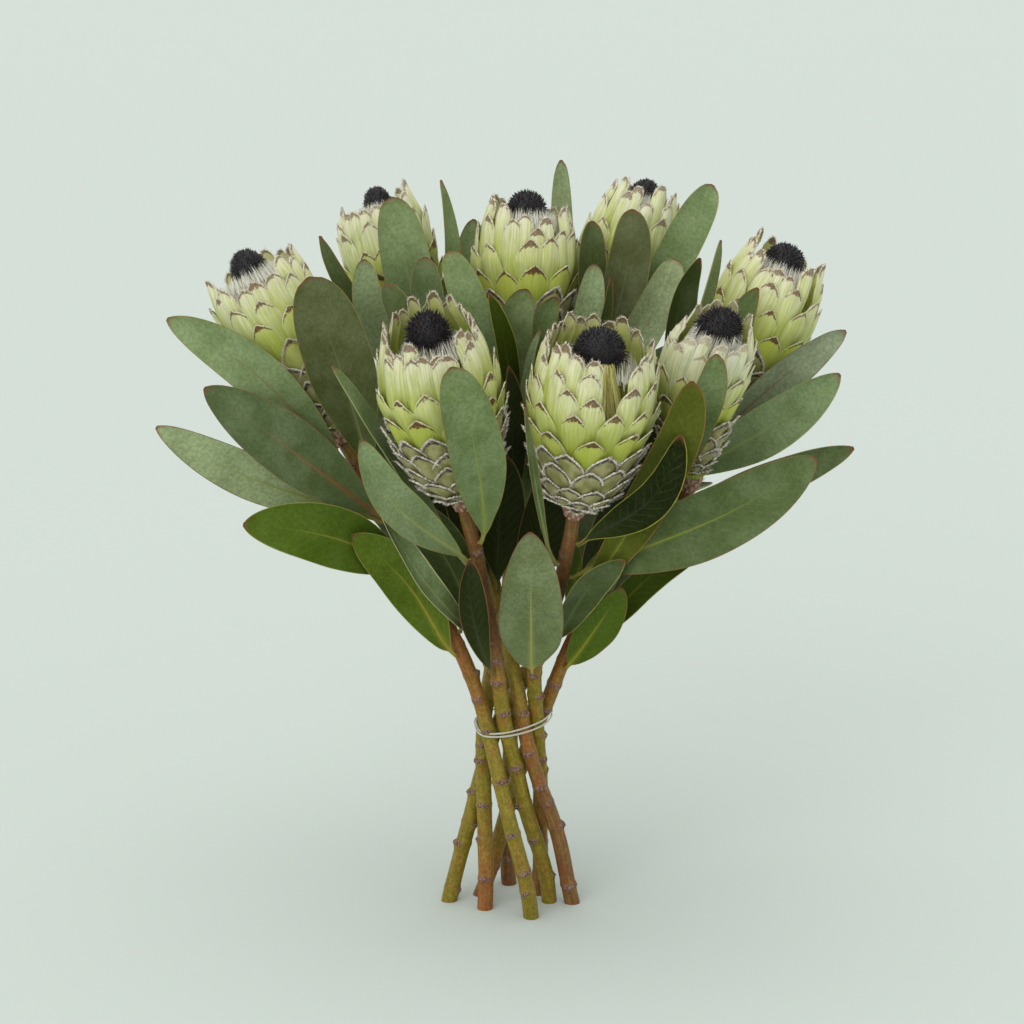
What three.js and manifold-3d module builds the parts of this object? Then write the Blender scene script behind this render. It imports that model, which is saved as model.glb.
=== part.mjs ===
// A hand-tied bunch of eight protea stems, standing on its cut ends.
// Millimetres, +Z up, the floor is z = 0 and the bunch is centred over the origin.
import * as THREE from 'three';
import Module from 'manifold-3d';

// ---------------------------------------------------------------- sizes
const STEM_FOOT_RADIUS = 4.95;    // cut end
const STEM_TOP_RADIUS = 4.3;      // under the head
const STEM_SIDES = 10;
const LEAF_THICKNESS = 1.0;       // at the midrib, thinning to the margin
const LEAF_STALK = 1.25;          // half-width of the short stalk end
const LEAF_START = 0.05;          // share of the length that is stalk
const BRACT_COLUMNS = 20;         // points round a head
const CUP_WALL = 0.60;            // inner radius of the bract cup at the rim, as a share of the outer
const CUP_DEPTH = 24;             // how far the hollow goes down from the rim
const CUP_GAP = 0.35;             // clear space between the bracts and the florets
const TIE_WIRE = 0.62;            // radius of the rubber strand
const TIE_OUT = 2.1;              // strand centre to the stems

// Centre lines of the stems, foot first.
// Heads: base of the bracts, unit axis, length, greatest radius, outline, radius of the dark dome.
// Leaves: the stem each grows from, width, where it is widest, cross-section cup,
// ten points of its midrib with the direction its face looks in at each, and its root in the stem.
const STEMS = {
  far_left: [[14.8,-29.9,0.0],[14.2,-31.3,6.5],[12.5,-33.5,19.7],[8.2,-34.0,38.8],[3.0,-31.4,57.7],[-1.7,-27.0,76.3],[-6.3,-22.2,94.8],[-10.8,-18.3,113.6],[-15.3,-16.0,132.6],[-21.3,-15.3,151.4],[-28.3,-15.7,169.8],[-36.2,-16.4,187.8],[-43.7,-17.1,206.0],[-51.9,-17.7,223.9],[-61.1,-18.2,241.3],[-70.7,-18.4,258.5],[-81.1,-18.5,275.2],[-91.6,-18.4,291.9],[-101.2,-16.6,309.0]],
  front_left: [[26.6,-4.4,0.0],[26.2,-5.0,5.8],[24.7,-6.3,17.5],[20.8,-8.2,34.2],[15.9,-10.2,50.7],[11.3,-12.2,67.3],[7.6,-14.1,84.1],[3.9,-15.9,100.9],[-0.2,-17.7,117.6],[-3.2,-19.5,134.5],[-5.1,-21.8,151.6],[-6.8,-24.8,168.5],[-9.0,-28.4,185.3],[-11.9,-32.8,201.8],[-15.0,-37.7,218.1],[-17.4,-43.2,234.3],[-19.9,-50.5,249.8],[-23.2,-59.7,264.2],[-26.2,-64.3,280.4]],
  back_left: [[41.4,-6.0,0.0],[40.0,-6.9,7.0],[37.4,-8.6,21.0],[33.5,-10.7,41.7],[27.8,-12.5,62.0],[20.7,-13.7,81.9],[14.7,-14.1,102.2],[10.1,-13.2,122.8],[6.6,-9.7,143.3],[2.1,-4.2,163.2],[-2.4,2.4,182.8],[-7.2,9.5,202.1],[-12.5,16.8,221.2],[-18.3,24.1,240.2],[-24.3,31.1,259.2],[-30.7,38.2,278.1],[-39.5,46.5,295.4],[-50.5,56.1,310.7],[-56.5,61.3,330.0]],
  front_right: [[19.0,8.7,0.0],[19.9,8.3,5.8],[21.1,7.1,17.4],[21.1,4.6,34.5],[20.8,1.8,51.6],[21.1,-0.6,68.7],[20.6,-2.8,85.9],[19.4,-4.9,103.0],[18.5,-6.8,120.2],[17.4,-9.3,137.2],[16.7,-12.8,154.1],[18.6,-17.0,170.8],[22.6,-22.3,186.7],[27.1,-28.6,202.2],[31.1,-35.8,217.4],[33.8,-43.7,232.5],[35.8,-52.9,247.0],[37.8,-63.0,261.0],[39.9,-68.3,277.1]],
  right: [[-17.5,7.1,0.0],[-15.1,8.1,6.0],[-10.9,9.5,18.2],[-5.8,10.0,36.6],[-1.0,9.4,55.0],[4.1,8.3,73.4],[9.5,6.9,91.7],[15.6,5.2,109.7],[22.9,3.1,127.2],[29.3,0.7,145.0],[35.6,-2.0,162.8],[42.8,-5.2,180.2],[51.1,-8.9,197.0],[60.0,-12.9,213.4],[68.8,-17.1,229.8],[78.5,-22.0,245.5],[91.2,-28.3,258.1],[104.8,-35.9,269.4],[109.2,-40.3,287.0]],
  far_right: [[-38.0,-2.7,0.0],[-36.4,-2.2,7.0],[-33.0,-1.2,21.1],[-27.7,0.4,41.6],[-22.5,2.0,62.2],[-17.3,3.8,82.7],[-11.3,4.7,103.1],[-4.0,3.4,123.0],[6.3,2.1,141.5],[18.0,2.5,159.3],[29.4,4.1,177.2],[40.8,6.1,195.0],[53.1,8.5,212.2],[65.9,10.8,229.0],[77.6,12.5,246.6],[88.9,14.4,264.6],[103.0,18.0,279.9],[120.9,24.2,289.7],[131.0,26.5,307.4]],
  back_right: [[-14.6,-15.7,0.0],[-14.3,-15.4,7.3],[-14.0,-14.4,21.8],[-14.4,-11.9,43.0],[-15.0,-9.0,64.1],[-15.6,-6.6,85.3],[-15.7,-4.0,106.5],[-14.4,0.2,127.4],[-11.3,5.0,148.0],[-6.4,10.4,168.0],[0.1,16.7,187.4],[7.3,24.2,206.0],[15.2,32.2,224.2],[22.8,40.6,242.3],[30.3,49.3,260.3],[38.7,58.5,277.6],[48.9,68.3,293.6],[58.8,78.0,309.9],[64.1,83.3,329.7]],
  back_centre: [[0.7,25.4,0.0],[0.2,26.5,6.5],[-0.5,27.8,19.8],[-0.7,26.4,39.2],[-0.3,23.1,58.5],[0.6,19.5,77.7],[1.6,16.6,97.0],[1.6,15.7,116.5],[0.5,17.5,135.9],[-0.4,21.2,155.1],[-0.5,25.8,174.0],[0.2,30.4,193.0],[1.2,34.7,212.1],[2.3,38.7,231.2],[3.5,42.5,250.3],[4.8,46.1,269.4],[6.2,49.3,288.7],[7.6,52.1,308.0],[8.4,55.3,327.2]],
};

const HEADS = {
  far_left: { base: [-101.6,-16.5,309.8], axis: [-0.477,0.1097,0.872], length: 121.0, radius: 36.0, profile: [0.18,0.47,0.7,0.88,1.0,0.95,0.77], dome: 10.5 },
  back_left: { base: [-56.8,61.5,330.8], axis: [-0.2269,0.1845,0.9563], length: 120.5, radius: 33.5, profile: [0.18,0.5,0.75,0.93,1.0,0.93,0.7], dome: 9.5 },
  back_centre: { base: [8.4,55.5,328.1], axis: [0.0335,0.1735,0.9843], length: 116.2, radius: 34.5, profile: [0.2,0.5,0.7,0.87,1.0,0.92,0.76], dome: 12.5 },
  back_right: { base: [64.3,83.5,330.6], axis: [0.2085,0.2026,0.9568], length: 123.8, radius: 32.0, profile: [0.2,0.5,0.75,0.95,1.0,0.86,0.66], dome: 10.0 },
  far_right: { base: [131.3,26.5,308.2], axis: [0.3674,0.0351,0.9294], length: 114.8, radius: 35.5, profile: [0.18,0.5,0.75,0.94,1.0,0.92,0.76], dome: 11.5 },
  front_left: { base: [-26.4,-64.5,281.3], axis: [-0.1732,-0.2291,0.9579], length: 116.5, radius: 39.5, profile: [0.22,0.58,0.8,0.93,1.0,0.86,0.65], dome: 15.0 },
  front_right: { base: [40.0,-68.5,278.0], axis: [0.1264,-0.261,0.957], length: 110.1, radius: 41.0, profile: [0.24,0.58,0.76,0.9,1.0,0.91,0.76], dome: 17.0 },
  right: { base: [109.4,-40.5,287.9], axis: [0.1567,-0.1941,0.9684], length: 106.0, radius: 34.5, profile: [0.18,0.36,0.58,0.71,0.8,0.77,0.58], dome: 13.5 },
};

const LEAVES = [
  { id: 'leaf_front_right_1', stem: 'front_right', own: true, width: 41.0, skew: 1.12, cup: 0.1, tone: 'grey2',
    line: [[39.4,-41.5,226.8],[53.6,-48.8,236.7],[68.8,-56.4,245.0],[84.6,-63.4,253.0],[100.7,-69.7,261.1],[117.1,-74.7,269.5],[133.6,-77.6,278.5],[150.1,-77.6,288.1],[166.1,-74.8,298.1],[181.6,-70.5,308.2]],
    face: [[-0.35,-0.92,-0.17],[-0.37,-0.92,-0.14],[-0.37,-0.92,-0.11],[-0.34,-0.93,-0.1],[-0.29,-0.95,-0.08],[-0.21,-0.98,-0.05],[-0.09,-1.0,-0.0],[0.04,-1.0,0.07],[0.14,-0.98,0.13],[0.17,-0.97,0.15]],
    root: [35.4,-41.3,227.6] },
  { id: 'leaf_front_right_2', stem: 'front_right', own: true, width: 39.0, skew: 0.95, cup: 0.1, tone: 'greygreen',
    line: [[15.3,-20.4,159.0],[14.7,-28.5,169.0],[14.5,-36.3,179.1],[14.4,-44.0,189.5],[14.3,-51.2,200.4],[14.2,-57.5,211.7],[14.1,-62.4,223.7],[13.9,-65.3,236.3],[13.7,-66.4,249.2],[13.4,-66.5,262.2]],
    face: [[0.07,-0.76,-0.64],[0.05,-0.77,-0.63],[0.02,-0.79,-0.61],[0.01,-0.82,-0.57],[0.01,-0.85,-0.52],[0.01,-0.9,-0.43],[0.01,-0.95,-0.3],[0.01,-0.99,-0.15],[0.01,-1.0,-0.05],[0.01,-1.0,-0.01]],
    root: [16.4,-16.6,159.9] },
  { id: 'leaf_front_left_1', stem: 'front_left', own: true, width: 25.0, skew: 1.1, cup: 0.14, tone: 'light',
    line: [[-24.0,-48.6,239.3],[-31.4,-55.9,247.8],[-39.2,-63.7,255.6],[-47.3,-71.5,263.3],[-55.2,-79.1,271.4],[-62.7,-86.3,280.3],[-69.6,-92.7,290.2],[-75.3,-97.7,301.5],[-79.9,-101.5,313.7],[-83.8,-104.5,326.5]],
    face: [[0.71,-0.7,0.03],[0.72,-0.69,0.05],[0.73,-0.68,0.08],[0.72,-0.69,0.06],[0.71,-0.71,0.03],[0.67,-0.74,-0.02],[0.6,-0.79,-0.07],[0.53,-0.85,-0.09],[0.47,-0.88,-0.08],[0.46,-0.89,-0.07]],
    root: [-20.4,-47.0,240.6] },
  { id: 'leaf_front_left_2', stem: 'front_left', own: true, width: 32.0, skew: 1.4, cup: 0.12, tone: 'mid',
    line: [[-16.0,-56.9,252.7],[-13.8,-68.6,263.6],[-13.8,-79.6,275.4],[-14.3,-90.4,287.6],[-15.4,-100.5,300.3],[-17.0,-109.9,313.4],[-19.2,-118.0,327.3],[-22.4,-123.8,342.1],[-26.6,-126.4,357.6],[-31.4,-126.7,373.1]],
    face: [[-0.09,-0.68,-0.73],[0.03,-0.7,-0.72],[0.19,-0.73,-0.66],[0.24,-0.75,-0.62],[0.27,-0.78,-0.56],[0.29,-0.82,-0.49],[0.3,-0.88,-0.37],[0.29,-0.94,-0.19],[0.26,-0.97,-0.02],[0.24,-0.97,0.05]],
    root: [-19.1,-54.5,253.6] },
  { id: 'leaf_far_left_1', stem: 'far_left', own: true, width: 37.0, skew: 1.1, cup: 0.12, tone: 'midred',
    line: [[-75.4,-23.6,259.2],[-86.1,-29.9,268.9],[-96.5,-36.2,278.9],[-107.1,-42.4,289.0],[-118.1,-48.0,299.1],[-129.5,-52.6,309.2],[-141.3,-56.1,319.2],[-153.5,-58.8,329.1],[-165.9,-60.8,338.9],[-178.3,-62.5,348.6]],
    face: [[0.54,-0.84,0.04],[0.54,-0.84,0.02],[0.53,-0.85,0.02],[0.51,-0.86,0.04],[0.47,-0.88,0.07],[0.42,-0.9,0.12],[0.37,-0.91,0.17],[0.33,-0.92,0.2],[0.31,-0.92,0.22],[0.3,-0.93,0.23]],
    root: [-73.4,-20.3,260.3] },
  { id: 'leaf_far_left_2', stem: 'far_left', own: true, width: 37.0, skew: 1.08, cup: 0.12, tone: 'sat',
    line: [[-56.9,-22.3,223.5],[-66.5,-27.7,230.9],[-75.8,-34.0,237.9],[-85.6,-40.5,244.3],[-95.8,-46.8,250.3],[-106.8,-52.5,255.5],[-118.7,-57.3,259.6],[-131.2,-61.0,262.6],[-144.1,-64.0,264.8],[-157.2,-66.5,266.5]],
    face: [[0.53,-0.85,0.06],[0.56,-0.83,0.05],[0.59,-0.81,0.06],[0.58,-0.81,0.09],[0.55,-0.82,0.15],[0.48,-0.85,0.22],[0.39,-0.88,0.29],[0.3,-0.9,0.33],[0.24,-0.91,0.35],[0.22,-0.91,0.35]],
    root: [-54.3,-19.4,224.9] },
  { id: 'leaf_far_left_3', stem: 'far_left', own: true, width: 29.0, skew: 1.1, cup: 0.12, tone: 'midred',
    line: [[-94.7,-23.8,290.8],[-105.5,-29.8,301.9],[-115.2,-35.2,314.4],[-125.0,-40.0,327.1],[-135.6,-43.7,339.6],[-147.1,-45.9,351.6],[-160.1,-45.6,362.2],[-174.1,-42.7,370.9],[-188.5,-38.1,378.2],[-203.0,-32.7,384.6]],
    face: [[0.42,-0.9,-0.09],[0.39,-0.91,-0.11],[0.35,-0.93,-0.11],[0.31,-0.95,-0.07],[0.27,-0.96,0.01],[0.19,-0.97,0.12],[0.06,-0.97,0.24],[-0.07,-0.94,0.32],[-0.15,-0.92,0.36],[-0.18,-0.91,0.37]],
    root: [-93.0,-20.3,291.9] },
  { id: 'leaf_far_left_4', stem: 'far_left', own: true, width: 28.0, skew: 1.05, cup: 0.12, tone: 'mid',
    line: [[-76.5,-19.7,256.0],[-91.4,-21.8,262.9],[-106.8,-24.2,268.4],[-122.6,-26.7,273.7],[-138.2,-29.0,279.4],[-153.6,-30.9,285.7],[-168.7,-32.3,293.0],[-183.3,-33.3,301.2],[-197.5,-34.0,310.1],[-211.6,-34.5,319.2]],
    face: [[0.28,-0.9,0.34],[0.27,-0.89,0.35],[0.27,-0.89,0.37],[0.26,-0.89,0.37],[0.26,-0.9,0.36],[0.26,-0.9,0.35],[0.25,-0.91,0.34],[0.25,-0.91,0.33],[0.24,-0.91,0.33],[0.24,-0.91,0.32]],
    root: [-73.1,-18.9,258.0] },
  { id: 'leaf_far_left_5', stem: 'far_left', own: true, width: 31.0, skew: 1.1, cup: 0.12, tone: 'sat',
    line: [[-32.2,-21.5,171.0],[-38.7,-26.4,179.9],[-44.2,-29.0,190.5],[-49.6,-31.1,201.3],[-55.4,-33.3,211.9],[-61.9,-35.9,221.9],[-69.2,-39.1,231.3],[-77.0,-42.7,240.0],[-85.2,-46.7,248.2],[-93.6,-50.7,256.2]],
    face: [[0.54,-0.84,-0.09],[0.46,-0.88,-0.07],[0.38,-0.93,-0.02],[0.37,-0.93,0.01],[0.38,-0.92,0.02],[0.42,-0.91,0.03],[0.45,-0.89,0.04],[0.48,-0.88,0.06],[0.49,-0.87,0.07],[0.49,-0.87,0.08]],
    root: [-30.5,-17.9,171.8] },
  { id: 'leaf_far_left_6', stem: 'far_left', own: true, width: 38.0, skew: 1.45, cup: 0.12, tone: 'dark',
    line: [[-80.3,-23.3,281.3],[-83.7,-29.3,295.8],[-87.0,-35.6,310.2],[-90.3,-41.9,324.7],[-93.8,-48.0,339.4],[-97.4,-53.5,354.1],[-101.4,-58.3,369.1],[-105.8,-62.0,384.3],[-110.5,-64.6,399.5],[-115.5,-66.5,414.8]],
    face: [[0.31,-0.9,-0.31],[0.31,-0.89,-0.32],[0.32,-0.89,-0.32],[0.32,-0.9,-0.31],[0.32,-0.91,-0.28],[0.31,-0.92,-0.24],[0.3,-0.94,-0.18],[0.29,-0.95,-0.11],[0.28,-0.96,-0.05],[0.27,-0.96,-0.03]],
    root: [-82.4,-20.2,279.9] },
  { id: 'leaf_far_right_1', stem: 'far_right', own: true, width: 24.0, skew: 1.25, cup: 0.14, tone: 'grey',
    line: [[119.7,18.5,292.6],[129.3,15.5,301.7],[137.7,10.5,311.0],[146.0,5.2,320.6],[154.5,0.2,330.2],[163.5,-4.2,339.7],[173.2,-7.0,349.0],[183.8,-7.4,357.6],[195.1,-5.2,365.2],[206.4,-1.5,372.0]],
    face: [[-0.01,-0.95,-0.32],[-0.05,-0.93,-0.37],[-0.08,-0.9,-0.43],[-0.07,-0.9,-0.43],[-0.06,-0.92,-0.4],[-0.02,-0.94,-0.34],[0.06,-0.97,-0.25],[0.18,-0.97,-0.14],[0.29,-0.95,-0.06],[0.33,-0.94,-0.04]],
    root: [119.5,21.8,290.2] },
  { id: 'leaf_far_right_2', stem: 'far_right', own: true, width: 31.0, skew: 1.25, cup: 0.12, tone: 'mid',
    line: [[98.4,10.2,273.0],[109.7,5.2,281.2],[120.9,-0.6,288.9],[132.2,-6.8,296.5],[143.6,-12.6,304.4],[155.0,-17.8,312.6],[166.3,-21.9,321.4],[177.6,-24.9,330.8],[188.8,-27.0,340.5],[199.9,-28.5,350.5]],
    face: [[-0.29,-0.94,-0.19],[-0.32,-0.92,-0.2],[-0.36,-0.91,-0.21],[-0.34,-0.92,-0.2],[-0.31,-0.93,-0.2],[-0.25,-0.95,-0.18],[-0.18,-0.97,-0.15],[-0.12,-0.99,-0.12],[-0.08,-0.99,-0.09],[-0.06,-0.99,-0.08]],
    root: [96.9,13.9,273.4] },
  { id: 'leaf_far_right_3', stem: 'far_right', own: true, width: 24.0, skew: 1.25, cup: 0.12, tone: 'mid',
    line: [[80.2,9.2,240.0],[94.2,6.2,247.8],[108.3,2.7,255.2],[122.7,-0.9,262.4],[137.2,-4.5,269.4],[151.7,-8.0,276.3],[166.4,-11.2,283.1],[181.2,-13.8,289.8],[196.3,-15.5,296.2],[211.6,-16.5,302.3]],
    face: [[-0.17,-0.98,-0.08],[-0.19,-0.98,-0.08],[-0.21,-0.97,-0.08],[-0.21,-0.98,-0.08],[-0.2,-0.98,-0.07],[-0.19,-0.98,-0.07],[-0.17,-0.98,-0.05],[-0.13,-0.99,-0.03],[-0.08,-1.0,-0.01],[-0.06,-1.0,-0.0]],
    root: [77.0,11.1,241.7] },
  { id: 'leaf_right_1', stem: 'right', own: true, width: 22.0, skew: 1.5, cup: 0.12, tone: 'mid',
    line: [[72.6,-26.0,243.7],[76.7,-36.3,257.3],[82.3,-46.5,270.7],[88.0,-56.6,284.2],[93.9,-66.5,297.8],[99.8,-75.8,311.7],[105.7,-84.6,326.1],[111.5,-92.1,341.1],[116.9,-96.4,357.4],[120.2,-92.2,374.2]],
    face: [[-0.07,-0.8,-0.6],[-0.11,-0.8,-0.59],[-0.15,-0.81,-0.56],[-0.15,-0.83,-0.54],[-0.14,-0.84,-0.52],[-0.12,-0.86,-0.5],[-0.08,-0.89,-0.46],[-0.01,-0.94,-0.35],[0.14,-0.99,-0.04],[0.2,-0.96,0.2]],
    root: [75.0,-22.8,243.0] },
  { id: 'leaf_front_right_3', stem: 'front_right', own: true, width: 23.0, skew: 1.5, cup: 0.12, tone: 'satdark',
    line: [[29.9,-28.1,191.5],[42.0,-39.6,207.0],[51.8,-50.2,224.8],[61.2,-60.6,243.1],[70.3,-70.8,261.6],[79.0,-80.7,280.5],[87.3,-90.3,299.7],[95.0,-99.3,319.3],[101.5,-107.2,339.9],[104.7,-111.6,362.2]],
    face: [[-0.28,-0.86,-0.42],[-0.22,-0.87,-0.44],[-0.14,-0.88,-0.45],[-0.11,-0.89,-0.44],[-0.08,-0.89,-0.44],[-0.06,-0.9,-0.43],[-0.03,-0.91,-0.42],[0.02,-0.92,-0.39],[0.12,-0.95,-0.3],[0.18,-0.96,-0.21]],
    root: [26.7,-26.3,193.2] },
  { id: 'leaf_front_right_4', stem: 'front_right', own: true, width: 6.66, skew: 1.25, cup: 0.14, tone: 'light',
    line: [[29.3,-50.6,237.8],[25.3,-61.4,248.6],[22.9,-72.1,260.0],[20.7,-82.8,271.6],[18.8,-93.1,283.5],[16.9,-103.2,295.7],[15.2,-112.6,308.4],[13.4,-121.0,321.8],[11.7,-127.7,336.1],[10.0,-133.0,351.0]],
    face: [[0.87,-0.47,-0.13],[0.84,-0.49,-0.22],[0.79,-0.52,-0.32],[0.77,-0.54,-0.35],[0.75,-0.56,-0.35],[0.74,-0.58,-0.34],[0.73,-0.61,-0.32],[0.71,-0.65,-0.26],[0.7,-0.69,-0.2],[0.69,-0.7,-0.17]],
    root: [32.8,-48.7,238.6] },
  { id: 'leaf_front_right_5', stem: 'front_right', own: true, width: 23.0, skew: 1.25, cup: 0.12, tone: 'sat',
    line: [[42.7,-59.6,252.4],[49.6,-67.4,259.6],[56.7,-75.9,265.9],[64.0,-84.4,272.0],[71.3,-92.7,278.7],[78.5,-100.2,286.1],[85.5,-106.4,294.9],[91.4,-109.5,305.8],[95.9,-109.2,317.8],[99.3,-107.1,330.0]],
    face: [[-0.43,-0.79,-0.43],[-0.48,-0.77,-0.42],[-0.53,-0.74,-0.41],[-0.5,-0.76,-0.42],[-0.44,-0.79,-0.43],[-0.32,-0.84,-0.43],[-0.12,-0.93,-0.36],[0.09,-0.98,-0.16],[0.21,-0.98,0.03],[0.23,-0.97,0.11]],
    root: [38.9,-58.8,253.7] },
  { id: 'leaf_right_2', stem: 'right', own: true, width: 21.0, skew: 1.1, cup: 0.12, tone: 'satdark',
    line: [[44.9,-8.4,172.7],[52.3,-13.4,180.0],[58.6,-17.9,188.8],[64.7,-22.3,197.9],[71.0,-26.5,207.1],[77.7,-30.5,215.9],[85.2,-34.2,224.2],[94.0,-37.5,231.3],[104.1,-40.2,236.7],[114.9,-42.5,241.0]],
    face: [[-0.23,-0.89,-0.4],[-0.17,-0.9,-0.41],[-0.07,-0.91,-0.41],[-0.05,-0.92,-0.4],[-0.05,-0.92,-0.38],[-0.07,-0.93,-0.36],[-0.11,-0.94,-0.31],[-0.14,-0.96,-0.25],[-0.14,-0.97,-0.19],[-0.14,-0.97,-0.18]],
    root: [42.2,-5.8,174.3] },
  { id: 'leaf_right_3', stem: 'right', own: true, width: 16.74, skew: 1.05, cup: 0.14, tone: 'light',
    line: [[42.5,-12.0,182.6],[45.2,-18.4,190.5],[48.4,-23.5,199.1],[51.9,-28.3,207.9],[55.4,-32.9,216.8],[59.0,-37.5,225.7],[62.7,-42.2,234.5],[66.4,-47.1,243.2],[70.1,-52.4,251.6],[73.9,-57.8,260.0]],
    face: [[-0.31,-0.77,-0.55],[-0.3,-0.82,-0.49],[-0.28,-0.87,-0.41],[-0.27,-0.89,-0.37],[-0.27,-0.9,-0.35],[-0.27,-0.89,-0.35],[-0.29,-0.88,-0.37],[-0.31,-0.87,-0.38],[-0.33,-0.86,-0.4],[-0.34,-0.85,-0.41]],
    root: [43.5,-8.1,182.8] },
  { id: 'leaf_right_4', stem: 'right', own: true, width: 25.0, skew: 1.0, cup: 0.12, tone: 'mid',
    line: [[36.5,-7.6,158.7],[40.5,-12.7,165.2],[44.6,-17.1,172.3],[48.6,-21.4,179.6],[52.5,-25.6,186.9],[56.3,-30.0,194.3],[59.8,-34.7,201.5],[63.2,-39.7,208.7],[66.3,-44.9,215.9],[69.3,-50.2,223.0]],
    face: [[-0.26,-0.81,-0.52],[-0.22,-0.84,-0.49],[-0.16,-0.88,-0.45],[-0.14,-0.88,-0.45],[-0.13,-0.88,-0.45],[-0.13,-0.87,-0.48],[-0.13,-0.85,-0.51],[-0.13,-0.84,-0.53],[-0.12,-0.82,-0.55],[-0.12,-0.82,-0.56]],
    root: [35.4,-3.9,159.7] },
  { id: 'leaf_front_left_3', stem: 'front_left', own: true, width: 19.0, skew: 1.25, cup: 0.14, tone: 'light',
    line: [[-23.9,-42.6,235.5],[-33.8,-46.8,249.7],[-43.1,-51.0,264.5],[-52.4,-55.3,279.3],[-61.4,-60.0,294.3],[-70.1,-65.2,309.2],[-78.4,-71.3,324.0],[-86.1,-78.4,338.7],[-93.1,-86.7,353.1],[-99.8,-95.5,367.3]],
    face: [[0.81,-0.32,0.49],[0.82,-0.32,0.47],[0.84,-0.33,0.44],[0.85,-0.33,0.42],[0.86,-0.33,0.4],[0.87,-0.33,0.37],[0.89,-0.32,0.34],[0.9,-0.31,0.29],[0.92,-0.3,0.26],[0.92,-0.3,0.25]],
    root: [-19.9,-43.4,235.8] },
  { id: 'leaf_back_left_1', stem: 'back_left', own: true, width: 31.0, skew: 1.45, cup: 0.12, tone: 'mid',
    line: [[-45.2,48.6,310.2],[-49.0,47.6,325.4],[-51.9,45.0,340.7],[-54.4,41.9,356.1],[-57.0,38.9,371.6],[-59.5,36.3,387.1],[-62.2,34.2,402.7],[-65.1,33.4,418.3],[-68.4,34.4,433.9],[-72.0,36.9,449.2]],
    face: [[0.21,-0.98,-0.03],[0.21,-0.97,-0.08],[0.21,-0.97,-0.15],[0.21,-0.97,-0.15],[0.21,-0.97,-0.14],[0.2,-0.97,-0.11],[0.2,-0.98,-0.06],[0.18,-0.98,0.04],[0.16,-0.98,0.15],[0.15,-0.97,0.2]],
    root: [-46.5,51.5,307.6] },
  { id: 'leaf_back_left_2', stem: 'back_left', own: true, width: 17.0, skew: 1.25, cup: 0.12, tone: 'mid',
    line: [[-46.6,53.2,314.6],[-46.2,54.1,330.5],[-44.0,53.3,346.2],[-41.4,52.3,362.1],[-39.0,51.7,378.1],[-37.2,51.6,394.1],[-36.4,52.8,410.2],[-37.1,55.5,426.1],[-39.1,59.8,441.5],[-41.9,64.9,456.6]],
    face: [[0.84,-0.54,-0.01],[0.83,-0.55,-0.08],[0.81,-0.56,-0.16],[0.81,-0.56,-0.16],[0.82,-0.56,-0.12],[0.84,-0.55,-0.05],[0.85,-0.53,0.06],[0.85,-0.5,0.18],[0.83,-0.48,0.28],[0.83,-0.47,0.31]],
    root: [-49.0,55.0,311.9] },
  { id: 'leaf_back_right_1', stem: 'back_right', own: true, width: 26.0, skew: 1.45, cup: 0.12, tone: 'mid',
    line: [[55.4,68.3,305.7],[63.4,67.5,322.4],[71.4,66.4,339.1],[79.5,65.3,356.0],[87.6,64.6,372.8],[95.9,64.6,389.6],[104.3,65.8,406.3],[113.0,69.1,422.5],[121.9,75.7,437.6],[130.7,84.9,451.3]],
    face: [[0.07,-0.99,-0.09],[0.06,-0.99,-0.1],[0.06,-0.99,-0.1],[0.07,-0.99,-0.09],[0.08,-0.99,-0.06],[0.1,-0.99,-0.02],[0.14,-0.99,0.06],[0.21,-0.96,0.19],[0.29,-0.9,0.32],[0.33,-0.87,0.37]],
    root: [55.0,71.8,303.8] },
  { id: 'leaf_back_right_2', stem: 'back_right', own: true, width: 28.0, skew: 1.45, cup: 0.12, tone: 'brown',
    line: [[47.6,63.6,297.7],[52.3,63.0,313.1],[56.8,61.0,328.5],[61.1,58.6,344.0],[65.2,56.4,359.7],[69.2,54.4,375.4],[72.8,53.0,391.3],[75.9,52.7,407.3],[77.7,54.7,423.4],[78.0,59.4,439.1]],
    face: [[0.05,-1.0,-0.07],[0.04,-0.99,-0.11],[0.03,-0.99,-0.15],[0.03,-0.99,-0.15],[0.04,-0.99,-0.14],[0.05,-0.99,-0.12],[0.08,-0.99,-0.07],[0.11,-0.99,0.04],[0.14,-0.97,0.19],[0.14,-0.95,0.28]],
    root: [48.4,66.6,295.0] },
  { id: 'leaf_far_right_4', stem: 'far_right', own: false, width: 22.0, skew: 1.25, cup: 0.12, tone: 'mid',
    line: [[110.9,17.7,289.9],[116.2,14.2,302.1],[119.9,9.0,314.4],[123.3,3.7,326.7],[126.6,-1.5,339.1],[130.1,-6.5,351.5],[133.8,-11.0,364.1],[138.0,-14.7,376.8],[143.5,-15.8,389.3],[151.1,-11.5,400.0]],
    face: [[0.02,-0.96,-0.28],[0.03,-0.94,-0.34],[0.05,-0.91,-0.4],[0.06,-0.91,-0.41],[0.06,-0.92,-0.39],[0.06,-0.93,-0.37],[0.06,-0.94,-0.33],[0.08,-0.97,-0.21],[0.17,-0.99,0.04],[0.26,-0.95,0.19]],
    root: [111.7,19.7,287.2] },
  { id: 'leaf_back_centre_1', stem: 'back_centre', own: true, width: 21.0, skew: 1.5, cup: 0.12, tone: 'mid',
    line: [[3.0,46.0,299.7],[-0.8,42.2,312.9],[-4.6,37.2,325.8],[-8.7,31.9,338.7],[-12.8,26.9,351.6],[-17.1,22.4,364.7],[-21.5,18.9,378.0],[-26.3,17.4,391.6],[-31.2,19.7,404.9],[-36.1,25.5,417.3]],
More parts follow.
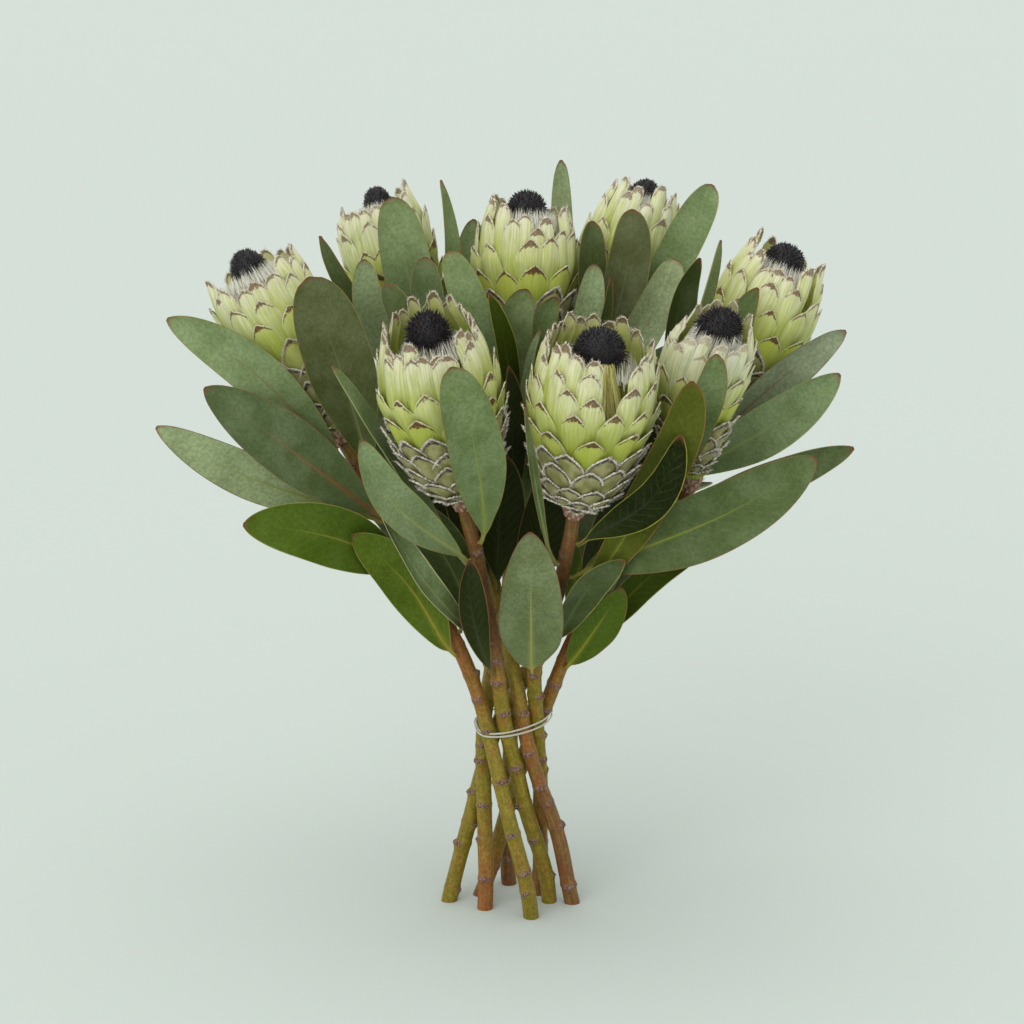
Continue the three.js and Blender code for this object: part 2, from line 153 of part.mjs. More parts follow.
    face: [[0.38,-0.91,-0.17],[0.4,-0.9,-0.2],[0.41,-0.88,-0.23],[0.41,-0.88,-0.22],[0.41,-0.89,-0.19],[0.39,-0.91,-0.15],[0.36,-0.93,-0.05],[0.29,-0.95,0.13],[0.21,-0.91,0.37],[0.17,-0.87,0.47]],
    root: [5.6,49.1,299.2] },
  { id: 'leaf_back_left_3', stem: 'back_left', own: true, width: 22.0, skew: 1.5, cup: 0.12, tone: 'mid',
    line: [[-39.7,43.6,302.2],[-42.3,41.3,314.6],[-44.0,37.1,326.6],[-45.5,32.3,338.8],[-46.8,27.7,351.0],[-48.0,23.3,363.3],[-49.1,19.5,375.8],[-50.0,16.9,388.6],[-50.6,17.0,401.6],[-50.8,20.5,414.3]],
    face: [[0.26,-0.96,-0.14],[0.26,-0.94,-0.22],[0.25,-0.92,-0.31],[0.24,-0.91,-0.32],[0.24,-0.92,-0.31],[0.23,-0.93,-0.29],[0.21,-0.95,-0.22],[0.19,-0.98,-0.08],[0.18,-0.97,0.14],[0.17,-0.95,0.26]],
    root: [-40.7,46.4,299.5] },
  { id: 'leaf_back_centre_2', stem: 'back_centre', own: true, width: 22.0, skew: 1.5, cup: 0.12, tone: 'mid',
    line: [[6.5,45.7,307.3],[6.3,42.0,317.1],[5.7,37.7,326.7],[4.9,33.1,336.3],[4.2,28.5,346.0],[3.8,24.1,355.7],[4.0,20.0,365.6],[5.0,16.6,375.6],[7.8,14.4,385.7],[11.9,13.5,395.5]],
    face: [[0.15,-0.92,-0.37],[0.17,-0.9,-0.39],[0.2,-0.89,-0.41],[0.19,-0.89,-0.41],[0.18,-0.9,-0.41],[0.15,-0.91,-0.39],[0.1,-0.93,-0.36],[0.04,-0.96,-0.27],[0.0,-0.99,-0.15],[0.0,-1.0,-0.1]],
    root: [7.2,49.7,306.7] },
  { id: 'leaf_back_centre_3', stem: 'back_centre', own: false, width: 15.0, skew: 1.25, cup: 0.12, tone: 'satdark',
    line: [[5.2,44.7,295.2],[4.2,39.6,306.4],[3.4,33.3,317.0],[2.5,26.7,327.4],[1.4,20.2,337.9],[0.1,14.2,348.6],[-1.5,8.8,359.6],[-3.9,4.9,371.1],[-7.3,3.5,382.9],[-11.3,4.1,394.5]],
    face: [[0.55,-0.78,-0.3],[0.55,-0.75,-0.35],[0.56,-0.73,-0.4],[0.57,-0.72,-0.4],[0.58,-0.73,-0.37],[0.59,-0.75,-0.31],[0.59,-0.78,-0.21],[0.58,-0.81,-0.04],[0.55,-0.83,0.14],[0.52,-0.82,0.22]],
    root: [6.1,48.0,294.7] },
  { id: 'leaf_back_centre_4', stem: 'back_centre', own: false, width: 15.81, skew: 1.5, cup: 0.12, tone: 'mid',
    line: [[9.6,48.0,317.1],[11.2,44.7,325.3],[12.6,41.1,333.4],[13.8,37.4,341.5],[15.3,33.8,349.6],[16.9,30.3,357.6],[19.0,27.0,365.7],[21.7,24.3,373.8],[25.5,22.4,381.7],[29.9,21.0,389.4]],
    face: [[0.21,-0.89,-0.4],[0.22,-0.88,-0.41],[0.23,-0.87,-0.43],[0.23,-0.87,-0.43],[0.21,-0.88,-0.43],[0.19,-0.89,-0.42],[0.16,-0.91,-0.38],[0.13,-0.94,-0.33],[0.12,-0.96,-0.26],[0.12,-0.96,-0.24]],
    root: [8.7,51.3,316.5] },
  { id: 'leaf_back_centre_5', stem: 'back_centre', own: false, width: 8.0, skew: 1.25, cup: 0.12, tone: 'light',
    line: [[6.5,43.3,287.5],[7.7,39.7,296.8],[8.5,35.3,305.9],[9.1,30.7,315.0],[9.9,26.2,324.0],[10.8,21.9,333.1],[11.9,18.0,342.4],[13.5,14.9,351.9],[16.3,14.1,361.6],[20.6,17.5,370.0]],
    face: [[0.5,-0.78,-0.37],[0.51,-0.77,-0.39],[0.52,-0.75,-0.41],[0.52,-0.75,-0.42],[0.52,-0.75,-0.41],[0.51,-0.77,-0.4],[0.49,-0.79,-0.37],[0.47,-0.84,-0.28],[0.51,-0.86,-0.08],[0.56,-0.83,0.04]],
    root: [6.2,46.7,286.9] },
  { id: 'leaf_back_right_3', stem: 'back_right', own: false, width: 17.0, skew: 1.6, cup: 0.12, tone: 'light',
    line: [[41.4,58.6,288.3],[43.6,56.4,301.7],[44.8,52.5,314.9],[45.8,48.3,328.0],[46.7,44.1,341.1],[47.7,40.1,354.2],[48.8,36.4,367.5],[50.0,33.5,380.9],[51.8,32.5,394.5],[54.2,34.1,408.0]],
    face: [[0.27,-0.94,-0.2],[0.28,-0.93,-0.25],[0.29,-0.91,-0.3],[0.3,-0.9,-0.31],[0.3,-0.9,-0.31],[0.3,-0.91,-0.29],[0.3,-0.92,-0.25],[0.3,-0.94,-0.17],[0.31,-0.95,-0.03],[0.32,-0.95,0.05]],
    root: [42.4,61.1,286.2] },
  { id: 'leaf_back_right_4', stem: 'back_right', own: false, width: 18.0, skew: 1.6, cup: 0.12, tone: 'dark',
    line: [[52.7,70.8,307.4],[53.6,70.2,321.3],[53.5,67.8,335.1],[53.3,65.3,348.9],[53.0,62.8,362.7],[52.6,60.7,376.5],[52.4,59.2,390.4],[52.4,59.0,404.4],[52.8,61.8,418.1],[53.9,68.4,430.4]],
    face: [[0.4,-0.91,-0.07],[0.41,-0.9,-0.11],[0.43,-0.89,-0.15],[0.43,-0.89,-0.15],[0.43,-0.89,-0.14],[0.43,-0.9,-0.11],[0.43,-0.9,-0.05],[0.42,-0.9,0.08],[0.43,-0.86,0.29],[0.44,-0.81,0.39]],
    root: [54.3,73.0,305.2] },
  { id: 'leaf_back_right_5', stem: 'back_right', own: false, width: 9.0, skew: 1.25, cup: 0.12, tone: 'dark',
    line: [[38.3,54.2,281.4],[42.0,52.4,294.5],[45.4,49.2,307.5],[48.7,45.8,320.4],[51.9,42.4,333.3],[54.9,39.0,346.3],[57.8,35.9,359.3],[60.4,33.4,372.6],[62.5,31.7,386.1],[64.1,31.0,399.7]],
    face: [[0.53,-0.8,-0.26],[0.53,-0.8,-0.3],[0.52,-0.78,-0.33],[0.52,-0.78,-0.34],[0.53,-0.78,-0.33],[0.54,-0.78,-0.32],[0.55,-0.78,-0.28],[0.58,-0.79,-0.22],[0.6,-0.79,-0.15],[0.61,-0.78,-0.11]],
    root: [38.8,57.0,279.5] },
  { id: 'leaf_back_right_6', stem: 'back_right', own: false, width: 20.0, skew: 1.5, cup: 0.12, tone: 'light',
    line: [[46.5,60.5,292.0],[53.5,59.2,305.0],[60.4,56.6,317.8],[67.2,53.9,330.7],[74.0,51.3,343.6],[80.8,49.2,356.5],[87.6,47.9,369.6],[94.3,48.1,382.8],[100.6,51.5,395.7],[106.1,58.3,407.7]],
    face: [[0.04,-0.99,-0.12],[0.01,-0.99,-0.16],[-0.01,-0.98,-0.2],[-0.01,-0.98,-0.2],[0.0,-0.98,-0.18],[0.03,-0.99,-0.14],[0.07,-0.99,-0.08],[0.14,-0.99,0.06],[0.24,-0.93,0.27],[0.28,-0.88,0.37]],
    root: [46.2,63.5,290.3] },
  { id: 'leaf_far_right_5', stem: 'far_right', own: false, width: 22.0, skew: 1.25, cup: 0.12, tone: 'dark',
    line: [[103.2,18.2,286.9],[105.3,19.3,301.1],[105.1,20.0,315.5],[104.7,20.5,329.8],[104.3,20.9,344.2],[104.3,21.2,358.7],[105.0,21.4,373.0],[107.2,21.2,387.3],[111.7,20.6,400.9],[118.2,19.7,413.8]],
    face: [[0.62,-0.79,-0.03],[0.63,-0.78,0.0],[0.65,-0.76,0.05],[0.65,-0.76,0.04],[0.64,-0.76,0.03],[0.64,-0.77,-0.0],[0.62,-0.78,-0.06],[0.58,-0.8,-0.16],[0.51,-0.82,-0.26],[0.47,-0.83,-0.3]],
    root: [104.8,18.6,283.9] },
  { id: 'leaf_far_right_6', stem: 'far_right', own: false, width: 15.0, skew: 1.25, cup: 0.12, tone: 'mid',
    line: [[90.0,12.9,274.6],[94.2,11.3,291.5],[98.6,9.6,308.4],[103.0,8.0,325.3],[107.4,6.4,342.2],[111.9,5.0,359.1],[116.4,3.9,376.0],[120.8,3.2,392.9],[125.3,3.5,409.9],[129.6,5.6,426.7]],
    face: [[0.82,-0.52,-0.25],[0.81,-0.52,-0.26],[0.81,-0.52,-0.26],[0.81,-0.52,-0.26],[0.81,-0.52,-0.26],[0.81,-0.52,-0.25],[0.82,-0.52,-0.24],[0.82,-0.52,-0.22],[0.83,-0.52,-0.18],[0.84,-0.52,-0.15]],
    root: [92.2,14.4,272.4] },
  { id: 'leaf_back_left_4', stem: 'back_left', own: true, width: 19.0, skew: 1.5, cup: 0.12, tone: 'mid',
    line: [[-37.5,37.8,292.1],[-44.8,36.0,304.8],[-52.6,33.5,317.1],[-60.4,30.7,329.5],[-68.0,28.0,342.1],[-75.0,25.7,355.1],[-81.2,23.9,368.6],[-85.8,23.2,382.7],[-88.0,24.0,397.5],[-88.6,25.7,412.3]],
    face: [[0.32,-0.95,0.04],[0.34,-0.94,0.03],[0.36,-0.93,0.02],[0.35,-0.94,0.01],[0.34,-0.94,0.01],[0.32,-0.95,0.01],[0.27,-0.96,0.02],[0.22,-0.97,0.05],[0.19,-0.98,0.1],[0.18,-0.98,0.12]],
    root: [-36.6,41.4,290.6] },
  { id: 'leaf_back_left_5', stem: 'back_left', own: false, width: 19.0, skew: 1.5, cup: 0.12, tone: 'dark',
    line: [[-31.0,32.7,279.8],[-35.8,28.7,294.0],[-40.2,22.4,307.5],[-44.5,16.0,321.0],[-48.9,9.9,334.6],[-53.5,4.5,348.4],[-58.4,0.5,362.5],[-63.8,-0.3,377.0],[-69.5,6.6,389.4],[-74.2,18.7,397.8]],
    face: [[0.45,-0.89,-0.1],[0.47,-0.87,-0.17],[0.49,-0.84,-0.23],[0.49,-0.84,-0.23],[0.48,-0.85,-0.2],[0.46,-0.88,-0.14],[0.42,-0.91,-0.0],[0.29,-0.9,0.33],[0.12,-0.7,0.7],[0.05,-0.56,0.83]],
    root: [-30.7,35.9,278.5] },
  { id: 'leaf_back_left_6', stem: 'back_left', own: true, width: 15.0, skew: 1.25, cup: 0.12, tone: 'dark',
    line: [[-44.4,44.1,303.4],[-53.2,43.1,316.7],[-62.1,41.0,329.8],[-71.0,38.7,343.0],[-79.8,36.8,356.3],[-88.6,35.5,369.7],[-97.1,35.4,383.3],[-105.1,37.5,397.1],[-111.9,43.1,410.5],[-117.5,51.3,423.1]],
    face: [[0.65,-0.67,0.36],[0.66,-0.66,0.35],[0.67,-0.66,0.34],[0.67,-0.66,0.34],[0.66,-0.67,0.35],[0.64,-0.67,0.37],[0.61,-0.68,0.42],[0.56,-0.67,0.49],[0.52,-0.63,0.58],[0.51,-0.6,0.61]],
    root: [-43.8,47.8,301.9] },
  { id: 'leaf_back_centre_6', stem: 'back_centre', own: false, width: 21.0, skew: 1.5, cup: 0.12, tone: 'dark',
    line: [[3.6,56.3,310.4],[-1.4,63.3,322.6],[-7.2,71.0,334.0],[-13.0,78.5,345.4],[-18.3,85.8,357.3],[-22.7,92.4,369.9],[-25.6,97.9,383.5],[-26.1,101.4,397.9],[-24.5,103.2,412.6],[-21.9,104.0,427.2]],
    face: [[0.23,-0.79,0.56],[0.21,-0.78,0.59],[0.19,-0.77,0.61],[0.21,-0.78,0.59],[0.24,-0.8,0.55],[0.29,-0.84,0.47],[0.33,-0.89,0.32],[0.34,-0.93,0.16],[0.32,-0.95,0.04],[0.3,-0.95,-0.01]],
    root: [6.2,54.0,310.7] },
  { id: 'leaf_back_right_7', stem: 'back_right', own: true, width: 17.0, skew: 1.6, cup: 0.12, tone: 'mid',
    line: [[48.2,73.4,303.9],[46.8,82.0,320.8],[44.6,91.1,337.3],[42.0,100.1,354.0],[39.5,108.6,371.0],[37.2,116.5,388.3],[35.3,123.1,406.2],[34.1,127.4,424.8],[33.9,128.2,443.9],[34.6,126.4,462.9]],
    face: [[0.48,-0.76,0.43],[0.47,-0.75,0.45],[0.47,-0.75,0.48],[0.47,-0.75,0.46],[0.47,-0.77,0.43],[0.48,-0.79,0.38],[0.49,-0.82,0.29],[0.5,-0.85,0.13],[0.5,-0.87,-0.03],[0.49,-0.87,-0.1]],
    root: [51.8,73.0,302.1] },
  { id: 'leaf_back_centre_7', stem: 'back_centre', own: false, width: 20.0, skew: 1.25, cup: 0.12, tone: 'dark',
    line: [[2.1,33.4,234.3],[2.3,27.5,247.6],[2.5,20.3,260.1],[2.7,12.8,272.5],[2.8,5.6,285.1],[2.8,-1.2,297.8],[2.6,-7.2,311.0],[2.2,-12.0,324.7],[1.6,-15.6,338.7],[0.9,-18.5,352.9]],
    face: [[0.7,-0.65,-0.3],[0.7,-0.63,-0.33],[0.7,-0.61,-0.37],[0.7,-0.61,-0.37],[0.71,-0.62,-0.35],[0.71,-0.63,-0.31],[0.72,-0.65,-0.24],[0.72,-0.67,-0.18],[0.72,-0.68,-0.12],[0.72,-0.68,-0.1]],
    root: [2.3,36.8,233.6] },
  { id: 'leaf_front_left_4', stem: 'front_left', own: false, width: 17.0, skew: 1.0, cup: 0.14, tone: 'mid',
    line: [[-12.8,-30.6,178.6],[-20.1,-37.6,188.9],[-27.4,-45.1,198.8],[-34.7,-52.4,209.0],[-42.0,-59.0,219.6],[-49.2,-64.4,230.8],[-56.3,-68.4,242.8],[-63.1,-71.1,255.2],[-69.8,-73.0,267.9],[-76.3,-74.5,280.7]],
    face: [[0.83,-0.5,0.26],[0.84,-0.49,0.26],[0.84,-0.48,0.26],[0.83,-0.5,0.25],[0.81,-0.53,0.25],[0.79,-0.56,0.25],[0.76,-0.59,0.27],[0.74,-0.61,0.29],[0.73,-0.61,0.3],[0.73,-0.62,0.3]],
    root: [-10.1,-28.6,179.3] },
  { id: 'leaf_front_left_5', stem: 'front_left', own: false, width: 31.0, skew: 1.25, cup: 0.12, tone: 'dark',
    line: [[-16.8,-30.5,197.2],[-23.1,-32.1,205.5],[-27.3,-34.3,215.0],[-31.1,-36.6,224.6],[-35.3,-38.8,234.0],[-40.2,-40.8,243.2],[-45.7,-42.6,252.0],[-51.8,-44.3,260.5],[-58.1,-45.8,268.9],[-64.6,-47.2,277.1]],
    face: [[0.34,-0.94,0.08],[0.35,-0.94,0.01],[0.33,-0.94,-0.08],[0.33,-0.94,-0.08],[0.34,-0.94,-0.05],[0.35,-0.94,0.0],[0.35,-0.94,0.05],[0.34,-0.94,0.08],[0.34,-0.94,0.09],[0.34,-0.94,0.1]],
    root: [-13.5,-31.2,197.6] },
  { id: 'leaf_front_left_6', stem: 'front_left', own: false, width: 19.0, skew: 1.25, cup: 0.12, tone: 'sat',
    line: [[-8.9,-28.8,161.5],[-11.9,-34.5,169.2],[-14.6,-39.3,177.6],[-17.0,-43.6,186.3],[-19.2,-47.5,195.3],[-20.9,-51.1,204.5],[-22.1,-54.2,213.9],[-22.7,-56.7,223.6],[-22.7,-58.7,233.5],[-22.5,-60.5,243.3]],
    face: [[0.67,-0.7,-0.25],[0.64,-0.73,-0.25],[0.6,-0.77,-0.23],[0.57,-0.79,-0.22],[0.54,-0.81,-0.22],[0.5,-0.84,-0.22],[0.47,-0.86,-0.21],[0.44,-0.88,-0.19],[0.42,-0.89,-0.18],[0.41,-0.9,-0.17]],
    root: [-7.3,-25.8,162.2] },
  { id: 'leaf_front_right_6', stem: 'front_right', own: false, width: 21.0, skew: 1.25, cup: 0.12, tone: 'dark',
    line: [[24.5,-24.8,179.4],[29.6,-31.2,185.7],[33.5,-37.0,193.2],[37.1,-42.5,201.3],[40.7,-47.6,209.4],[44.7,-52.6,217.6],[49.3,-57.3,225.6],[55.1,-61.5,233.0],[62.2,-65.2,239.5],[70.0,-68.4,245.5]],
    face: [[-0.22,-0.77,-0.6],[-0.12,-0.78,-0.61],[0.03,-0.81,-0.59],[0.07,-0.82,-0.57],[0.07,-0.83,-0.55],[0.04,-0.85,-0.53],[-0.02,-0.87,-0.49],[-0.08,-0.9,-0.44],[-0.11,-0.92,-0.38],[-0.11,-0.93,-0.36]],
    root: [22.6,-22.3,180.7] },
  { id: 'leaf_back_left_7', stem: 'back_left', own: false, width: 30.0, skew: 1.25, cup: 0.12, tone: 'dark',
    line: [[-5.9,5.2,206.7],[-6.0,2.8,216.9],[-5.9,-0.6,227.0],[-5.7,-4.2,236.9],[-5.4,-7.7,246.9],[-5.0,-11.0,256.9],[-4.4,-13.7,267.1],[-3.6,-15.8,277.5],[-2.6,-17.3,287.9],[-1.6,-18.5,298.4]],
    face: [[0.18,-0.96,-0.23],[0.17,-0.95,-0.27],[0.16,-0.93,-0.33],[0.16,-0.93,-0.34],[0.15,-0.93,-0.32],[0.15,-0.95,-0.29],[0.14,-0.96,-0.24],[0.14,-0.97,-0.18],[0.14,-0.98,-0.14],[0.14,-0.98,-0.12]],
    root: [-7.0,8.2,205.3] },
  { id: 'leaf_back_left_8', stem: 'back_left', own: false, width: 34.0, skew: 1.25, cup: 0.12, tone: 'dark',
    line: [[3.6,-3.6,177.8],[6.6,-4.2,192.2],[10.1,-4.9,206.5],[13.7,-5.8,220.7],[17.3,-6.7,235.0],[20.6,-7.9,249.3],[23.7,-9.2,263.6],[26.2,-10.9,278.1],[28.1,-13.0,292.5],[29.6,-15.3,307.0]],
    face: [[0.41,-0.91,-0.12],[0.4,-0.91,-0.13],[0.39,-0.91,-0.15],[0.39,-0.91,-0.16],[0.39,-0.91,-0.16],[0.39,-0.9,-0.17],[0.4,-0.9,-0.17],[0.41,-0.89,-0.18],[0.42,-0.89,-0.18],[0.43,-0.88,-0.18]],
    root: [1.1,-1.6,176.5] },
  { id: 'leaf_right_5', stem: 'right', own: false, width: 26.0, skew: 1.25, cup: 0.12, tone: 'dark',
    line: [[47.1,-12.2,200.1],[47.8,-17.5,211.3],[50.0,-21.7,222.7],[52.8,-25.5,234.1],[56.1,-29.4,245.4],[59.7,-33.3,256.6],[63.7,-37.6,267.4],[68.3,-42.4,277.9],[73.5,-47.8,287.7],[79.0,-53.7,297.1]],
    face: [[0.54,-0.75,-0.38],[0.5,-0.78,-0.39],[0.45,-0.81,-0.38],[0.42,-0.82,-0.39],[0.4,-0.82,-0.41],[0.37,-0.82,-0.43],[0.32,-0.82,-0.48],[0.25,-0.81,-0.53],[0.19,-0.8,-0.57],[0.16,-0.79,-0.59]],
    root: [49.9,-10.4,199.0] },
  { id: 'leaf_far_left_7', stem: 'far_left', own: false, width: 26.0, skew: 1.25, cup: 0.12, tone: 'dark',
    line: [[-29.4,-18.6,185.7],[-29.2,-21.4,198.6],[-32.7,-22.2,211.4],[-37.4,-22.5,223.8],[-42.1,-23.1,236.2],[-46.4,-24.4,248.7],[-49.4,-27.2,261.3],[-50.1,-32.2,273.5],[-48.8,-39.0,284.9],[-46.5,-46.7,295.5]],
    face: [[0.25,-0.94,-0.21],[0.31,-0.95,-0.09],[0.33,-0.94,0.07],[0.33,-0.94,0.09],[0.34,-0.94,0.05],[0.36,-0.93,-0.05],[0.34,-0.91,-0.23],[0.24,-0.87,-0.44],[0.11,-0.82,-0.56],[0.05,-0.81,-0.59]],
    root: [-32.3,-17.2,184.6] },
  { id: 'leaf_far_right_7', stem: 'far_right', own: false, width: 26.0, skew: 1.25, cup: 0.12, tone: 'dark',
    line: [[68.7,6.9,238.9],[71.0,3.5,247.6],[73.2,-0.4,256.0],[75.5,-4.3,264.4],[77.8,-7.9,273.0],[79.9,-11.0,281.7],[82.0,-13.1,290.8],[83.8,-13.9,300.1],[85.5,-13.6,309.5],[87.0,-12.5,318.9]],
    face: [[0.09,-0.92,-0.38],[0.08,-0.91,-0.41],[0.07,-0.9,-0.43],[0.08,-0.9,-0.42],[0.1,-0.92,-0.38],[0.13,-0.94,-0.31],[0.17,-0.97,-0.19],[0.21,-0.98,-0.06],[0.23,-0.97,0.04],[0.24,-0.97,0.07]],
    root: [70.2,9.7,237.6] },
  { id: 'leaf_back_left_9', stem: 'back_left', own: false, width: 32.0, skew: 1.25, cup: 0.12, tone: 'dark',
    line: [[-9.8,6.5,210.5],[-13.8,4.2,223.2],[-18.3,2.1,235.9],[-22.7,0.1,248.5],[-26.7,-1.9,261.3],[-30.2,-3.8,274.3],[-32.7,-5.6,287.5],[-34.0,-7.3,300.9],[-34.2,-8.9,314.4],[-33.9,-10.5,327.8]],
    face: [[0.25,-0.96,-0.09],[0.26,-0.96,-0.08],[0.26,-0.96,-0.07],[0.25,-0.96,-0.07],[0.24,-0.97,-0.08],[0.22,-0.97,-0.09],[0.19,-0.98,-0.1],[0.16,-0.98,-0.11],[0.14,-0.98,-0.12],[0.13,-0.98,-0.12]],
    root: [-9.3,9.7,209.3] },
  { id: 'leaf_back_left_10', stem: 'back_left', own: true, width: 30.0, skew: 1.25, cup: 0.12, tone: 'mid',
    line: [[-8.7,16.7,202.9],[-12.4,26.5,212.6],[-15.7,32.1,225.5],[-18.9,37.1,238.7],[-22.6,42.8,251.6],[-26.8,50.4,263.1],[-31.6,60.2,272.7],[-36.7,71.2,280.5],[-42.0,83.0,287.2],[-47.3,95.0,293.3]],
    face: [[0.27,-0.61,0.75],[0.33,-0.72,0.62],[0.4,-0.8,0.44],[0.41,-0.8,0.44],[0.38,-0.76,0.54],[0.32,-0.66,0.68],[0.25,-0.55,0.8],[0.21,-0.45,0.87],[0.19,-0.4,0.9],[0.18,-0.38,0.91]],
    root: [-8.2,12.9,204.4] },
  { id: 'leaf_back_centre_8', stem: 'back_centre', own: true, width: 34.0, skew: 1.25, cup: 0.12, tone: 'mid',
    line: [[0.2,38.2,198.1],[0.6,47.4,209.3],[1.0,54.9,221.8],[1.4,62.8,234.1],[1.9,71.6,245.8],[2.3,82.1,256.1],[2.8,94.0,264.6],[3.2,106.9,271.6],[3.6,120.2,277.7],[4.1,133.8,283.3]],
    face: [[-0.03,-0.76,0.65],[-0.03,-0.81,0.59],[-0.03,-0.84,0.54],[-0.03,-0.82,0.57],[-0.03,-0.75,0.66],[-0.02,-0.64,0.77],[-0.02,-0.53,0.85],[-0.02,-0.45,0.89],[-0.01,-0.4,0.92],[-0.01,-0.38,0.92]],
    root: [0.4,34.2,198.9] },
  { id: 'leaf_back_right_8', stem: 'back_right', own: true, width: 32.0, skew: 1.25, cup: 0.12, tone: 'mid',
    line: [[10.1,34.3,213.2],[13.8,44.5,222.3],[18.3,50.9,234.5],[23.1,56.6,246.9],[28.3,63.0,258.8],[33.8,71.3,269.3],[39.5,81.5,277.8],[45.3,92.9,284.6],[51.0,104.9,290.2],[56.7,117.2,295.3]],
    face: [[-0.26,-0.57,0.78],[-0.31,-0.67,0.67],[-0.4,-0.75,0.53],[-0.41,-0.74,0.54],[-0.36,-0.69,0.63],[-0.29,-0.6,0.75],[-0.22,-0.48,0.85],[-0.18,-0.39,0.9],[-0.16,-0.34,0.93],[-0.15,-0.32,0.94]],
    root: [10.8,30.5,214.4] },
  { id: 'leaf_back_left_11', stem: 'back_left', own: false, width: 30.0, skew: 1.25, cup: 0.12, tone: 'dark',
    line: [[-30.4,33.0,259.6],[-39.3,38.0,268.4],[-45.1,42.4,279.7],[-50.4,46.8,291.3],[-56.4,51.6,302.4],[-64.0,57.1,312.1],[-73.2,63.2,319.8],[-83.3,69.6,326.0],[-94.0,76.2,331.0],[-104.8,82.8,335.6]],
    face: [[0.6,-0.26,0.76],[0.69,-0.32,0.65],[0.76,-0.4,0.52],[0.75,-0.4,0.53],[0.7,-0.35,0.63],[0.6,-0.27,0.75],[0.49,-0.19,0.85],[0.4,-0.14,0.91],[0.35,-0.11,0.93],[0.33,-0.1,0.94]],
    root: [-27.2,32.4,260.8] },
  { id: 'leaf_back_centre_9', stem: 'back_centre', own: false, width: 30.0, skew: 1.25, cup: 0.12, tone: 'dark',
    line: [[-0.5,46.4,247.8],[-3.7,53.3,259.3],[-3.5,56.0,272.8],[-2.4,58.0,286.5],[-1.5,60.7,300.1],[-1.4,65.3,313.1],[-2.4,72.3,325.0],[-4.4,80.8,335.7],[-6.8,90.2,345.6],[-9.5,100.0,355.0]],
    face: [[0.21,-0.81,0.54],[0.19,-0.91,0.37],[0.09,-0.98,0.17],[0.06,-0.98,0.16],[0.09,-0.96,0.26],[0.13,-0.9,0.42],[0.15,-0.81,0.57],[0.14,-0.73,0.67],[0.13,-0.68,0.72],[0.13,-0.67,0.73]],
    root: [1.8,43.9,248.3] },
  { id: 'leaf_back_right_9', stem: 'back_right', own: false, width: 30.0, skew: 1.25, cup: 0.12, tone: 'mid',
    line: [[20.3,44.0,251.5],[18.8,48.9,263.8],[20.3,53.4,276.4],[22.7,58.1,288.7],[24.9,63.7,300.7],[26.5,70.4,312.2],[27.2,78.3,322.9],[27.2,87.2,333.0],[26.7,96.5,342.6],[26.1,106.1,351.9]],
    face: [[-0.27,-0.91,0.33],[-0.35,-0.88,0.33],[-0.43,-0.82,0.37],[-0.43,-0.8,0.42],[-0.39,-0.79,0.47],[-0.34,-0.77,0.54],[-0.3,-0.74,0.6],[-0.28,-0.71,0.65],[-0.27,-0.69,0.67],[-0.27,-0.68,0.68]],
    root: [23.5,44.0,250.3] },
  { id: 'leaf_far_right_8', stem: 'far_right', own: false, width: 32.0, skew: 1.25, cup: 0.12, tone: 'mid',
    line: [[71.8,17.5,237.3],[78.4,24.9,247.1],[85.0,30.0,258.5],[91.7,34.8,269.8],[99.0,40.2,280.5],[107.0,47.0,289.9],[115.4,55.1,297.6],[124.2,64.2,303.9],[133.0,73.7,309.3],[141.8,83.5,314.2]],
    face: [[-0.53,-0.47,0.71],[-0.57,-0.5,0.65],[-0.63,-0.51,0.59],[-0.61,-0.49,0.62],[-0.55,-0.46,0.7],[-0.47,-0.39,0.79],[-0.39,-0.32,0.87],[-0.33,-0.26,0.91],[-0.3,-0.22,0.93],[-0.29,-0.21,0.93]],
    root: [71.9,14.1,237.6] },
  { id: 'leaf_back_left_12', stem: 'back_left', own: false, width: 30.0, skew: 1.25, cup: 0.12, tone: 'mid',
    line: [[-21.5,20.0,231.2],[-31.0,22.6,240.1],[-39.3,25.2,250.1],[-47.8,27.9,259.9],[-57.1,30.7,269.0],[-67.6,33.6,276.6],[-79.2,36.5,282.4],[-91.4,39.4,286.8],[-103.9,42.2,290.3],[-116.5,45.0,293.3]],
    face: [[0.65,-0.17,0.74],[0.69,-0.19,0.7],[0.72,-0.2,0.66],[0.69,-0.19,0.7],[0.61,-0.16,0.78],[0.49,-0.13,0.86],[0.37,-0.1,0.92],[0.29,-0.09,0.95],[0.24,-0.08,0.97],[0.22,-0.07,0.97]],
    root: [-18.2,20.6,231.9] },
  { id: 'leaf_far_right_9', stem: 'far_right', own: true, width: 32.0, skew: 1.25, cup: 0.12, tone: 'sat',
    line: [[35.1,11.7,187.8],[39.5,20.1,196.3],[43.1,28.6,205.1],[46.5,38.0,213.3],[50.0,48.0,220.6],[53.7,58.9,226.5],[57.5,70.4,230.9],[61.3,82.4,234.1],[65.2,94.5,236.5],[69.1,106.6,238.5]],
    face: [[-0.22,-0.63,0.75],[-0.22,-0.63,0.74],[-0.21,-0.62,0.76],[-0.19,-0.57,0.8],[-0.16,-0.49,0.86],[-0.12,-0.38,0.92],[-0.09,-0.28,0.96],[-0.07,-0.21,0.98],[-0.05,-0.16,0.99],[-0.05,-0.15,0.99]],
    root: [35.8,7.7,187.9] },
  { id: 'leaf_back_centre_10', stem: 'back_centre', own: false, width: 32.0, skew: 1.25, cup: 0.12, tone: 'sat',
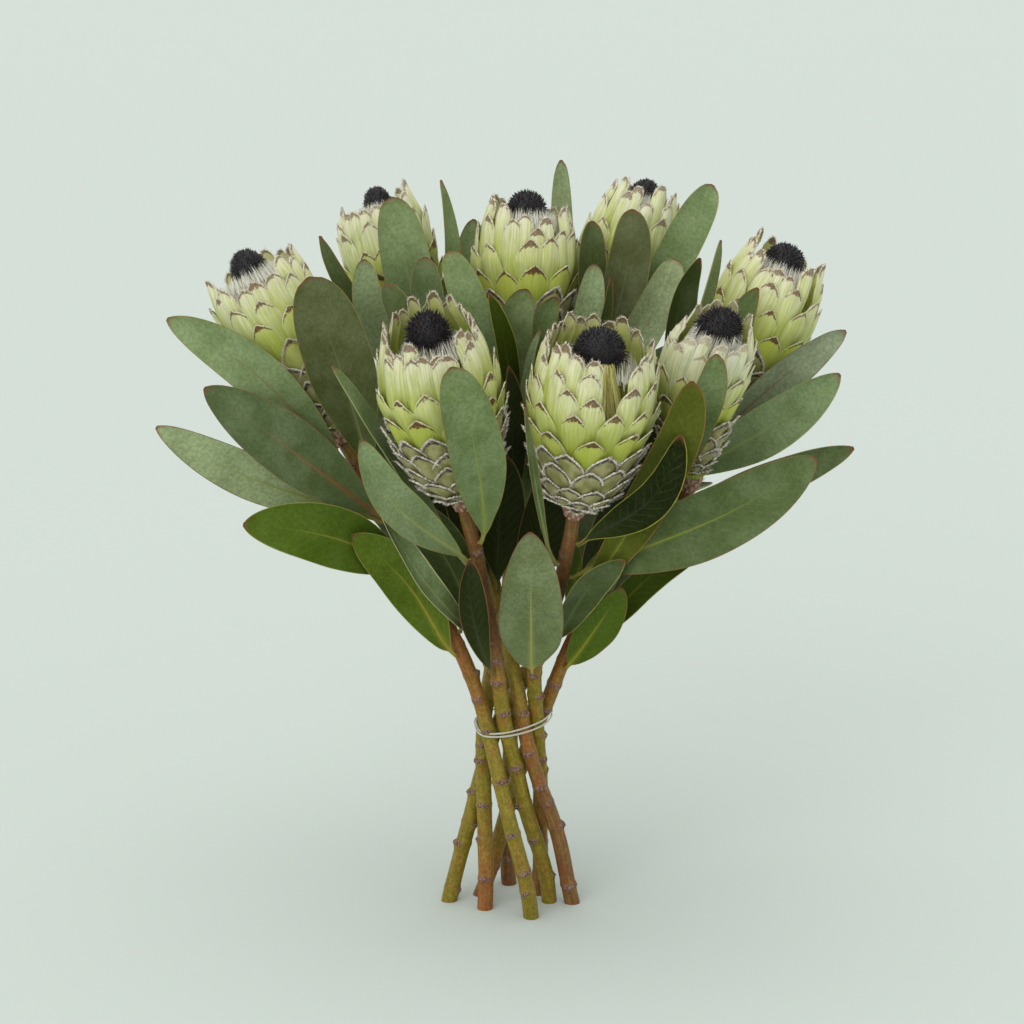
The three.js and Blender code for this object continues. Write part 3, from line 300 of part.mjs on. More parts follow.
    line: [[-3.5,28.5,163.7],[-7.1,37.1,171.7],[-11.0,45.6,179.5],[-15.1,54.6,186.8],[-19.5,64.1,193.1],[-24.2,74.3,198.0],[-29.2,85.0,201.3],[-34.3,95.9,203.4],[-39.4,107.0,204.8],[-44.6,118.0,205.8]],
    face: [[0.27,-0.59,0.76],[0.27,-0.59,0.76],[0.26,-0.56,0.79],[0.23,-0.5,0.83],[0.19,-0.41,0.89],[0.14,-0.3,0.94],[0.09,-0.2,0.97],[0.06,-0.13,0.99],[0.04,-0.09,1.0],[0.03,-0.07,1.0]],
    root: [-1.8,25.6,164.4] },
  { id: 'leaf_back_right_10', stem: 'back_right', own: false, width: 26.0, skew: 1.25, cup: 0.12, tone: 'mid',
    line: [[52.4,64.0,290.8],[62.1,66.0,297.8],[69.0,70.1,306.9],[75.4,74.8,316.2],[82.4,79.7,324.9],[90.7,84.5,332.3],[100.6,88.9,338.0],[111.2,92.9,342.3],[122.3,96.7,345.6],[133.6,100.4,348.5]],
    face: [[-0.53,-0.24,0.81],[-0.62,-0.28,0.74],[-0.68,-0.34,0.65],[-0.66,-0.34,0.67],[-0.6,-0.29,0.75],[-0.49,-0.23,0.84],[-0.37,-0.18,0.91],[-0.28,-0.15,0.95],[-0.22,-0.14,0.96],[-0.2,-0.14,0.97]],
    root: [49.6,65.9,291.5] },
  { id: 'leaf_right_6', stem: 'right', own: false, width: 28.0, skew: 1.25, cup: 0.12, tone: 'mid',
    line: [[42.4,1.1,169.6],[49.4,3.5,177.8],[55.3,4.8,187.0],[61.3,6.1,196.3],[68.0,7.7,204.9],[75.8,10.0,212.4],[84.5,13.0,218.5],[93.9,16.4,223.3],[103.5,20.1,227.4],[113.2,23.9,231.1]],
    face: [[-0.7,-0.25,0.67],[-0.75,-0.26,0.61],[-0.8,-0.26,0.55],[-0.77,-0.25,0.59],[-0.7,-0.24,0.68],[-0.58,-0.21,0.79],[-0.46,-0.17,0.87],[-0.38,-0.14,0.91],[-0.33,-0.12,0.94],[-0.32,-0.11,0.94]],
    root: [40.2,-1.5,170.1] },
  { id: 'leaf_far_left_8', stem: 'far_left', own: false, width: 26.0, skew: 1.25, cup: 0.12, tone: 'mid',
    line: [[-58.4,-12.7,240.7],[-61.6,-6.8,251.5],[-64.7,-1.7,262.9],[-67.8,3.5,274.1],[-71.1,9.7,284.8],[-74.7,17.1,294.5],[-78.4,25.9,303.0],[-82.3,35.5,310.5],[-86.2,45.7,317.2],[-90.1,56.0,323.6]],
    face: [[0.34,-0.78,0.53],[0.36,-0.79,0.49],[0.37,-0.8,0.47],[0.35,-0.78,0.51],[0.32,-0.74,0.6],[0.27,-0.66,0.7],[0.24,-0.58,0.78],[0.21,-0.52,0.83],[0.19,-0.48,0.86],[0.19,-0.46,0.87]],
    root: [-59.5,-15.9,240.1] },
  { id: 'leaf_far_left_9', stem: 'far_left', own: false, width: 24.0, skew: 1.25, cup: 0.12, tone: 'dark',
    line: [[-73.4,-13.1,267.0],[-77.1,-7.5,277.4],[-80.7,-3.0,288.3],[-84.4,1.6,299.2],[-88.4,7.1,309.5],[-92.6,13.8,319.0],[-97.2,21.8,327.2],[-101.8,30.7,334.4],[-106.6,40.0,341.0],[-111.3,49.6,347.2]],
    face: [[0.6,-0.6,0.54],[0.62,-0.6,0.5],[0.64,-0.61,0.47],[0.62,-0.59,0.51],[0.58,-0.57,0.59],[0.52,-0.51,0.68],[0.47,-0.44,0.76],[0.44,-0.39,0.81],[0.42,-0.35,0.84],[0.42,-0.34,0.84]],
    root: [-74.5,-16.3,266.4] },
  { id: 'leaf_back_left_13', stem: 'back_left', own: false, width: 26.0, skew: 1.25, cup: 0.12, tone: 'mid',
    line: [[-24.8,40.3,273.5],[-24.3,48.0,283.4],[-26.2,53.1,294.7],[-28.8,57.9,306.1],[-31.4,63.5,317.0],[-33.7,70.6,327.1],[-35.3,79.4,335.9],[-36.4,89.4,343.6],[-37.2,99.9,350.4],[-37.9,110.6,356.9]],
    face: [[-0.26,-0.76,0.6],[-0.21,-0.84,0.49],[-0.12,-0.92,0.38],[-0.11,-0.91,0.4],[-0.15,-0.86,0.49],[-0.2,-0.77,0.61],[-0.23,-0.66,0.71],[-0.25,-0.58,0.78],[-0.25,-0.53,0.81],[-0.25,-0.51,0.82]],
    root: [-27.4,38.0,273.6] },
  { id: 'leaf_far_right_10', stem: 'far_right', own: false, width: 26.0, skew: 1.25, cup: 0.12, tone: 'mid',
    line: [[83.9,18.4,264.0],[86.4,24.0,274.8],[89.4,28.1,286.0],[92.7,32.3,297.2],[96.2,37.3,308.0],[99.7,43.6,318.1],[103.2,51.3,327.1],[106.7,60.0,335.2],[110.1,69.3,342.7],[113.5,78.8,349.8]],
    face: [[-0.33,-0.8,0.49],[-0.37,-0.81,0.45],[-0.4,-0.81,0.42],[-0.39,-0.8,0.45],[-0.35,-0.77,0.53],[-0.3,-0.71,0.64],[-0.26,-0.64,0.72],[-0.23,-0.58,0.78],[-0.22,-0.55,0.81],[-0.22,-0.54,0.82]],
    root: [85.9,15.8,263.0] },
  { id: 'leaf_right_7', stem: 'right', own: false, width: 26.0, skew: 1.25, cup: 0.12, tone: 'dark',
    line: [[49.6,-3.8,199.5],[51.7,0.6,210.3],[53.1,5.1,221.0],[54.4,10.2,231.6],[55.7,16.1,241.7],[57.1,23.2,250.9],[58.6,31.4,259.2],[60.2,40.4,266.7],[61.9,49.8,273.5],[63.5,59.4,280.1]],
    face: [[-0.58,-0.71,0.4],[-0.57,-0.72,0.39],[-0.54,-0.74,0.4],[-0.52,-0.73,0.45],[-0.49,-0.69,0.53],[-0.45,-0.63,0.63],[-0.43,-0.57,0.7],[-0.42,-0.51,0.75],[-0.41,-0.48,0.78],[-0.4,-0.47,0.79]],
    root: [50.5,-6.8,198.2] },
  { id: 'leaf_back_right_11', stem: 'back_right', own: false, width: 26.0, skew: 1.25, cup: 0.12, tone: 'mid',
    line: [[11.8,37.1,228.3],[11.2,44.8,238.9],[12.9,50.8,250.5],[15.3,56.7,262.1],[17.5,63.4,273.2],[19.3,71.5,283.4],[20.4,81.1,292.3],[20.9,91.7,300.2],[21.1,102.9,307.2],[21.1,114.2,313.9]],
    face: [[0.24,-0.77,0.58],[0.21,-0.84,0.51],[0.15,-0.89,0.43],[0.14,-0.88,0.46],[0.16,-0.83,0.54],[0.18,-0.73,0.65],[0.2,-0.64,0.75],[0.21,-0.56,0.8],[0.21,-0.51,0.83],[0.21,-0.5,0.84]],
    root: [14.6,35.1,227.8] },
  { id: 'leaf_back_centre_11', stem: 'back_centre', own: false, width: 26.0, skew: 1.25, cup: 0.12, tone: 'dark',
    line: [[3.8,43.9,228.7],[6.0,51.9,238.5],[7.8,58.3,249.5],[9.7,64.7,260.5],[11.7,72.0,270.9],[14.2,80.7,280.1],[17.0,90.7,287.6],[20.1,101.6,293.8],[23.3,112.9,299.0],[26.6,124.4,303.9]],
    face: [[-0.16,-0.75,0.65],[-0.17,-0.79,0.58],[-0.19,-0.84,0.52],[-0.18,-0.81,0.55],[-0.16,-0.75,0.65],[-0.12,-0.64,0.76],[-0.09,-0.53,0.84],[-0.07,-0.44,0.89],[-0.05,-0.39,0.92],[-0.05,-0.38,0.93]],
    root: [2.8,40.6,229.3] },
  { id: 'leaf_back_left_14', stem: 'back_left', own: false, width: 28.0, skew: 1.25, cup: 0.12, tone: 'mid',
    line: [[-7.9,3.4,180.5],[-15.3,8.0,188.8],[-20.8,12.0,198.6],[-26.1,16.2,208.6],[-32.2,20.6,218.0],[-39.5,25.7,226.0],[-48.1,31.3,232.3],[-57.4,37.1,237.3],[-67.1,42.9,241.3],[-77.0,48.9,244.8]],
    face: [[0.58,-0.36,0.73],[0.64,-0.41,0.65],[0.69,-0.46,0.56],[0.67,-0.44,0.59],[0.61,-0.39,0.69],[0.51,-0.32,0.8],[0.4,-0.25,0.88],[0.31,-0.2,0.93],[0.26,-0.17,0.95],[0.25,-0.16,0.96]],
    root: [-4.6,2.7,181.5] },
  { id: 'leaf_far_right_11', stem: 'far_right', own: false, width: 26.0, skew: 1.25, cup: 0.12, tone: 'mid',
    line: [[52.7,12.8,206.3],[61.1,18.3,212.8],[68.1,20.7,222.2],[74.9,22.4,232.0],[82.2,24.3,241.3],[90.7,27.3,249.2],[100.3,31.5,255.1],[110.3,36.5,259.5],[120.5,42.0,262.7],[130.7,47.5,265.5]],
    face: [[-0.53,-0.17,0.83],[-0.64,-0.23,0.73],[-0.76,-0.24,0.6],[-0.76,-0.23,0.61],[-0.68,-0.22,0.69],[-0.55,-0.18,0.81],[-0.42,-0.12,0.9],[-0.32,-0.06,0.94],[-0.27,-0.03,0.96],[-0.25,-0.02,0.97]],
    root: [51.4,10.0,207.8] },
  { id: 'leaf_back_centre_12', stem: 'back_centre', own: false, width: 24.0, skew: 1.25, cup: 0.12, tone: 'mid',
    line: [[-2.0,43.0,255.4],[-6.4,44.7,265.9],[-7.7,46.2,277.4],[-8.4,48.0,288.9],[-9.8,50.1,300.2],[-12.9,52.7,311.1],[-17.9,55.8,321.2],[-24.2,59.1,330.3],[-31.3,62.6,338.9],[-38.8,66.2,347.1]],
    face: [[0.51,-0.79,0.34],[0.49,-0.83,0.25],[0.41,-0.9,0.17],[0.4,-0.9,0.19],[0.42,-0.87,0.27],[0.44,-0.81,0.39],[0.41,-0.76,0.5],[0.38,-0.73,0.57],[0.35,-0.71,0.61],[0.34,-0.71,0.62]],
    root: [1.5,43.3,255.2] },
  { id: 'leaf_far_left_10', stem: 'far_left', own: false, width: 26.0, skew: 1.25, cup: 0.12, tone: 'mid',
    line: [[-46.5,-12.3,204.3],[-53.2,-8.2,212.7],[-58.7,-5.9,222.6],[-64.3,-3.7,232.6],[-70.4,-1.2,242.1],[-77.6,2.3,250.4],[-85.9,6.8,257.1],[-94.7,12.0,262.6],[-103.8,17.4,267.2],[-113.0,23.1,271.4]],
    face: [[0.63,-0.37,0.68],[0.7,-0.39,0.6],[0.76,-0.4,0.51],[0.74,-0.39,0.54],[0.68,-0.37,0.64],[0.57,-0.32,0.76],[0.46,-0.26,0.85],[0.38,-0.22,0.9],[0.33,-0.19,0.92],[0.32,-0.18,0.93]],
    root: [-44.7,-15.1,205.0] },
];

// Loop of the rubber band round the stems: centre, height, slope to the back and to the right,
// and the distance to the stems' outline at even angles.
const TIE = { centre: [4.0,-0.8], height: 123.6, rise: 0.14, side: 0.08, radii: [22.3,24.1,21.3,19.1,18.1,18.0,18.9,21.0,22.0,19.9,18.8,18.6,19.4,21.4,23.7,23.5,24.4,26.8,27.3,24.1,22.5,20.3,19.0,18.8,18.5,19.1,20.4,20.8] };

const OUTLINE = [0, 0.1, 0.25, 0.45, 0.65, 0.85, 1.0];

// ---------------------------------------------------------------- colours
const COLOURS = {
  mid: 0x6a7e58, midred: 0x687a57, dark: 0x445238, sat: 0x3f5a20, satdark: 0x3a4a22,
  light: 0x96a28c, grey: 0x7f8a72, grey2: 0x6f8262, greygreen: 0x7b8d72, brown: 0x4d5640,
  stem: 0x827a2a, bract: 0xc3cb96, floret: 0x1b161e, tie: 0xd2d2c3,
};

// ---------------------------------------------------------------- helpers
const V = (a) => new THREE.Vector3(a[0], a[1], a[2]);

// A closed body through rings of points; every ring has the same count.
function loft(rings, capStart = true, capEnd = true) {
  const n = rings[0].length;
  const pos = [];
  const idx = [];
  for (const ring of rings) for (const p of ring) pos.push(p.x, p.y, p.z);
  for (let i = 0; i + 1 < rings.length; i++) {
    for (let j = 0; j < n; j++) {
      const a = i * n + j, b = i * n + (j + 1) % n, c = a + n, d = b + n;
      idx.push(a, b, d, a, d, c);
    }
  }
  const centre = (ring) => ring.reduce((s, p) => s.add(p), new THREE.Vector3()).divideScalar(ring.length);
  if (capStart) {
    const k = pos.length / 3, c = centre(rings[0]);
    pos.push(c.x, c.y, c.z);
    for (let j = 0; j < n; j++) idx.push(k, (j + 1) % n, j);
  }
  if (capEnd) {
    const k = pos.length / 3, c = centre(rings.at(-1)), o = (rings.length - 1) * n;
    pos.push(c.x, c.y, c.z);
    for (let j = 0; j < n; j++) idx.push(k, o + j, o + (j + 1) % n);
  }
  const g = new THREE.BufferGeometry();
  g.setAttribute('position', new THREE.Float32BufferAttribute(pos, 3));
  g.setIndex(idx);
  if (signedVolume(g) < 0) {
    for (let i = 0; i < idx.length; i += 3) [idx[i], idx[i + 1]] = [idx[i + 1], idx[i]];
    g.setIndex(idx);
  }
  g.computeVertexNormals();
  return g;
}

function signedVolume(g) {
  const p = g.getAttribute('position'), ix = g.getIndex();
  const a = new THREE.Vector3(), b = new THREE.Vector3(), c = new THREE.Vector3();
  let v = 0;
  for (let i = 0; i < ix.count; i += 3) {
    a.fromBufferAttribute(p, ix.getX(i)); b.fromBufferAttribute(p, ix.getX(i + 1)); c.fromBufferAttribute(p, ix.getX(i + 2));
    v += a.dot(b.cross(c)) / 6;
  }
  return v;
}

// ---------------------------------------------------------------- stems
function stemGeometry(name) {
  const line = STEMS[name].map(V);
  const rings = [];
  const total = line.length - 1;
  for (let i = 0; i <= total; i++) {
    const t = line[Math.min(i + 1, total)].clone().sub(line[Math.max(i - 1, 0)]).normalize();
    const e1 = new THREE.Vector3(0, 1, 0).cross(t).normalize();
    const e2 = t.clone().cross(e1);
    const r = STEM_FOOT_RADIUS + (STEM_TOP_RADIUS - STEM_FOOT_RADIUS) * i / total;
    const ring = [];
    for (let j = 0; j < STEM_SIDES; j++) {
      const a = 2 * Math.PI * j / STEM_SIDES;
      const p = line[i].clone().addScaledVector(e1, r * Math.cos(a)).addScaledVector(e2, r * Math.sin(a));
      // the foot is cut level, so the bunch stands on flat ends
      if (i === 0) p.addScaledVector(t, -p.z / t.z);
      ring.push(p);
    }
    rings.push(ring);
  }
  return loft(rings);
}

// ---------------------------------------------------------------- leaves
function halfWidth(leaf, t) {
  const a = Math.min(Math.max((t - LEAF_START) / (1 - LEAF_START), 0), 1);
  const peak = Math.pow(0.5, 1 / leaf.skew);
  // a wedge up to the widest point, then a rounded tip
  if (a < peak) return leaf.width / 2 * Math.pow(Math.max(Math.sin(Math.PI * Math.pow(a, leaf.skew)), 0), 0.70);
  const x = (a - peak) / (1 - peak), k = leaf.skew >= 1.35 ? 3.0 : 2.2;
  return leaf.width / 2 * Math.sqrt(Math.max(1 - Math.pow(x, k), 0));
}

function leafGeometry(leaf, rooted) {
  const line = leaf.line.map(V), face = leaf.face.map(V);
  const last = line.length - 1;
  const rings = [];
  const at = (i) => {
    const t = line[Math.min(i + 1, last)].clone().sub(line[Math.max(i - 1, 0)]).normalize();
    const n = face[i].clone().addScaledVector(t, -face[i].dot(t)).normalize();
    return { t, n, w: t.clone().cross(n) };
  };
  const ringAt = (c, f, hw, th) => [-1, -0.36, 0.36, 1, 0.36, -0.36].map((s, k) => {
    const side = k === 0 || k === 3 ? 0 : (k < 3 ? 0.5 : -0.5);
    return c.clone().addScaledVector(f.w, hw * s)
      .addScaledVector(f.n, 2 * leaf.cup * hw * s * s + side * th);
  });
  for (let i = 0; i <= last; i++) {
    const f = at(i), t = i / last;
    const hw = i === last ? 1.4 : Math.max(halfWidth(leaf, t), LEAF_STALK);
    if (i === last) {
      const g = at(i - 1);
      rings.push(ringAt(line[i - 1].clone().lerp(line[i], 0.66), { w: f.w.clone().add(g.w).normalize(), n: f.n.clone().add(g.n).normalize() },
        halfWidth(leaf, (i - 0.34) / last), LEAF_THICKNESS * 0.9));
    }
    const th = i <= 1 ? 1.6 : LEAF_THICKNESS * (i === last ? 0.6 : 1);
    if (i === 0 && rooted) rings.push(ringAt(V(leaf.root), f, LEAF_STALK, 1.6));
    rings.push(ringAt(line[i], f, hw, th));
  }
  return loft(rings);
}

// ---------------------------------------------------------------- heads
function headFrame(head) {
  const a = V(head.axis).normalize();
  const e1 = a.clone().cross(new THREE.Vector3(0, 1, 0)).normalize();
  return { a, e1, e2: a.clone().cross(e1) };
}

function outlineAt(head, h) {
  const y = head.profile;
  for (let i = 1; i < OUTLINE.length; i++) {
    if (h <= OUTLINE[i]) return y[i - 1] + (y[i] - y[i - 1]) * (h - OUTLINE[i - 1]) / (OUTLINE[i] - OUTLINE[i - 1]);
  }
  return y.at(-1);
}

function headRing(head, f, h, radius, ripple) {
  const ring = [];
  for (let j = 0; j < BRACT_COLUMNS; j++) {
    const a = 2 * Math.PI * j / BRACT_COLUMNS;
    const [dr, dz] = ripple(j);
    ring.push(V(head.base).addScaledVector(f.a, head.length * h + dz)
      .addScaledVector(f.e1, (radius + dr) * Math.cos(a)).addScaledVector(f.e2, (radius + dr) * Math.sin(a)));
  }
  return ring;
}

// The overlapping bracts of one head: a cup with a stepped outside, pointed rim and a hollow for the florets.
function bractGeometry(head) {
  const f = headFrame(head), L = head.length, R = head.radius;
  const rings = [];
  const none = () => [0, 0];
  rings.push(headRing(head, f, 0, R * head.profile[0] * 0.9, none));
  const steps = [0.05, 0.12, 0.2, 0.3, 0.4, 0.5, 0.6, 0.7, 0.8, 0.9];
  steps.forEach((h, i) => {
    rings.push(headRing(head, f, h, R * outlineAt(head, h) - 1.1, (j) => [((i + j) % 2 ? -0.9 : 0.7), 0]));
  });
  rings.push(headRing(head, f, 0.99, R * outlineAt(head, 1) - 1.3, (j) => [0, j % 2 ? -3.4 : 1.2]));
  const rin = R * outlineAt(head, 1) * CUP_WALL;
  rings.push(headRing(head, f, 0.95, rin + 1.5, none));
  rings.push(headRing(head, f, 1 - CUP_DEPTH / L, rin - 2.5, none));
  return loft(rings);
}

// The mass of florets inside: a plug that fills the hollow and rises to a dark dome.
function floretGeometry(head) {
  const f = headFrame(head), L = head.length, R = head.radius;
  const rin = R * outlineAt(head, 1) * CUP_WALL;
  const floor = 1 - CUP_DEPTH / L;
  const N = 14;
  const ring = (z, r) => {
    const out = [];
    for (let j = 0; j < N; j++) {
      const a = 2 * Math.PI * j / N;
      out.push(V(head.base).addScaledVector(f.a, z).addScaledVector(f.e1, r * Math.cos(a)).addScaledVector(f.e2, r * Math.sin(a)));
    }
    return out;
  };
  const dome = Math.min(head.dome, rin - 3);
  return loft([
    ring(L * floor + CUP_GAP, rin - 2.5 - CUP_GAP * 1.6),
    ring(L * 0.93, rin + 0.6 - CUP_GAP * 1.6),
    ring(L * 0.965, dome + 1.6),
    ring(L * 0.99, dome * 0.92),
    ring(L * 1.015, dome * 0.66),
    ring(L * 1.03, dome * 0.25),
  ]);
}

// ---------------------------------------------------------------- rubber band
// One strand that goes round twice: high and inside on one turn, low and outside on the other.
function tieGeometry() {
  const n = TIE.radii.length, turns = 2, steps = 56;
  const pts = [];
  for (let k = 0; k < steps; k++) {
    const a = 2 * Math.PI * turns * k / steps;
    const u = ((a / (2 * Math.PI)) % 1) * n;
    const i = Math.floor(u) % n, t = u - Math.floor(u);
    const base = TIE.radii[i] * (1 - t) + TIE.radii[(i + 1) % n] * t;
    const r = base + TIE_OUT + 0.75 * Math.sin(a / 2);
    const x = TIE.centre[0] + r * Math.cos(a), y = TIE.centre[1] + r * Math.sin(a);
    pts.push(new THREE.Vector3(x, y, TIE.height + TIE.rise * y + TIE.side * x + 1.5 * Math.cos(a / 2)));
  }
  const curve = new THREE.CatmullRomCurve3(pts, true, 'centripetal');
  return new THREE.TubeGeometry(curve, 60, TIE_WIRE, 5, true);
}

// ---------------------------------------------------------------- joining leaves to their stem
const wasm = await Module();
wasm.setup();
const { Manifold, Mesh } = wasm;

function toManifold(g) {
  const p = g.getAttribute('position');
  const mesh = new Mesh({ numProp: 3, vertProperties: new Float32Array(p.array), triVerts: new Uint32Array(g.getIndex().array) });
  mesh.merge();
  return new Manifold(mesh);
}

function fromManifold(m) {
  const mesh = m.getMesh();
  const g = new THREE.BufferGeometry();
  g.setAttribute('position', new THREE.Float32BufferAttribute(mesh.vertProperties, 3));
  g.setIndex([...mesh.triVerts]);
  g.computeVertexNormals();
  return g;
}

// ---------------------------------------------------------------- the bunch
const bunch = new THREE.Group();
const skin = (colour, roughness) => new THREE.MeshStandardMaterial({ color: colour, roughness, metalness: 0 });
function add(name, geometry, material) {
  const mesh = new THREE.Mesh(geometry, material);
  mesh.name = name;
  bunch.add(mesh);
}

for (const name of Object.keys(STEMS)) {
  const small = LEAVES.filter((l) => l.stem === name && !l.own);
  const parts = [toManifold(stemGeometry(name)), ...small.map((l) => toManifold(leafGeometry(l, true)))];
  add(`stem_${name}`, fromManifold(parts.length > 1 ? Manifold.union(parts) : parts[0]), skin(COLOURS.stem, 0.65));
}
for (const leaf of LEAVES.filter((l) => l.own)) {
  add(leaf.id, leafGeometry(leaf, false), skin(COLOURS[leaf.tone], 0.6));
}
for (const [name, head] of Object.entries(HEADS)) {
  add(`bracts_${name}`, bractGeometry(head), skin(COLOURS.bract, 0.7));
  add(`florets_${name}`, floretGeometry(head), skin(COLOURS.floret, 0.85));
}
add('rubber_band', tieGeometry(), skin(COLOURS.tie, 0.35));

export default bunch;
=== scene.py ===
import math

import bpy
import numpy as np
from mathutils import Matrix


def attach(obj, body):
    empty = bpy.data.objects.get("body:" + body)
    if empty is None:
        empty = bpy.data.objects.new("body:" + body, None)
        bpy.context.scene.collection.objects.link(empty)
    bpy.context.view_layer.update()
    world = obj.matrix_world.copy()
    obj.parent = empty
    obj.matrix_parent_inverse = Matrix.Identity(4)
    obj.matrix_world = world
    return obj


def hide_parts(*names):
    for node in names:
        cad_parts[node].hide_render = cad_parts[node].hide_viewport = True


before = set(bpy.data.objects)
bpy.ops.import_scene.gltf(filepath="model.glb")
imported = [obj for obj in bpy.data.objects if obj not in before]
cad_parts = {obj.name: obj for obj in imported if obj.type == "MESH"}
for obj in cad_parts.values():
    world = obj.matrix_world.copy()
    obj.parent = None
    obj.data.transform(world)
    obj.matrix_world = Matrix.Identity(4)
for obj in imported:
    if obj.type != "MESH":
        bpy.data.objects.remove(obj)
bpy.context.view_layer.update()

MM = 0.001

STEMS = {
    "far_left": [[14.8,-29.9,0.0],[14.2,-31.3,6.5],[12.5,-33.5,19.7],[8.2,-34.0,38.8],[3.0,-31.4,57.7],[-1.7,-27.0,76.3],[-6.3,-22.2,94.8],[-10.8,-18.3,113.6],[-15.3,-16.0,132.6],[-21.3,-15.3,151.4],[-28.3,-15.7,169.8],[-36.2,-16.4,187.8],[-43.7,-17.1,206.0],[-51.9,-17.7,223.9],[-61.1,-18.2,241.3],[-70.7,-18.4,258.5],[-81.1,-18.5,275.2],[-91.6,-18.4,291.9],[-101.2,-16.6,309.0]],
    "front_left": [[26.6,-4.4,0.0],[26.2,-5.0,5.8],[24.7,-6.3,17.5],[20.8,-8.2,34.2],[15.9,-10.2,50.7],[11.3,-12.2,67.3],[7.6,-14.1,84.1],[3.9,-15.9,100.9],[-0.2,-17.7,117.6],[-3.2,-19.5,134.5],[-5.1,-21.8,151.6],[-6.8,-24.8,168.5],[-9.0,-28.4,185.3],[-11.9,-32.8,201.8],[-15.0,-37.7,218.1],[-17.4,-43.2,234.3],[-19.9,-50.5,249.8],[-23.2,-59.7,264.2],[-26.2,-64.3,280.4]],
    "back_left": [[41.4,-6.0,0.0],[40.0,-6.9,7.0],[37.4,-8.6,21.0],[33.5,-10.7,41.7],[27.8,-12.5,62.0],[20.7,-13.7,81.9],[14.7,-14.1,102.2],[10.1,-13.2,122.8],[6.6,-9.7,143.3],[2.1,-4.2,163.2],[-2.4,2.4,182.8],[-7.2,9.5,202.1],[-12.5,16.8,221.2],[-18.3,24.1,240.2],[-24.3,31.1,259.2],[-30.7,38.2,278.1],[-39.5,46.5,295.4],[-50.5,56.1,310.7],[-56.5,61.3,330.0]],
    "front_right": [[19.0,8.7,0.0],[19.9,8.3,5.8],[21.1,7.1,17.4],[21.1,4.6,34.5],[20.8,1.8,51.6],[21.1,-0.6,68.7],[20.6,-2.8,85.9],[19.4,-4.9,103.0],[18.5,-6.8,120.2],[17.4,-9.3,137.2],[16.7,-12.8,154.1],[18.6,-17.0,170.8],[22.6,-22.3,186.7],[27.1,-28.6,202.2],[31.1,-35.8,217.4],[33.8,-43.7,232.5],[35.8,-52.9,247.0],[37.8,-63.0,261.0],[39.9,-68.3,277.1]],
    "right": [[-17.5,7.1,0.0],[-15.1,8.1,6.0],[-10.9,9.5,18.2],[-5.8,10.0,36.6],[-1.0,9.4,55.0],[4.1,8.3,73.4],[9.5,6.9,91.7],[15.6,5.2,109.7],[22.9,3.1,127.2],[29.3,0.7,145.0],[35.6,-2.0,162.8],[42.8,-5.2,180.2],[51.1,-8.9,197.0],[60.0,-12.9,213.4],[68.8,-17.1,229.8],[78.5,-22.0,245.5],[91.2,-28.3,258.1],[104.8,-35.9,269.4],[109.2,-40.3,287.0]],
    "far_right": [[-38.0,-2.7,0.0],[-36.4,-2.2,7.0],[-33.0,-1.2,21.1],[-27.7,0.4,41.6],[-22.5,2.0,62.2],[-17.3,3.8,82.7],[-11.3,4.7,103.1],[-4.0,3.4,123.0],[6.3,2.1,141.5],[18.0,2.5,159.3],[29.4,4.1,177.2],[40.8,6.1,195.0],[53.1,8.5,212.2],[65.9,10.8,229.0],[77.6,12.5,246.6],[88.9,14.4,264.6],[103.0,18.0,279.9],[120.9,24.2,289.7],[131.0,26.5,307.4]],
    "back_right": [[-14.6,-15.7,0.0],[-14.3,-15.4,7.3],[-14.0,-14.4,21.8],[-14.4,-11.9,43.0],[-15.0,-9.0,64.1],[-15.6,-6.6,85.3],[-15.7,-4.0,106.5],[-14.4,0.2,127.4],[-11.3,5.0,148.0],[-6.4,10.4,168.0],[0.1,16.7,187.4],[7.3,24.2,206.0],[15.2,32.2,224.2],[22.8,40.6,242.3],[30.3,49.3,260.3],[38.7,58.5,277.6],[48.9,68.3,293.6],[58.8,78.0,309.9],[64.1,83.3,329.7]],
    "back_centre": [[0.7,25.4,0.0],[0.2,26.5,6.5],[-0.5,27.8,19.8],[-0.7,26.4,39.2],[-0.3,23.1,58.5],[0.6,19.5,77.7],[1.6,16.6,97.0],[1.6,15.7,116.5],[0.5,17.5,135.9],[-0.4,21.2,155.1],[-0.5,25.8,174.0],[0.2,30.4,193.0],[1.2,34.7,212.1],[2.3,38.7,231.2],[3.5,42.5,250.3],[4.8,46.1,269.4],[6.2,49.3,288.7],[7.6,52.1,308.0],[8.4,55.3,327.2]],
}
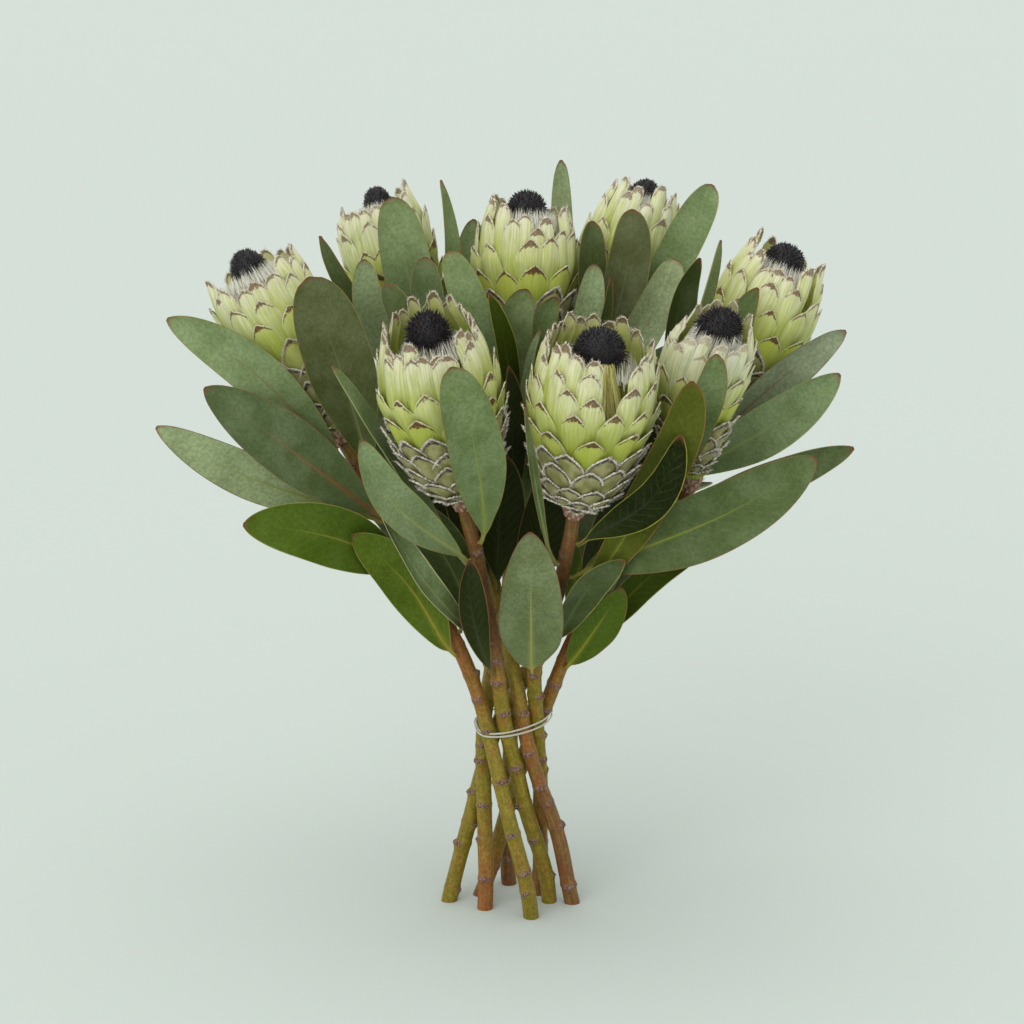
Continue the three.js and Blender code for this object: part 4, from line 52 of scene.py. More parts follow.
HEADS = {
    "far_left": dict(base=[-101.6,-16.5,309.8], axis=[-0.477,0.1097,0.872], length=121.0, radius=36.0, outline=[0.18,0.47,0.7,0.88,1.0,0.95,0.77], dome=10.5, lean=6),
    "back_left": dict(base=[-56.8,61.5,330.8], axis=[-0.2269,0.1845,0.9563], length=120.5, radius=33.5, outline=[0.18,0.5,0.75,0.93,1.0,0.93,0.7], dome=9.5, lean=3),
    "back_centre": dict(base=[8.4,55.5,328.1], axis=[0.0335,0.1735,0.9843], length=116.2, radius=34.5, outline=[0.2,0.5,0.7,0.87,1.0,0.92,0.76], dome=12.5, lean=4),
    "back_right": dict(base=[64.3,83.5,330.6], axis=[0.2085,0.2026,0.9568], length=123.8, radius=32.0, outline=[0.2,0.5,0.75,0.95,1.0,0.86,0.66], dome=10.0, lean=2),
    "far_right": dict(base=[131.3,26.5,308.2], axis=[0.3674,0.0351,0.9294], length=114.8, radius=35.5, outline=[0.18,0.5,0.75,0.94,1.0,0.92,0.76], dome=11.5, lean=11),
    "front_left": dict(base=[-26.4,-64.5,281.3], axis=[-0.1732,-0.2291,0.9579], length=116.5, radius=39.5, outline=[0.22,0.58,0.8,0.93,1.0,0.86,0.65], dome=15.0, lean=27),
    "front_right": dict(base=[40.0,-68.5,278.0], axis=[0.1264,-0.261,0.957], length=110.1, radius=41.0, outline=[0.24,0.58,0.76,0.9,1.0,0.91,0.76], dome=17.0, lean=29),
    "right": dict(base=[109.4,-40.5,287.9], axis=[0.1567,-0.1941,0.9684], length=106.0, radius=34.5, outline=[0.18,0.36,0.58,0.71,0.8,0.77,0.58], dome=13.5, lean=25),
}
LEAVES = [
    dict(id='leaf_front_right_1', key='L33', stem='front_right', own=True, width=41.0, skew=1.12, cup=0.1, tone='grey2',
         line=[[39.4,-41.5,226.8],[53.6,-48.8,236.7],[68.8,-56.4,245.0],[84.6,-63.4,253.0],[100.7,-69.7,261.1],[117.1,-74.7,269.5],[133.6,-77.6,278.5],[150.1,-77.6,288.1],[166.1,-74.8,298.1],[181.6,-70.5,308.2]],
         face=[[-0.35,-0.92,-0.17],[-0.37,-0.92,-0.14],[-0.37,-0.92,-0.11],[-0.34,-0.93,-0.1],[-0.29,-0.95,-0.08],[-0.21,-0.98,-0.05],[-0.09,-1.0,-0.0],[0.04,-1.0,0.07],[0.14,-0.98,0.13],[0.17,-0.97,0.15]],
         root=[35.4,-41.3,227.6]),
    dict(id='leaf_front_right_2', key='L37', stem='front_right', own=True, width=39.0, skew=0.95, cup=0.1, tone='greygreen',
         line=[[15.3,-20.4,159.0],[14.7,-28.5,169.0],[14.5,-36.3,179.1],[14.4,-44.0,189.5],[14.3,-51.2,200.4],[14.2,-57.5,211.7],[14.1,-62.4,223.7],[13.9,-65.3,236.3],[13.7,-66.4,249.2],[13.4,-66.5,262.2]],
         face=[[0.07,-0.76,-0.64],[0.05,-0.77,-0.63],[0.02,-0.79,-0.61],[0.01,-0.82,-0.57],[0.01,-0.85,-0.52],[0.01,-0.9,-0.43],[0.01,-0.95,-0.3],[0.01,-0.99,-0.15],[0.01,-1.0,-0.05],[0.01,-1.0,-0.01]],
         root=[16.4,-16.6,159.9]),
    dict(id='leaf_front_left_1', key='L8', stem='front_left', own=True, width=25.0, skew=1.1, cup=0.14, tone='light',
         line=[[-24.0,-48.6,239.3],[-31.4,-55.9,247.8],[-39.2,-63.7,255.6],[-47.3,-71.5,263.3],[-55.2,-79.1,271.4],[-62.7,-86.3,280.3],[-69.6,-92.7,290.2],[-75.3,-97.7,301.5],[-79.9,-101.5,313.7],[-83.8,-104.5,326.5]],
         face=[[0.71,-0.7,0.03],[0.72,-0.69,0.05],[0.73,-0.68,0.08],[0.72,-0.69,0.06],[0.71,-0.71,0.03],[0.67,-0.74,-0.02],[0.6,-0.79,-0.07],[0.53,-0.85,-0.09],[0.47,-0.88,-0.08],[0.46,-0.89,-0.07]],
         root=[-20.4,-47.0,240.6]),
    dict(id='leaf_front_left_2', key='L38', stem='front_left', own=True, width=32.0, skew=1.4, cup=0.12, tone='mid',
         line=[[-16.0,-56.9,252.7],[-13.8,-68.6,263.6],[-13.8,-79.6,275.4],[-14.3,-90.4,287.6],[-15.4,-100.5,300.3],[-17.0,-109.9,313.4],[-19.2,-118.0,327.3],[-22.4,-123.8,342.1],[-26.6,-126.4,357.6],[-31.4,-126.7,373.1]],
         face=[[-0.09,-0.68,-0.73],[0.03,-0.7,-0.72],[0.19,-0.73,-0.66],[0.24,-0.75,-0.62],[0.27,-0.78,-0.56],[0.29,-0.82,-0.49],[0.3,-0.88,-0.37],[0.29,-0.94,-0.19],[0.26,-0.97,-0.02],[0.24,-0.97,0.05]],
         root=[-19.1,-54.5,253.6]),
    dict(id='leaf_far_left_1', key='L2', stem='far_left', own=True, width=37.0, skew=1.1, cup=0.12, tone='midred',
         line=[[-75.4,-23.6,259.2],[-86.1,-29.9,268.9],[-96.5,-36.2,278.9],[-107.1,-42.4,289.0],[-118.1,-48.0,299.1],[-129.5,-52.6,309.2],[-141.3,-56.1,319.2],[-153.5,-58.8,329.1],[-165.9,-60.8,338.9],[-178.3,-62.5,348.6]],
         face=[[0.54,-0.84,0.04],[0.54,-0.84,0.02],[0.53,-0.85,0.02],[0.51,-0.86,0.04],[0.47,-0.88,0.07],[0.42,-0.9,0.12],[0.37,-0.91,0.17],[0.33,-0.92,0.2],[0.31,-0.92,0.22],[0.3,-0.93,0.23]],
         root=[-73.4,-20.3,260.3]),
    dict(id='leaf_far_left_2', key='L4', stem='far_left', own=True, width=37.0, skew=1.08, cup=0.12, tone='sat',
         line=[[-56.9,-22.3,223.5],[-66.5,-27.7,230.9],[-75.8,-34.0,237.9],[-85.6,-40.5,244.3],[-95.8,-46.8,250.3],[-106.8,-52.5,255.5],[-118.7,-57.3,259.6],[-131.2,-61.0,262.6],[-144.1,-64.0,264.8],[-157.2,-66.5,266.5]],
         face=[[0.53,-0.85,0.06],[0.56,-0.83,0.05],[0.59,-0.81,0.06],[0.58,-0.81,0.09],[0.55,-0.82,0.15],[0.48,-0.85,0.22],[0.39,-0.88,0.29],[0.3,-0.9,0.33],[0.24,-0.91,0.35],[0.22,-0.91,0.35]],
         root=[-54.3,-19.4,224.9]),
    dict(id='leaf_far_left_3', key='L1', stem='far_left', own=True, width=29.0, skew=1.1, cup=0.12, tone='midred',
         line=[[-94.7,-23.8,290.8],[-105.5,-29.8,301.9],[-115.2,-35.2,314.4],[-125.0,-40.0,327.1],[-135.6,-43.7,339.6],[-147.1,-45.9,351.6],[-160.1,-45.6,362.2],[-174.1,-42.7,370.9],[-188.5,-38.1,378.2],[-203.0,-32.7,384.6]],
         face=[[0.42,-0.9,-0.09],[0.39,-0.91,-0.11],[0.35,-0.93,-0.11],[0.31,-0.95,-0.07],[0.27,-0.96,0.01],[0.19,-0.97,0.12],[0.06,-0.97,0.24],[-0.07,-0.94,0.32],[-0.15,-0.92,0.36],[-0.18,-0.91,0.37]],
         root=[-93.0,-20.3,291.9]),
    dict(id='leaf_far_left_4', key='L3', stem='far_left', own=True, width=28.0, skew=1.05, cup=0.12, tone='mid',
         line=[[-76.5,-19.7,256.0],[-91.4,-21.8,262.9],[-106.8,-24.2,268.4],[-122.6,-26.7,273.7],[-138.2,-29.0,279.4],[-153.6,-30.9,285.7],[-168.7,-32.3,293.0],[-183.3,-33.3,301.2],[-197.5,-34.0,310.1],[-211.6,-34.5,319.2]],
         face=[[0.28,-0.9,0.34],[0.27,-0.89,0.35],[0.27,-0.89,0.37],[0.26,-0.89,0.37],[0.26,-0.9,0.36],[0.26,-0.9,0.35],[0.25,-0.91,0.34],[0.25,-0.91,0.33],[0.24,-0.91,0.33],[0.24,-0.91,0.32]],
         root=[-73.1,-18.9,258.0]),
    dict(id='leaf_far_left_5', key='L5', stem='far_left', own=True, width=31.0, skew=1.1, cup=0.12, tone='sat',
         line=[[-32.2,-21.5,171.0],[-38.7,-26.4,179.9],[-44.2,-29.0,190.5],[-49.6,-31.1,201.3],[-55.4,-33.3,211.9],[-61.9,-35.9,221.9],[-69.2,-39.1,231.3],[-77.0,-42.7,240.0],[-85.2,-46.7,248.2],[-93.6,-50.7,256.2]],
         face=[[0.54,-0.84,-0.09],[0.46,-0.88,-0.07],[0.38,-0.93,-0.02],[0.37,-0.93,0.01],[0.38,-0.92,0.02],[0.42,-0.91,0.03],[0.45,-0.89,0.04],[0.48,-0.88,0.06],[0.49,-0.87,0.07],[0.49,-0.87,0.08]],
         root=[-30.5,-17.9,171.8]),
    dict(id='leaf_far_left_6', key='L6', stem='far_left', own=True, width=38.0, skew=1.45, cup=0.12, tone='dark',
         line=[[-80.3,-23.3,281.3],[-83.7,-29.3,295.8],[-87.0,-35.6,310.2],[-90.3,-41.9,324.7],[-93.8,-48.0,339.4],[-97.4,-53.5,354.1],[-101.4,-58.3,369.1],[-105.8,-62.0,384.3],[-110.5,-64.6,399.5],[-115.5,-66.5,414.8]],
         face=[[0.31,-0.9,-0.31],[0.31,-0.89,-0.32],[0.32,-0.89,-0.32],[0.32,-0.9,-0.31],[0.32,-0.91,-0.28],[0.31,-0.92,-0.24],[0.3,-0.94,-0.18],[0.29,-0.95,-0.11],[0.28,-0.96,-0.05],[0.27,-0.96,-0.03]],
         root=[-82.4,-20.2,279.9]),
    dict(id='leaf_far_right_1', key='L30', stem='far_right', own=True, width=24.0, skew=1.25, cup=0.14, tone='grey',
         line=[[119.7,18.5,292.6],[129.3,15.5,301.7],[137.7,10.5,311.0],[146.0,5.2,320.6],[154.5,0.2,330.2],[163.5,-4.2,339.7],[173.2,-7.0,349.0],[183.8,-7.4,357.6],[195.1,-5.2,365.2],[206.4,-1.5,372.0]],
         face=[[-0.01,-0.95,-0.32],[-0.05,-0.93,-0.37],[-0.08,-0.9,-0.43],[-0.07,-0.9,-0.43],[-0.06,-0.92,-0.4],[-0.02,-0.94,-0.34],[0.06,-0.97,-0.25],[0.18,-0.97,-0.14],[0.29,-0.95,-0.06],[0.33,-0.94,-0.04]],
         root=[119.5,21.8,290.2]),
    dict(id='leaf_far_right_2', key='L31', stem='far_right', own=True, width=31.0, skew=1.25, cup=0.12, tone='mid',
         line=[[98.4,10.2,273.0],[109.7,5.2,281.2],[120.9,-0.6,288.9],[132.2,-6.8,296.5],[143.6,-12.6,304.4],[155.0,-17.8,312.6],[166.3,-21.9,321.4],[177.6,-24.9,330.8],[188.8,-27.0,340.5],[199.9,-28.5,350.5]],
         face=[[-0.29,-0.94,-0.19],[-0.32,-0.92,-0.2],[-0.36,-0.91,-0.21],[-0.34,-0.92,-0.2],[-0.31,-0.93,-0.2],[-0.25,-0.95,-0.18],[-0.18,-0.97,-0.15],[-0.12,-0.99,-0.12],[-0.08,-0.99,-0.09],[-0.06,-0.99,-0.08]],
         root=[96.9,13.9,273.4]),
    dict(id='leaf_far_right_3', key='L32', stem='far_right', own=True, width=24.0, skew=1.25, cup=0.12, tone='mid',
         line=[[80.2,9.2,240.0],[94.2,6.2,247.8],[108.3,2.7,255.2],[122.7,-0.9,262.4],[137.2,-4.5,269.4],[151.7,-8.0,276.3],[166.4,-11.2,283.1],[181.2,-13.8,289.8],[196.3,-15.5,296.2],[211.6,-16.5,302.3]],
         face=[[-0.17,-0.98,-0.08],[-0.19,-0.98,-0.08],[-0.21,-0.97,-0.08],[-0.21,-0.98,-0.08],[-0.2,-0.98,-0.07],[-0.19,-0.98,-0.07],[-0.17,-0.98,-0.05],[-0.13,-0.99,-0.03],[-0.08,-1.0,-0.01],[-0.06,-1.0,-0.0]],
         root=[77.0,11.1,241.7]),
    dict(id='leaf_right_1', key='L41', stem='right', own=True, width=22.0, skew=1.5, cup=0.12, tone='mid',
         line=[[72.6,-26.0,243.7],[76.7,-36.3,257.3],[82.3,-46.5,270.7],[88.0,-56.6,284.2],[93.9,-66.5,297.8],[99.8,-75.8,311.7],[105.7,-84.6,326.1],[111.5,-92.1,341.1],[116.9,-96.4,357.4],[120.2,-92.2,374.2]],
         face=[[-0.07,-0.8,-0.6],[-0.11,-0.8,-0.59],[-0.15,-0.81,-0.56],[-0.15,-0.83,-0.54],[-0.14,-0.84,-0.52],[-0.12,-0.86,-0.5],[-0.08,-0.89,-0.46],[-0.01,-0.94,-0.35],[0.14,-0.99,-0.04],[0.2,-0.96,0.2]],
         root=[75.0,-22.8,243.0]),
    dict(id='leaf_front_right_3', key='L42', stem='front_right', own=True, width=23.0, skew=1.5, cup=0.12, tone='satdark',
         line=[[29.9,-28.1,191.5],[42.0,-39.6,207.0],[51.8,-50.2,224.8],[61.2,-60.6,243.1],[70.3,-70.8,261.6],[79.0,-80.7,280.5],[87.3,-90.3,299.7],[95.0,-99.3,319.3],[101.5,-107.2,339.9],[104.7,-111.6,362.2]],
         face=[[-0.28,-0.86,-0.42],[-0.22,-0.87,-0.44],[-0.14,-0.88,-0.45],[-0.11,-0.89,-0.44],[-0.08,-0.89,-0.44],[-0.06,-0.9,-0.43],[-0.03,-0.91,-0.42],[0.02,-0.92,-0.39],[0.12,-0.95,-0.3],[0.18,-0.96,-0.21]],
         root=[26.7,-26.3,193.2]),
    dict(id='leaf_front_right_4', key='L40', stem='front_right', own=True, width=6.66, skew=1.25, cup=0.14, tone='light',
         line=[[29.3,-50.6,237.8],[25.3,-61.4,248.6],[22.9,-72.1,260.0],[20.7,-82.8,271.6],[18.8,-93.1,283.5],[16.9,-103.2,295.7],[15.2,-112.6,308.4],[13.4,-121.0,321.8],[11.7,-127.7,336.1],[10.0,-133.0,351.0]],
         face=[[0.87,-0.47,-0.13],[0.84,-0.49,-0.22],[0.79,-0.52,-0.32],[0.77,-0.54,-0.35],[0.75,-0.56,-0.35],[0.74,-0.58,-0.34],[0.73,-0.61,-0.32],[0.71,-0.65,-0.26],[0.7,-0.69,-0.2],[0.69,-0.7,-0.17]],
         root=[32.8,-48.7,238.6]),
    dict(id='leaf_front_right_5', key='L44', stem='front_right', own=True, width=23.0, skew=1.25, cup=0.12, tone='sat',
         line=[[42.7,-59.6,252.4],[49.6,-67.4,259.6],[56.7,-75.9,265.9],[64.0,-84.4,272.0],[71.3,-92.7,278.7],[78.5,-100.2,286.1],[85.5,-106.4,294.9],[91.4,-109.5,305.8],[95.9,-109.2,317.8],[99.3,-107.1,330.0]],
         face=[[-0.43,-0.79,-0.43],[-0.48,-0.77,-0.42],[-0.53,-0.74,-0.41],[-0.5,-0.76,-0.42],[-0.44,-0.79,-0.43],[-0.32,-0.84,-0.43],[-0.12,-0.93,-0.36],[0.09,-0.98,-0.16],[0.21,-0.98,0.03],[0.23,-0.97,0.11]],
         root=[38.9,-58.8,253.7]),
    dict(id='leaf_right_2', key='L34', stem='right', own=True, width=21.0, skew=1.1, cup=0.12, tone='satdark',
         line=[[44.9,-8.4,172.7],[52.3,-13.4,180.0],[58.6,-17.9,188.8],[64.7,-22.3,197.9],[71.0,-26.5,207.1],[77.7,-30.5,215.9],[85.2,-34.2,224.2],[94.0,-37.5,231.3],[104.1,-40.2,236.7],[114.9,-42.5,241.0]],
         face=[[-0.23,-0.89,-0.4],[-0.17,-0.9,-0.41],[-0.07,-0.91,-0.41],[-0.05,-0.92,-0.4],[-0.05,-0.92,-0.38],[-0.07,-0.93,-0.36],[-0.11,-0.94,-0.31],[-0.14,-0.96,-0.25],[-0.14,-0.97,-0.19],[-0.14,-0.97,-0.18]],
         root=[42.2,-5.8,174.3]),
    dict(id='leaf_right_3', key='L35', stem='right', own=True, width=16.74, skew=1.05, cup=0.14, tone='light',
         line=[[42.5,-12.0,182.6],[45.2,-18.4,190.5],[48.4,-23.5,199.1],[51.9,-28.3,207.9],[55.4,-32.9,216.8],[59.0,-37.5,225.7],[62.7,-42.2,234.5],[66.4,-47.1,243.2],[70.1,-52.4,251.6],[73.9,-57.8,260.0]],
         face=[[-0.31,-0.77,-0.55],[-0.3,-0.82,-0.49],[-0.28,-0.87,-0.41],[-0.27,-0.89,-0.37],[-0.27,-0.9,-0.35],[-0.27,-0.89,-0.35],[-0.29,-0.88,-0.37],[-0.31,-0.87,-0.38],[-0.33,-0.86,-0.4],[-0.34,-0.85,-0.41]],
         root=[43.5,-8.1,182.8]),
    dict(id='leaf_right_4', key='L36', stem='right', own=True, width=25.0, skew=1.0, cup=0.12, tone='mid',
         line=[[36.5,-7.6,158.7],[40.5,-12.7,165.2],[44.6,-17.1,172.3],[48.6,-21.4,179.6],[52.5,-25.6,186.9],[56.3,-30.0,194.3],[59.8,-34.7,201.5],[63.2,-39.7,208.7],[66.3,-44.9,215.9],[69.3,-50.2,223.0]],
         face=[[-0.26,-0.81,-0.52],[-0.22,-0.84,-0.49],[-0.16,-0.88,-0.45],[-0.14,-0.88,-0.45],[-0.13,-0.88,-0.45],[-0.13,-0.87,-0.48],[-0.13,-0.85,-0.51],[-0.13,-0.84,-0.53],[-0.12,-0.82,-0.55],[-0.12,-0.82,-0.56]],
         root=[35.4,-3.9,159.7]),
    dict(id='leaf_front_left_3', key='L7', stem='front_left', own=True, width=19.0, skew=1.25, cup=0.14, tone='light',
         line=[[-23.9,-42.6,235.5],[-33.8,-46.8,249.7],[-43.1,-51.0,264.5],[-52.4,-55.3,279.3],[-61.4,-60.0,294.3],[-70.1,-65.2,309.2],[-78.4,-71.3,324.0],[-86.1,-78.4,338.7],[-93.1,-86.7,353.1],[-99.8,-95.5,367.3]],
         face=[[0.81,-0.32,0.49],[0.82,-0.32,0.47],[0.84,-0.33,0.44],[0.85,-0.33,0.42],[0.86,-0.33,0.4],[0.87,-0.33,0.37],[0.89,-0.32,0.34],[0.9,-0.31,0.29],[0.92,-0.3,0.26],[0.92,-0.3,0.25]],
         root=[-19.9,-43.4,235.8]),
    dict(id='leaf_back_left_1', key='L9', stem='back_left', own=True, width=31.0, skew=1.45, cup=0.12, tone='mid',
         line=[[-45.2,48.6,310.2],[-49.0,47.6,325.4],[-51.9,45.0,340.7],[-54.4,41.9,356.1],[-57.0,38.9,371.6],[-59.5,36.3,387.1],[-62.2,34.2,402.7],[-65.1,33.4,418.3],[-68.4,34.4,433.9],[-72.0,36.9,449.2]],
         face=[[0.21,-0.98,-0.03],[0.21,-0.97,-0.08],[0.21,-0.97,-0.15],[0.21,-0.97,-0.15],[0.21,-0.97,-0.14],[0.2,-0.97,-0.11],[0.2,-0.98,-0.06],[0.18,-0.98,0.04],[0.16,-0.98,0.15],[0.15,-0.97,0.2]],
         root=[-46.5,51.5,307.6]),
    dict(id='leaf_back_left_2', key='L15', stem='back_left', own=True, width=17.0, skew=1.25, cup=0.12, tone='mid',
         line=[[-46.6,53.2,314.6],[-46.2,54.1,330.5],[-44.0,53.3,346.2],[-41.4,52.3,362.1],[-39.0,51.7,378.1],[-37.2,51.6,394.1],[-36.4,52.8,410.2],[-37.1,55.5,426.1],[-39.1,59.8,441.5],[-41.9,64.9,456.6]],
         face=[[0.84,-0.54,-0.01],[0.83,-0.55,-0.08],[0.81,-0.56,-0.16],[0.81,-0.56,-0.16],[0.82,-0.56,-0.12],[0.84,-0.55,-0.05],[0.85,-0.53,0.06],[0.85,-0.5,0.18],[0.83,-0.48,0.28],[0.83,-0.47,0.31]],
         root=[-49.0,55.0,311.9]),
    dict(id='leaf_back_right_1', key='L25', stem='back_right', own=True, width=26.0, skew=1.45, cup=0.12, tone='mid',
         line=[[55.4,68.3,305.7],[63.4,67.5,322.4],[71.4,66.4,339.1],[79.5,65.3,356.0],[87.6,64.6,372.8],[95.9,64.6,389.6],[104.3,65.8,406.3],[113.0,69.1,422.5],[121.9,75.7,437.6],[130.7,84.9,451.3]],
         face=[[0.07,-0.99,-0.09],[0.06,-0.99,-0.1],[0.06,-0.99,-0.1],[0.07,-0.99,-0.09],[0.08,-0.99,-0.06],[0.1,-0.99,-0.02],[0.14,-0.99,0.06],[0.21,-0.96,0.19],[0.29,-0.9,0.32],[0.33,-0.87,0.37]],
         root=[55.0,71.8,303.8]),
    dict(id='leaf_back_right_2', key='L23', stem='back_right', own=True, width=28.0, skew=1.45, cup=0.12, tone='brown',
         line=[[47.6,63.6,297.7],[52.3,63.0,313.1],[56.8,61.0,328.5],[61.1,58.6,344.0],[65.2,56.4,359.7],[69.2,54.4,375.4],[72.8,53.0,391.3],[75.9,52.7,407.3],[77.7,54.7,423.4],[78.0,59.4,439.1]],
         face=[[0.05,-1.0,-0.07],[0.04,-0.99,-0.11],[0.03,-0.99,-0.15],[0.03,-0.99,-0.15],[0.04,-0.99,-0.14],[0.05,-0.99,-0.12],[0.08,-0.99,-0.07],[0.11,-0.99,0.04],[0.14,-0.97,0.19],[0.14,-0.95,0.28]],
         root=[48.4,66.6,295.0]),
    dict(id='leaf_far_right_4', key='L29', stem='far_right', own=False, width=22.0, skew=1.25, cup=0.12, tone='mid',
         line=[[110.9,17.7,289.9],[116.2,14.2,302.1],[119.9,9.0,314.4],[123.3,3.7,326.7],[126.6,-1.5,339.1],[130.1,-6.5,351.5],[133.8,-11.0,364.1],[138.0,-14.7,376.8],[143.5,-15.8,389.3],[151.1,-11.5,400.0]],
         face=[[0.02,-0.96,-0.28],[0.03,-0.94,-0.34],[0.05,-0.91,-0.4],[0.06,-0.91,-0.41],[0.06,-0.92,-0.39],[0.06,-0.93,-0.37],[0.06,-0.94,-0.33],[0.08,-0.97,-0.21],[0.17,-0.99,0.04],[0.26,-0.95,0.19]],
         root=[111.7,19.7,287.2]),
    dict(id='leaf_back_centre_1', key='L16', stem='back_centre', own=True, width=21.0, skew=1.5, cup=0.12, tone='mid',
         line=[[3.0,46.0,299.7],[-0.8,42.2,312.9],[-4.6,37.2,325.8],[-8.7,31.9,338.7],[-12.8,26.9,351.6],[-17.1,22.4,364.7],[-21.5,18.9,378.0],[-26.3,17.4,391.6],[-31.2,19.7,404.9],[-36.1,25.5,417.3]],
         face=[[0.38,-0.91,-0.17],[0.4,-0.9,-0.2],[0.41,-0.88,-0.23],[0.41,-0.88,-0.22],[0.41,-0.89,-0.19],[0.39,-0.91,-0.15],[0.36,-0.93,-0.05],[0.29,-0.95,0.13],[0.21,-0.91,0.37],[0.17,-0.87,0.47]],
         root=[5.6,49.1,299.2]),
    dict(id='leaf_back_left_3', key='L14', stem='back_left', own=True, width=22.0, skew=1.5, cup=0.12, tone='mid',
         line=[[-39.7,43.6,302.2],[-42.3,41.3,314.6],[-44.0,37.1,326.6],[-45.5,32.3,338.8],[-46.8,27.7,351.0],[-48.0,23.3,363.3],[-49.1,19.5,375.8],[-50.0,16.9,388.6],[-50.6,17.0,401.6],[-50.8,20.5,414.3]],
         face=[[0.26,-0.96,-0.14],[0.26,-0.94,-0.22],[0.25,-0.92,-0.31],[0.24,-0.91,-0.32],[0.24,-0.92,-0.31],[0.23,-0.93,-0.29],[0.21,-0.95,-0.22],[0.19,-0.98,-0.08],[0.18,-0.97,0.14],[0.17,-0.95,0.26]],
         root=[-40.7,46.4,299.5]),
    dict(id='leaf_back_centre_2', key='L19', stem='back_centre', own=True, width=22.0, skew=1.5, cup=0.12, tone='mid',
         line=[[6.5,45.7,307.3],[6.3,42.0,317.1],[5.7,37.7,326.7],[4.9,33.1,336.3],[4.2,28.5,346.0],[3.8,24.1,355.7],[4.0,20.0,365.6],[5.0,16.6,375.6],[7.8,14.4,385.7],[11.9,13.5,395.5]],
         face=[[0.15,-0.92,-0.37],[0.17,-0.9,-0.39],[0.2,-0.89,-0.41],[0.19,-0.89,-0.41],[0.18,-0.9,-0.41],[0.15,-0.91,-0.39],[0.1,-0.93,-0.36],[0.04,-0.96,-0.27],[0.0,-0.99,-0.15],[0.0,-1.0,-0.1]],
         root=[7.2,49.7,306.7]),
    dict(id='leaf_back_centre_3', key='L18', stem='back_centre', own=False, width=15.0, skew=1.25, cup=0.12, tone='satdark',
         line=[[5.2,44.7,295.2],[4.2,39.6,306.4],[3.4,33.3,317.0],[2.5,26.7,327.4],[1.4,20.2,337.9],[0.1,14.2,348.6],[-1.5,8.8,359.6],[-3.9,4.9,371.1],[-7.3,3.5,382.9],[-11.3,4.1,394.5]],
         face=[[0.55,-0.78,-0.3],[0.55,-0.75,-0.35],[0.56,-0.73,-0.4],[0.57,-0.72,-0.4],[0.58,-0.73,-0.37],[0.59,-0.75,-0.31],[0.59,-0.78,-0.21],[0.58,-0.81,-0.04],[0.55,-0.83,0.14],[0.52,-0.82,0.22]],
         root=[6.1,48.0,294.7]),
    dict(id='leaf_back_centre_4', key='L20', stem='back_centre', own=False, width=15.81, skew=1.5, cup=0.12, tone='mid',
         line=[[9.6,48.0,317.1],[11.2,44.7,325.3],[12.6,41.1,333.4],[13.8,37.4,341.5],[15.3,33.8,349.6],[16.9,30.3,357.6],[19.0,27.0,365.7],[21.7,24.3,373.8],[25.5,22.4,381.7],[29.9,21.0,389.4]],
         face=[[0.21,-0.89,-0.4],[0.22,-0.88,-0.41],[0.23,-0.87,-0.43],[0.23,-0.87,-0.43],[0.21,-0.88,-0.43],[0.19,-0.89,-0.42],[0.16,-0.91,-0.38],[0.13,-0.94,-0.33],[0.12,-0.96,-0.26],[0.12,-0.96,-0.24]],
         root=[8.7,51.3,316.5]),
    dict(id='leaf_back_centre_5', key='L20b', stem='back_centre', own=False, width=8.0, skew=1.25, cup=0.12, tone='light',
         line=[[6.5,43.3,287.5],[7.7,39.7,296.8],[8.5,35.3,305.9],[9.1,30.7,315.0],[9.9,26.2,324.0],[10.8,21.9,333.1],[11.9,18.0,342.4],[13.5,14.9,351.9],[16.3,14.1,361.6],[20.6,17.5,370.0]],
         face=[[0.5,-0.78,-0.37],[0.51,-0.77,-0.39],[0.52,-0.75,-0.41],[0.52,-0.75,-0.42],[0.52,-0.75,-0.41],[0.51,-0.77,-0.4],[0.49,-0.79,-0.37],[0.47,-0.84,-0.28],[0.51,-0.86,-0.08],[0.56,-0.83,0.04]],
         root=[6.2,46.7,286.9]),
    dict(id='leaf_back_right_3', key='L24', stem='back_right', own=False, width=17.0, skew=1.6, cup=0.12, tone='light',
         line=[[41.4,58.6,288.3],[43.6,56.4,301.7],[44.8,52.5,314.9],[45.8,48.3,328.0],[46.7,44.1,341.1],[47.7,40.1,354.2],[48.8,36.4,367.5],[50.0,33.5,380.9],[51.8,32.5,394.5],[54.2,34.1,408.0]],
         face=[[0.27,-0.94,-0.2],[0.28,-0.93,-0.25],[0.29,-0.91,-0.3],[0.3,-0.9,-0.31],[0.3,-0.9,-0.31],[0.3,-0.91,-0.29],[0.3,-0.92,-0.25],[0.3,-0.94,-0.17],[0.31,-0.95,-0.03],[0.32,-0.95,0.05]],
         root=[42.4,61.1,286.2]),
    dict(id='leaf_back_right_4', key='L22', stem='back_right', own=False, width=18.0, skew=1.6, cup=0.12, tone='dark',
         line=[[52.7,70.8,307.4],[53.6,70.2,321.3],[53.5,67.8,335.1],[53.3,65.3,348.9],[53.0,62.8,362.7],[52.6,60.7,376.5],[52.4,59.2,390.4],[52.4,59.0,404.4],[52.8,61.8,418.1],[53.9,68.4,430.4]],
         face=[[0.4,-0.91,-0.07],[0.41,-0.9,-0.11],[0.43,-0.89,-0.15],[0.43,-0.89,-0.15],[0.43,-0.89,-0.14],[0.43,-0.9,-0.11],[0.43,-0.9,-0.05],[0.42,-0.9,0.08],[0.43,-0.86,0.29],[0.44,-0.81,0.39]],
         root=[54.3,73.0,305.2]),
    dict(id='leaf_back_right_5', key='L22b', stem='back_right', own=False, width=9.0, skew=1.25, cup=0.12, tone='dark',
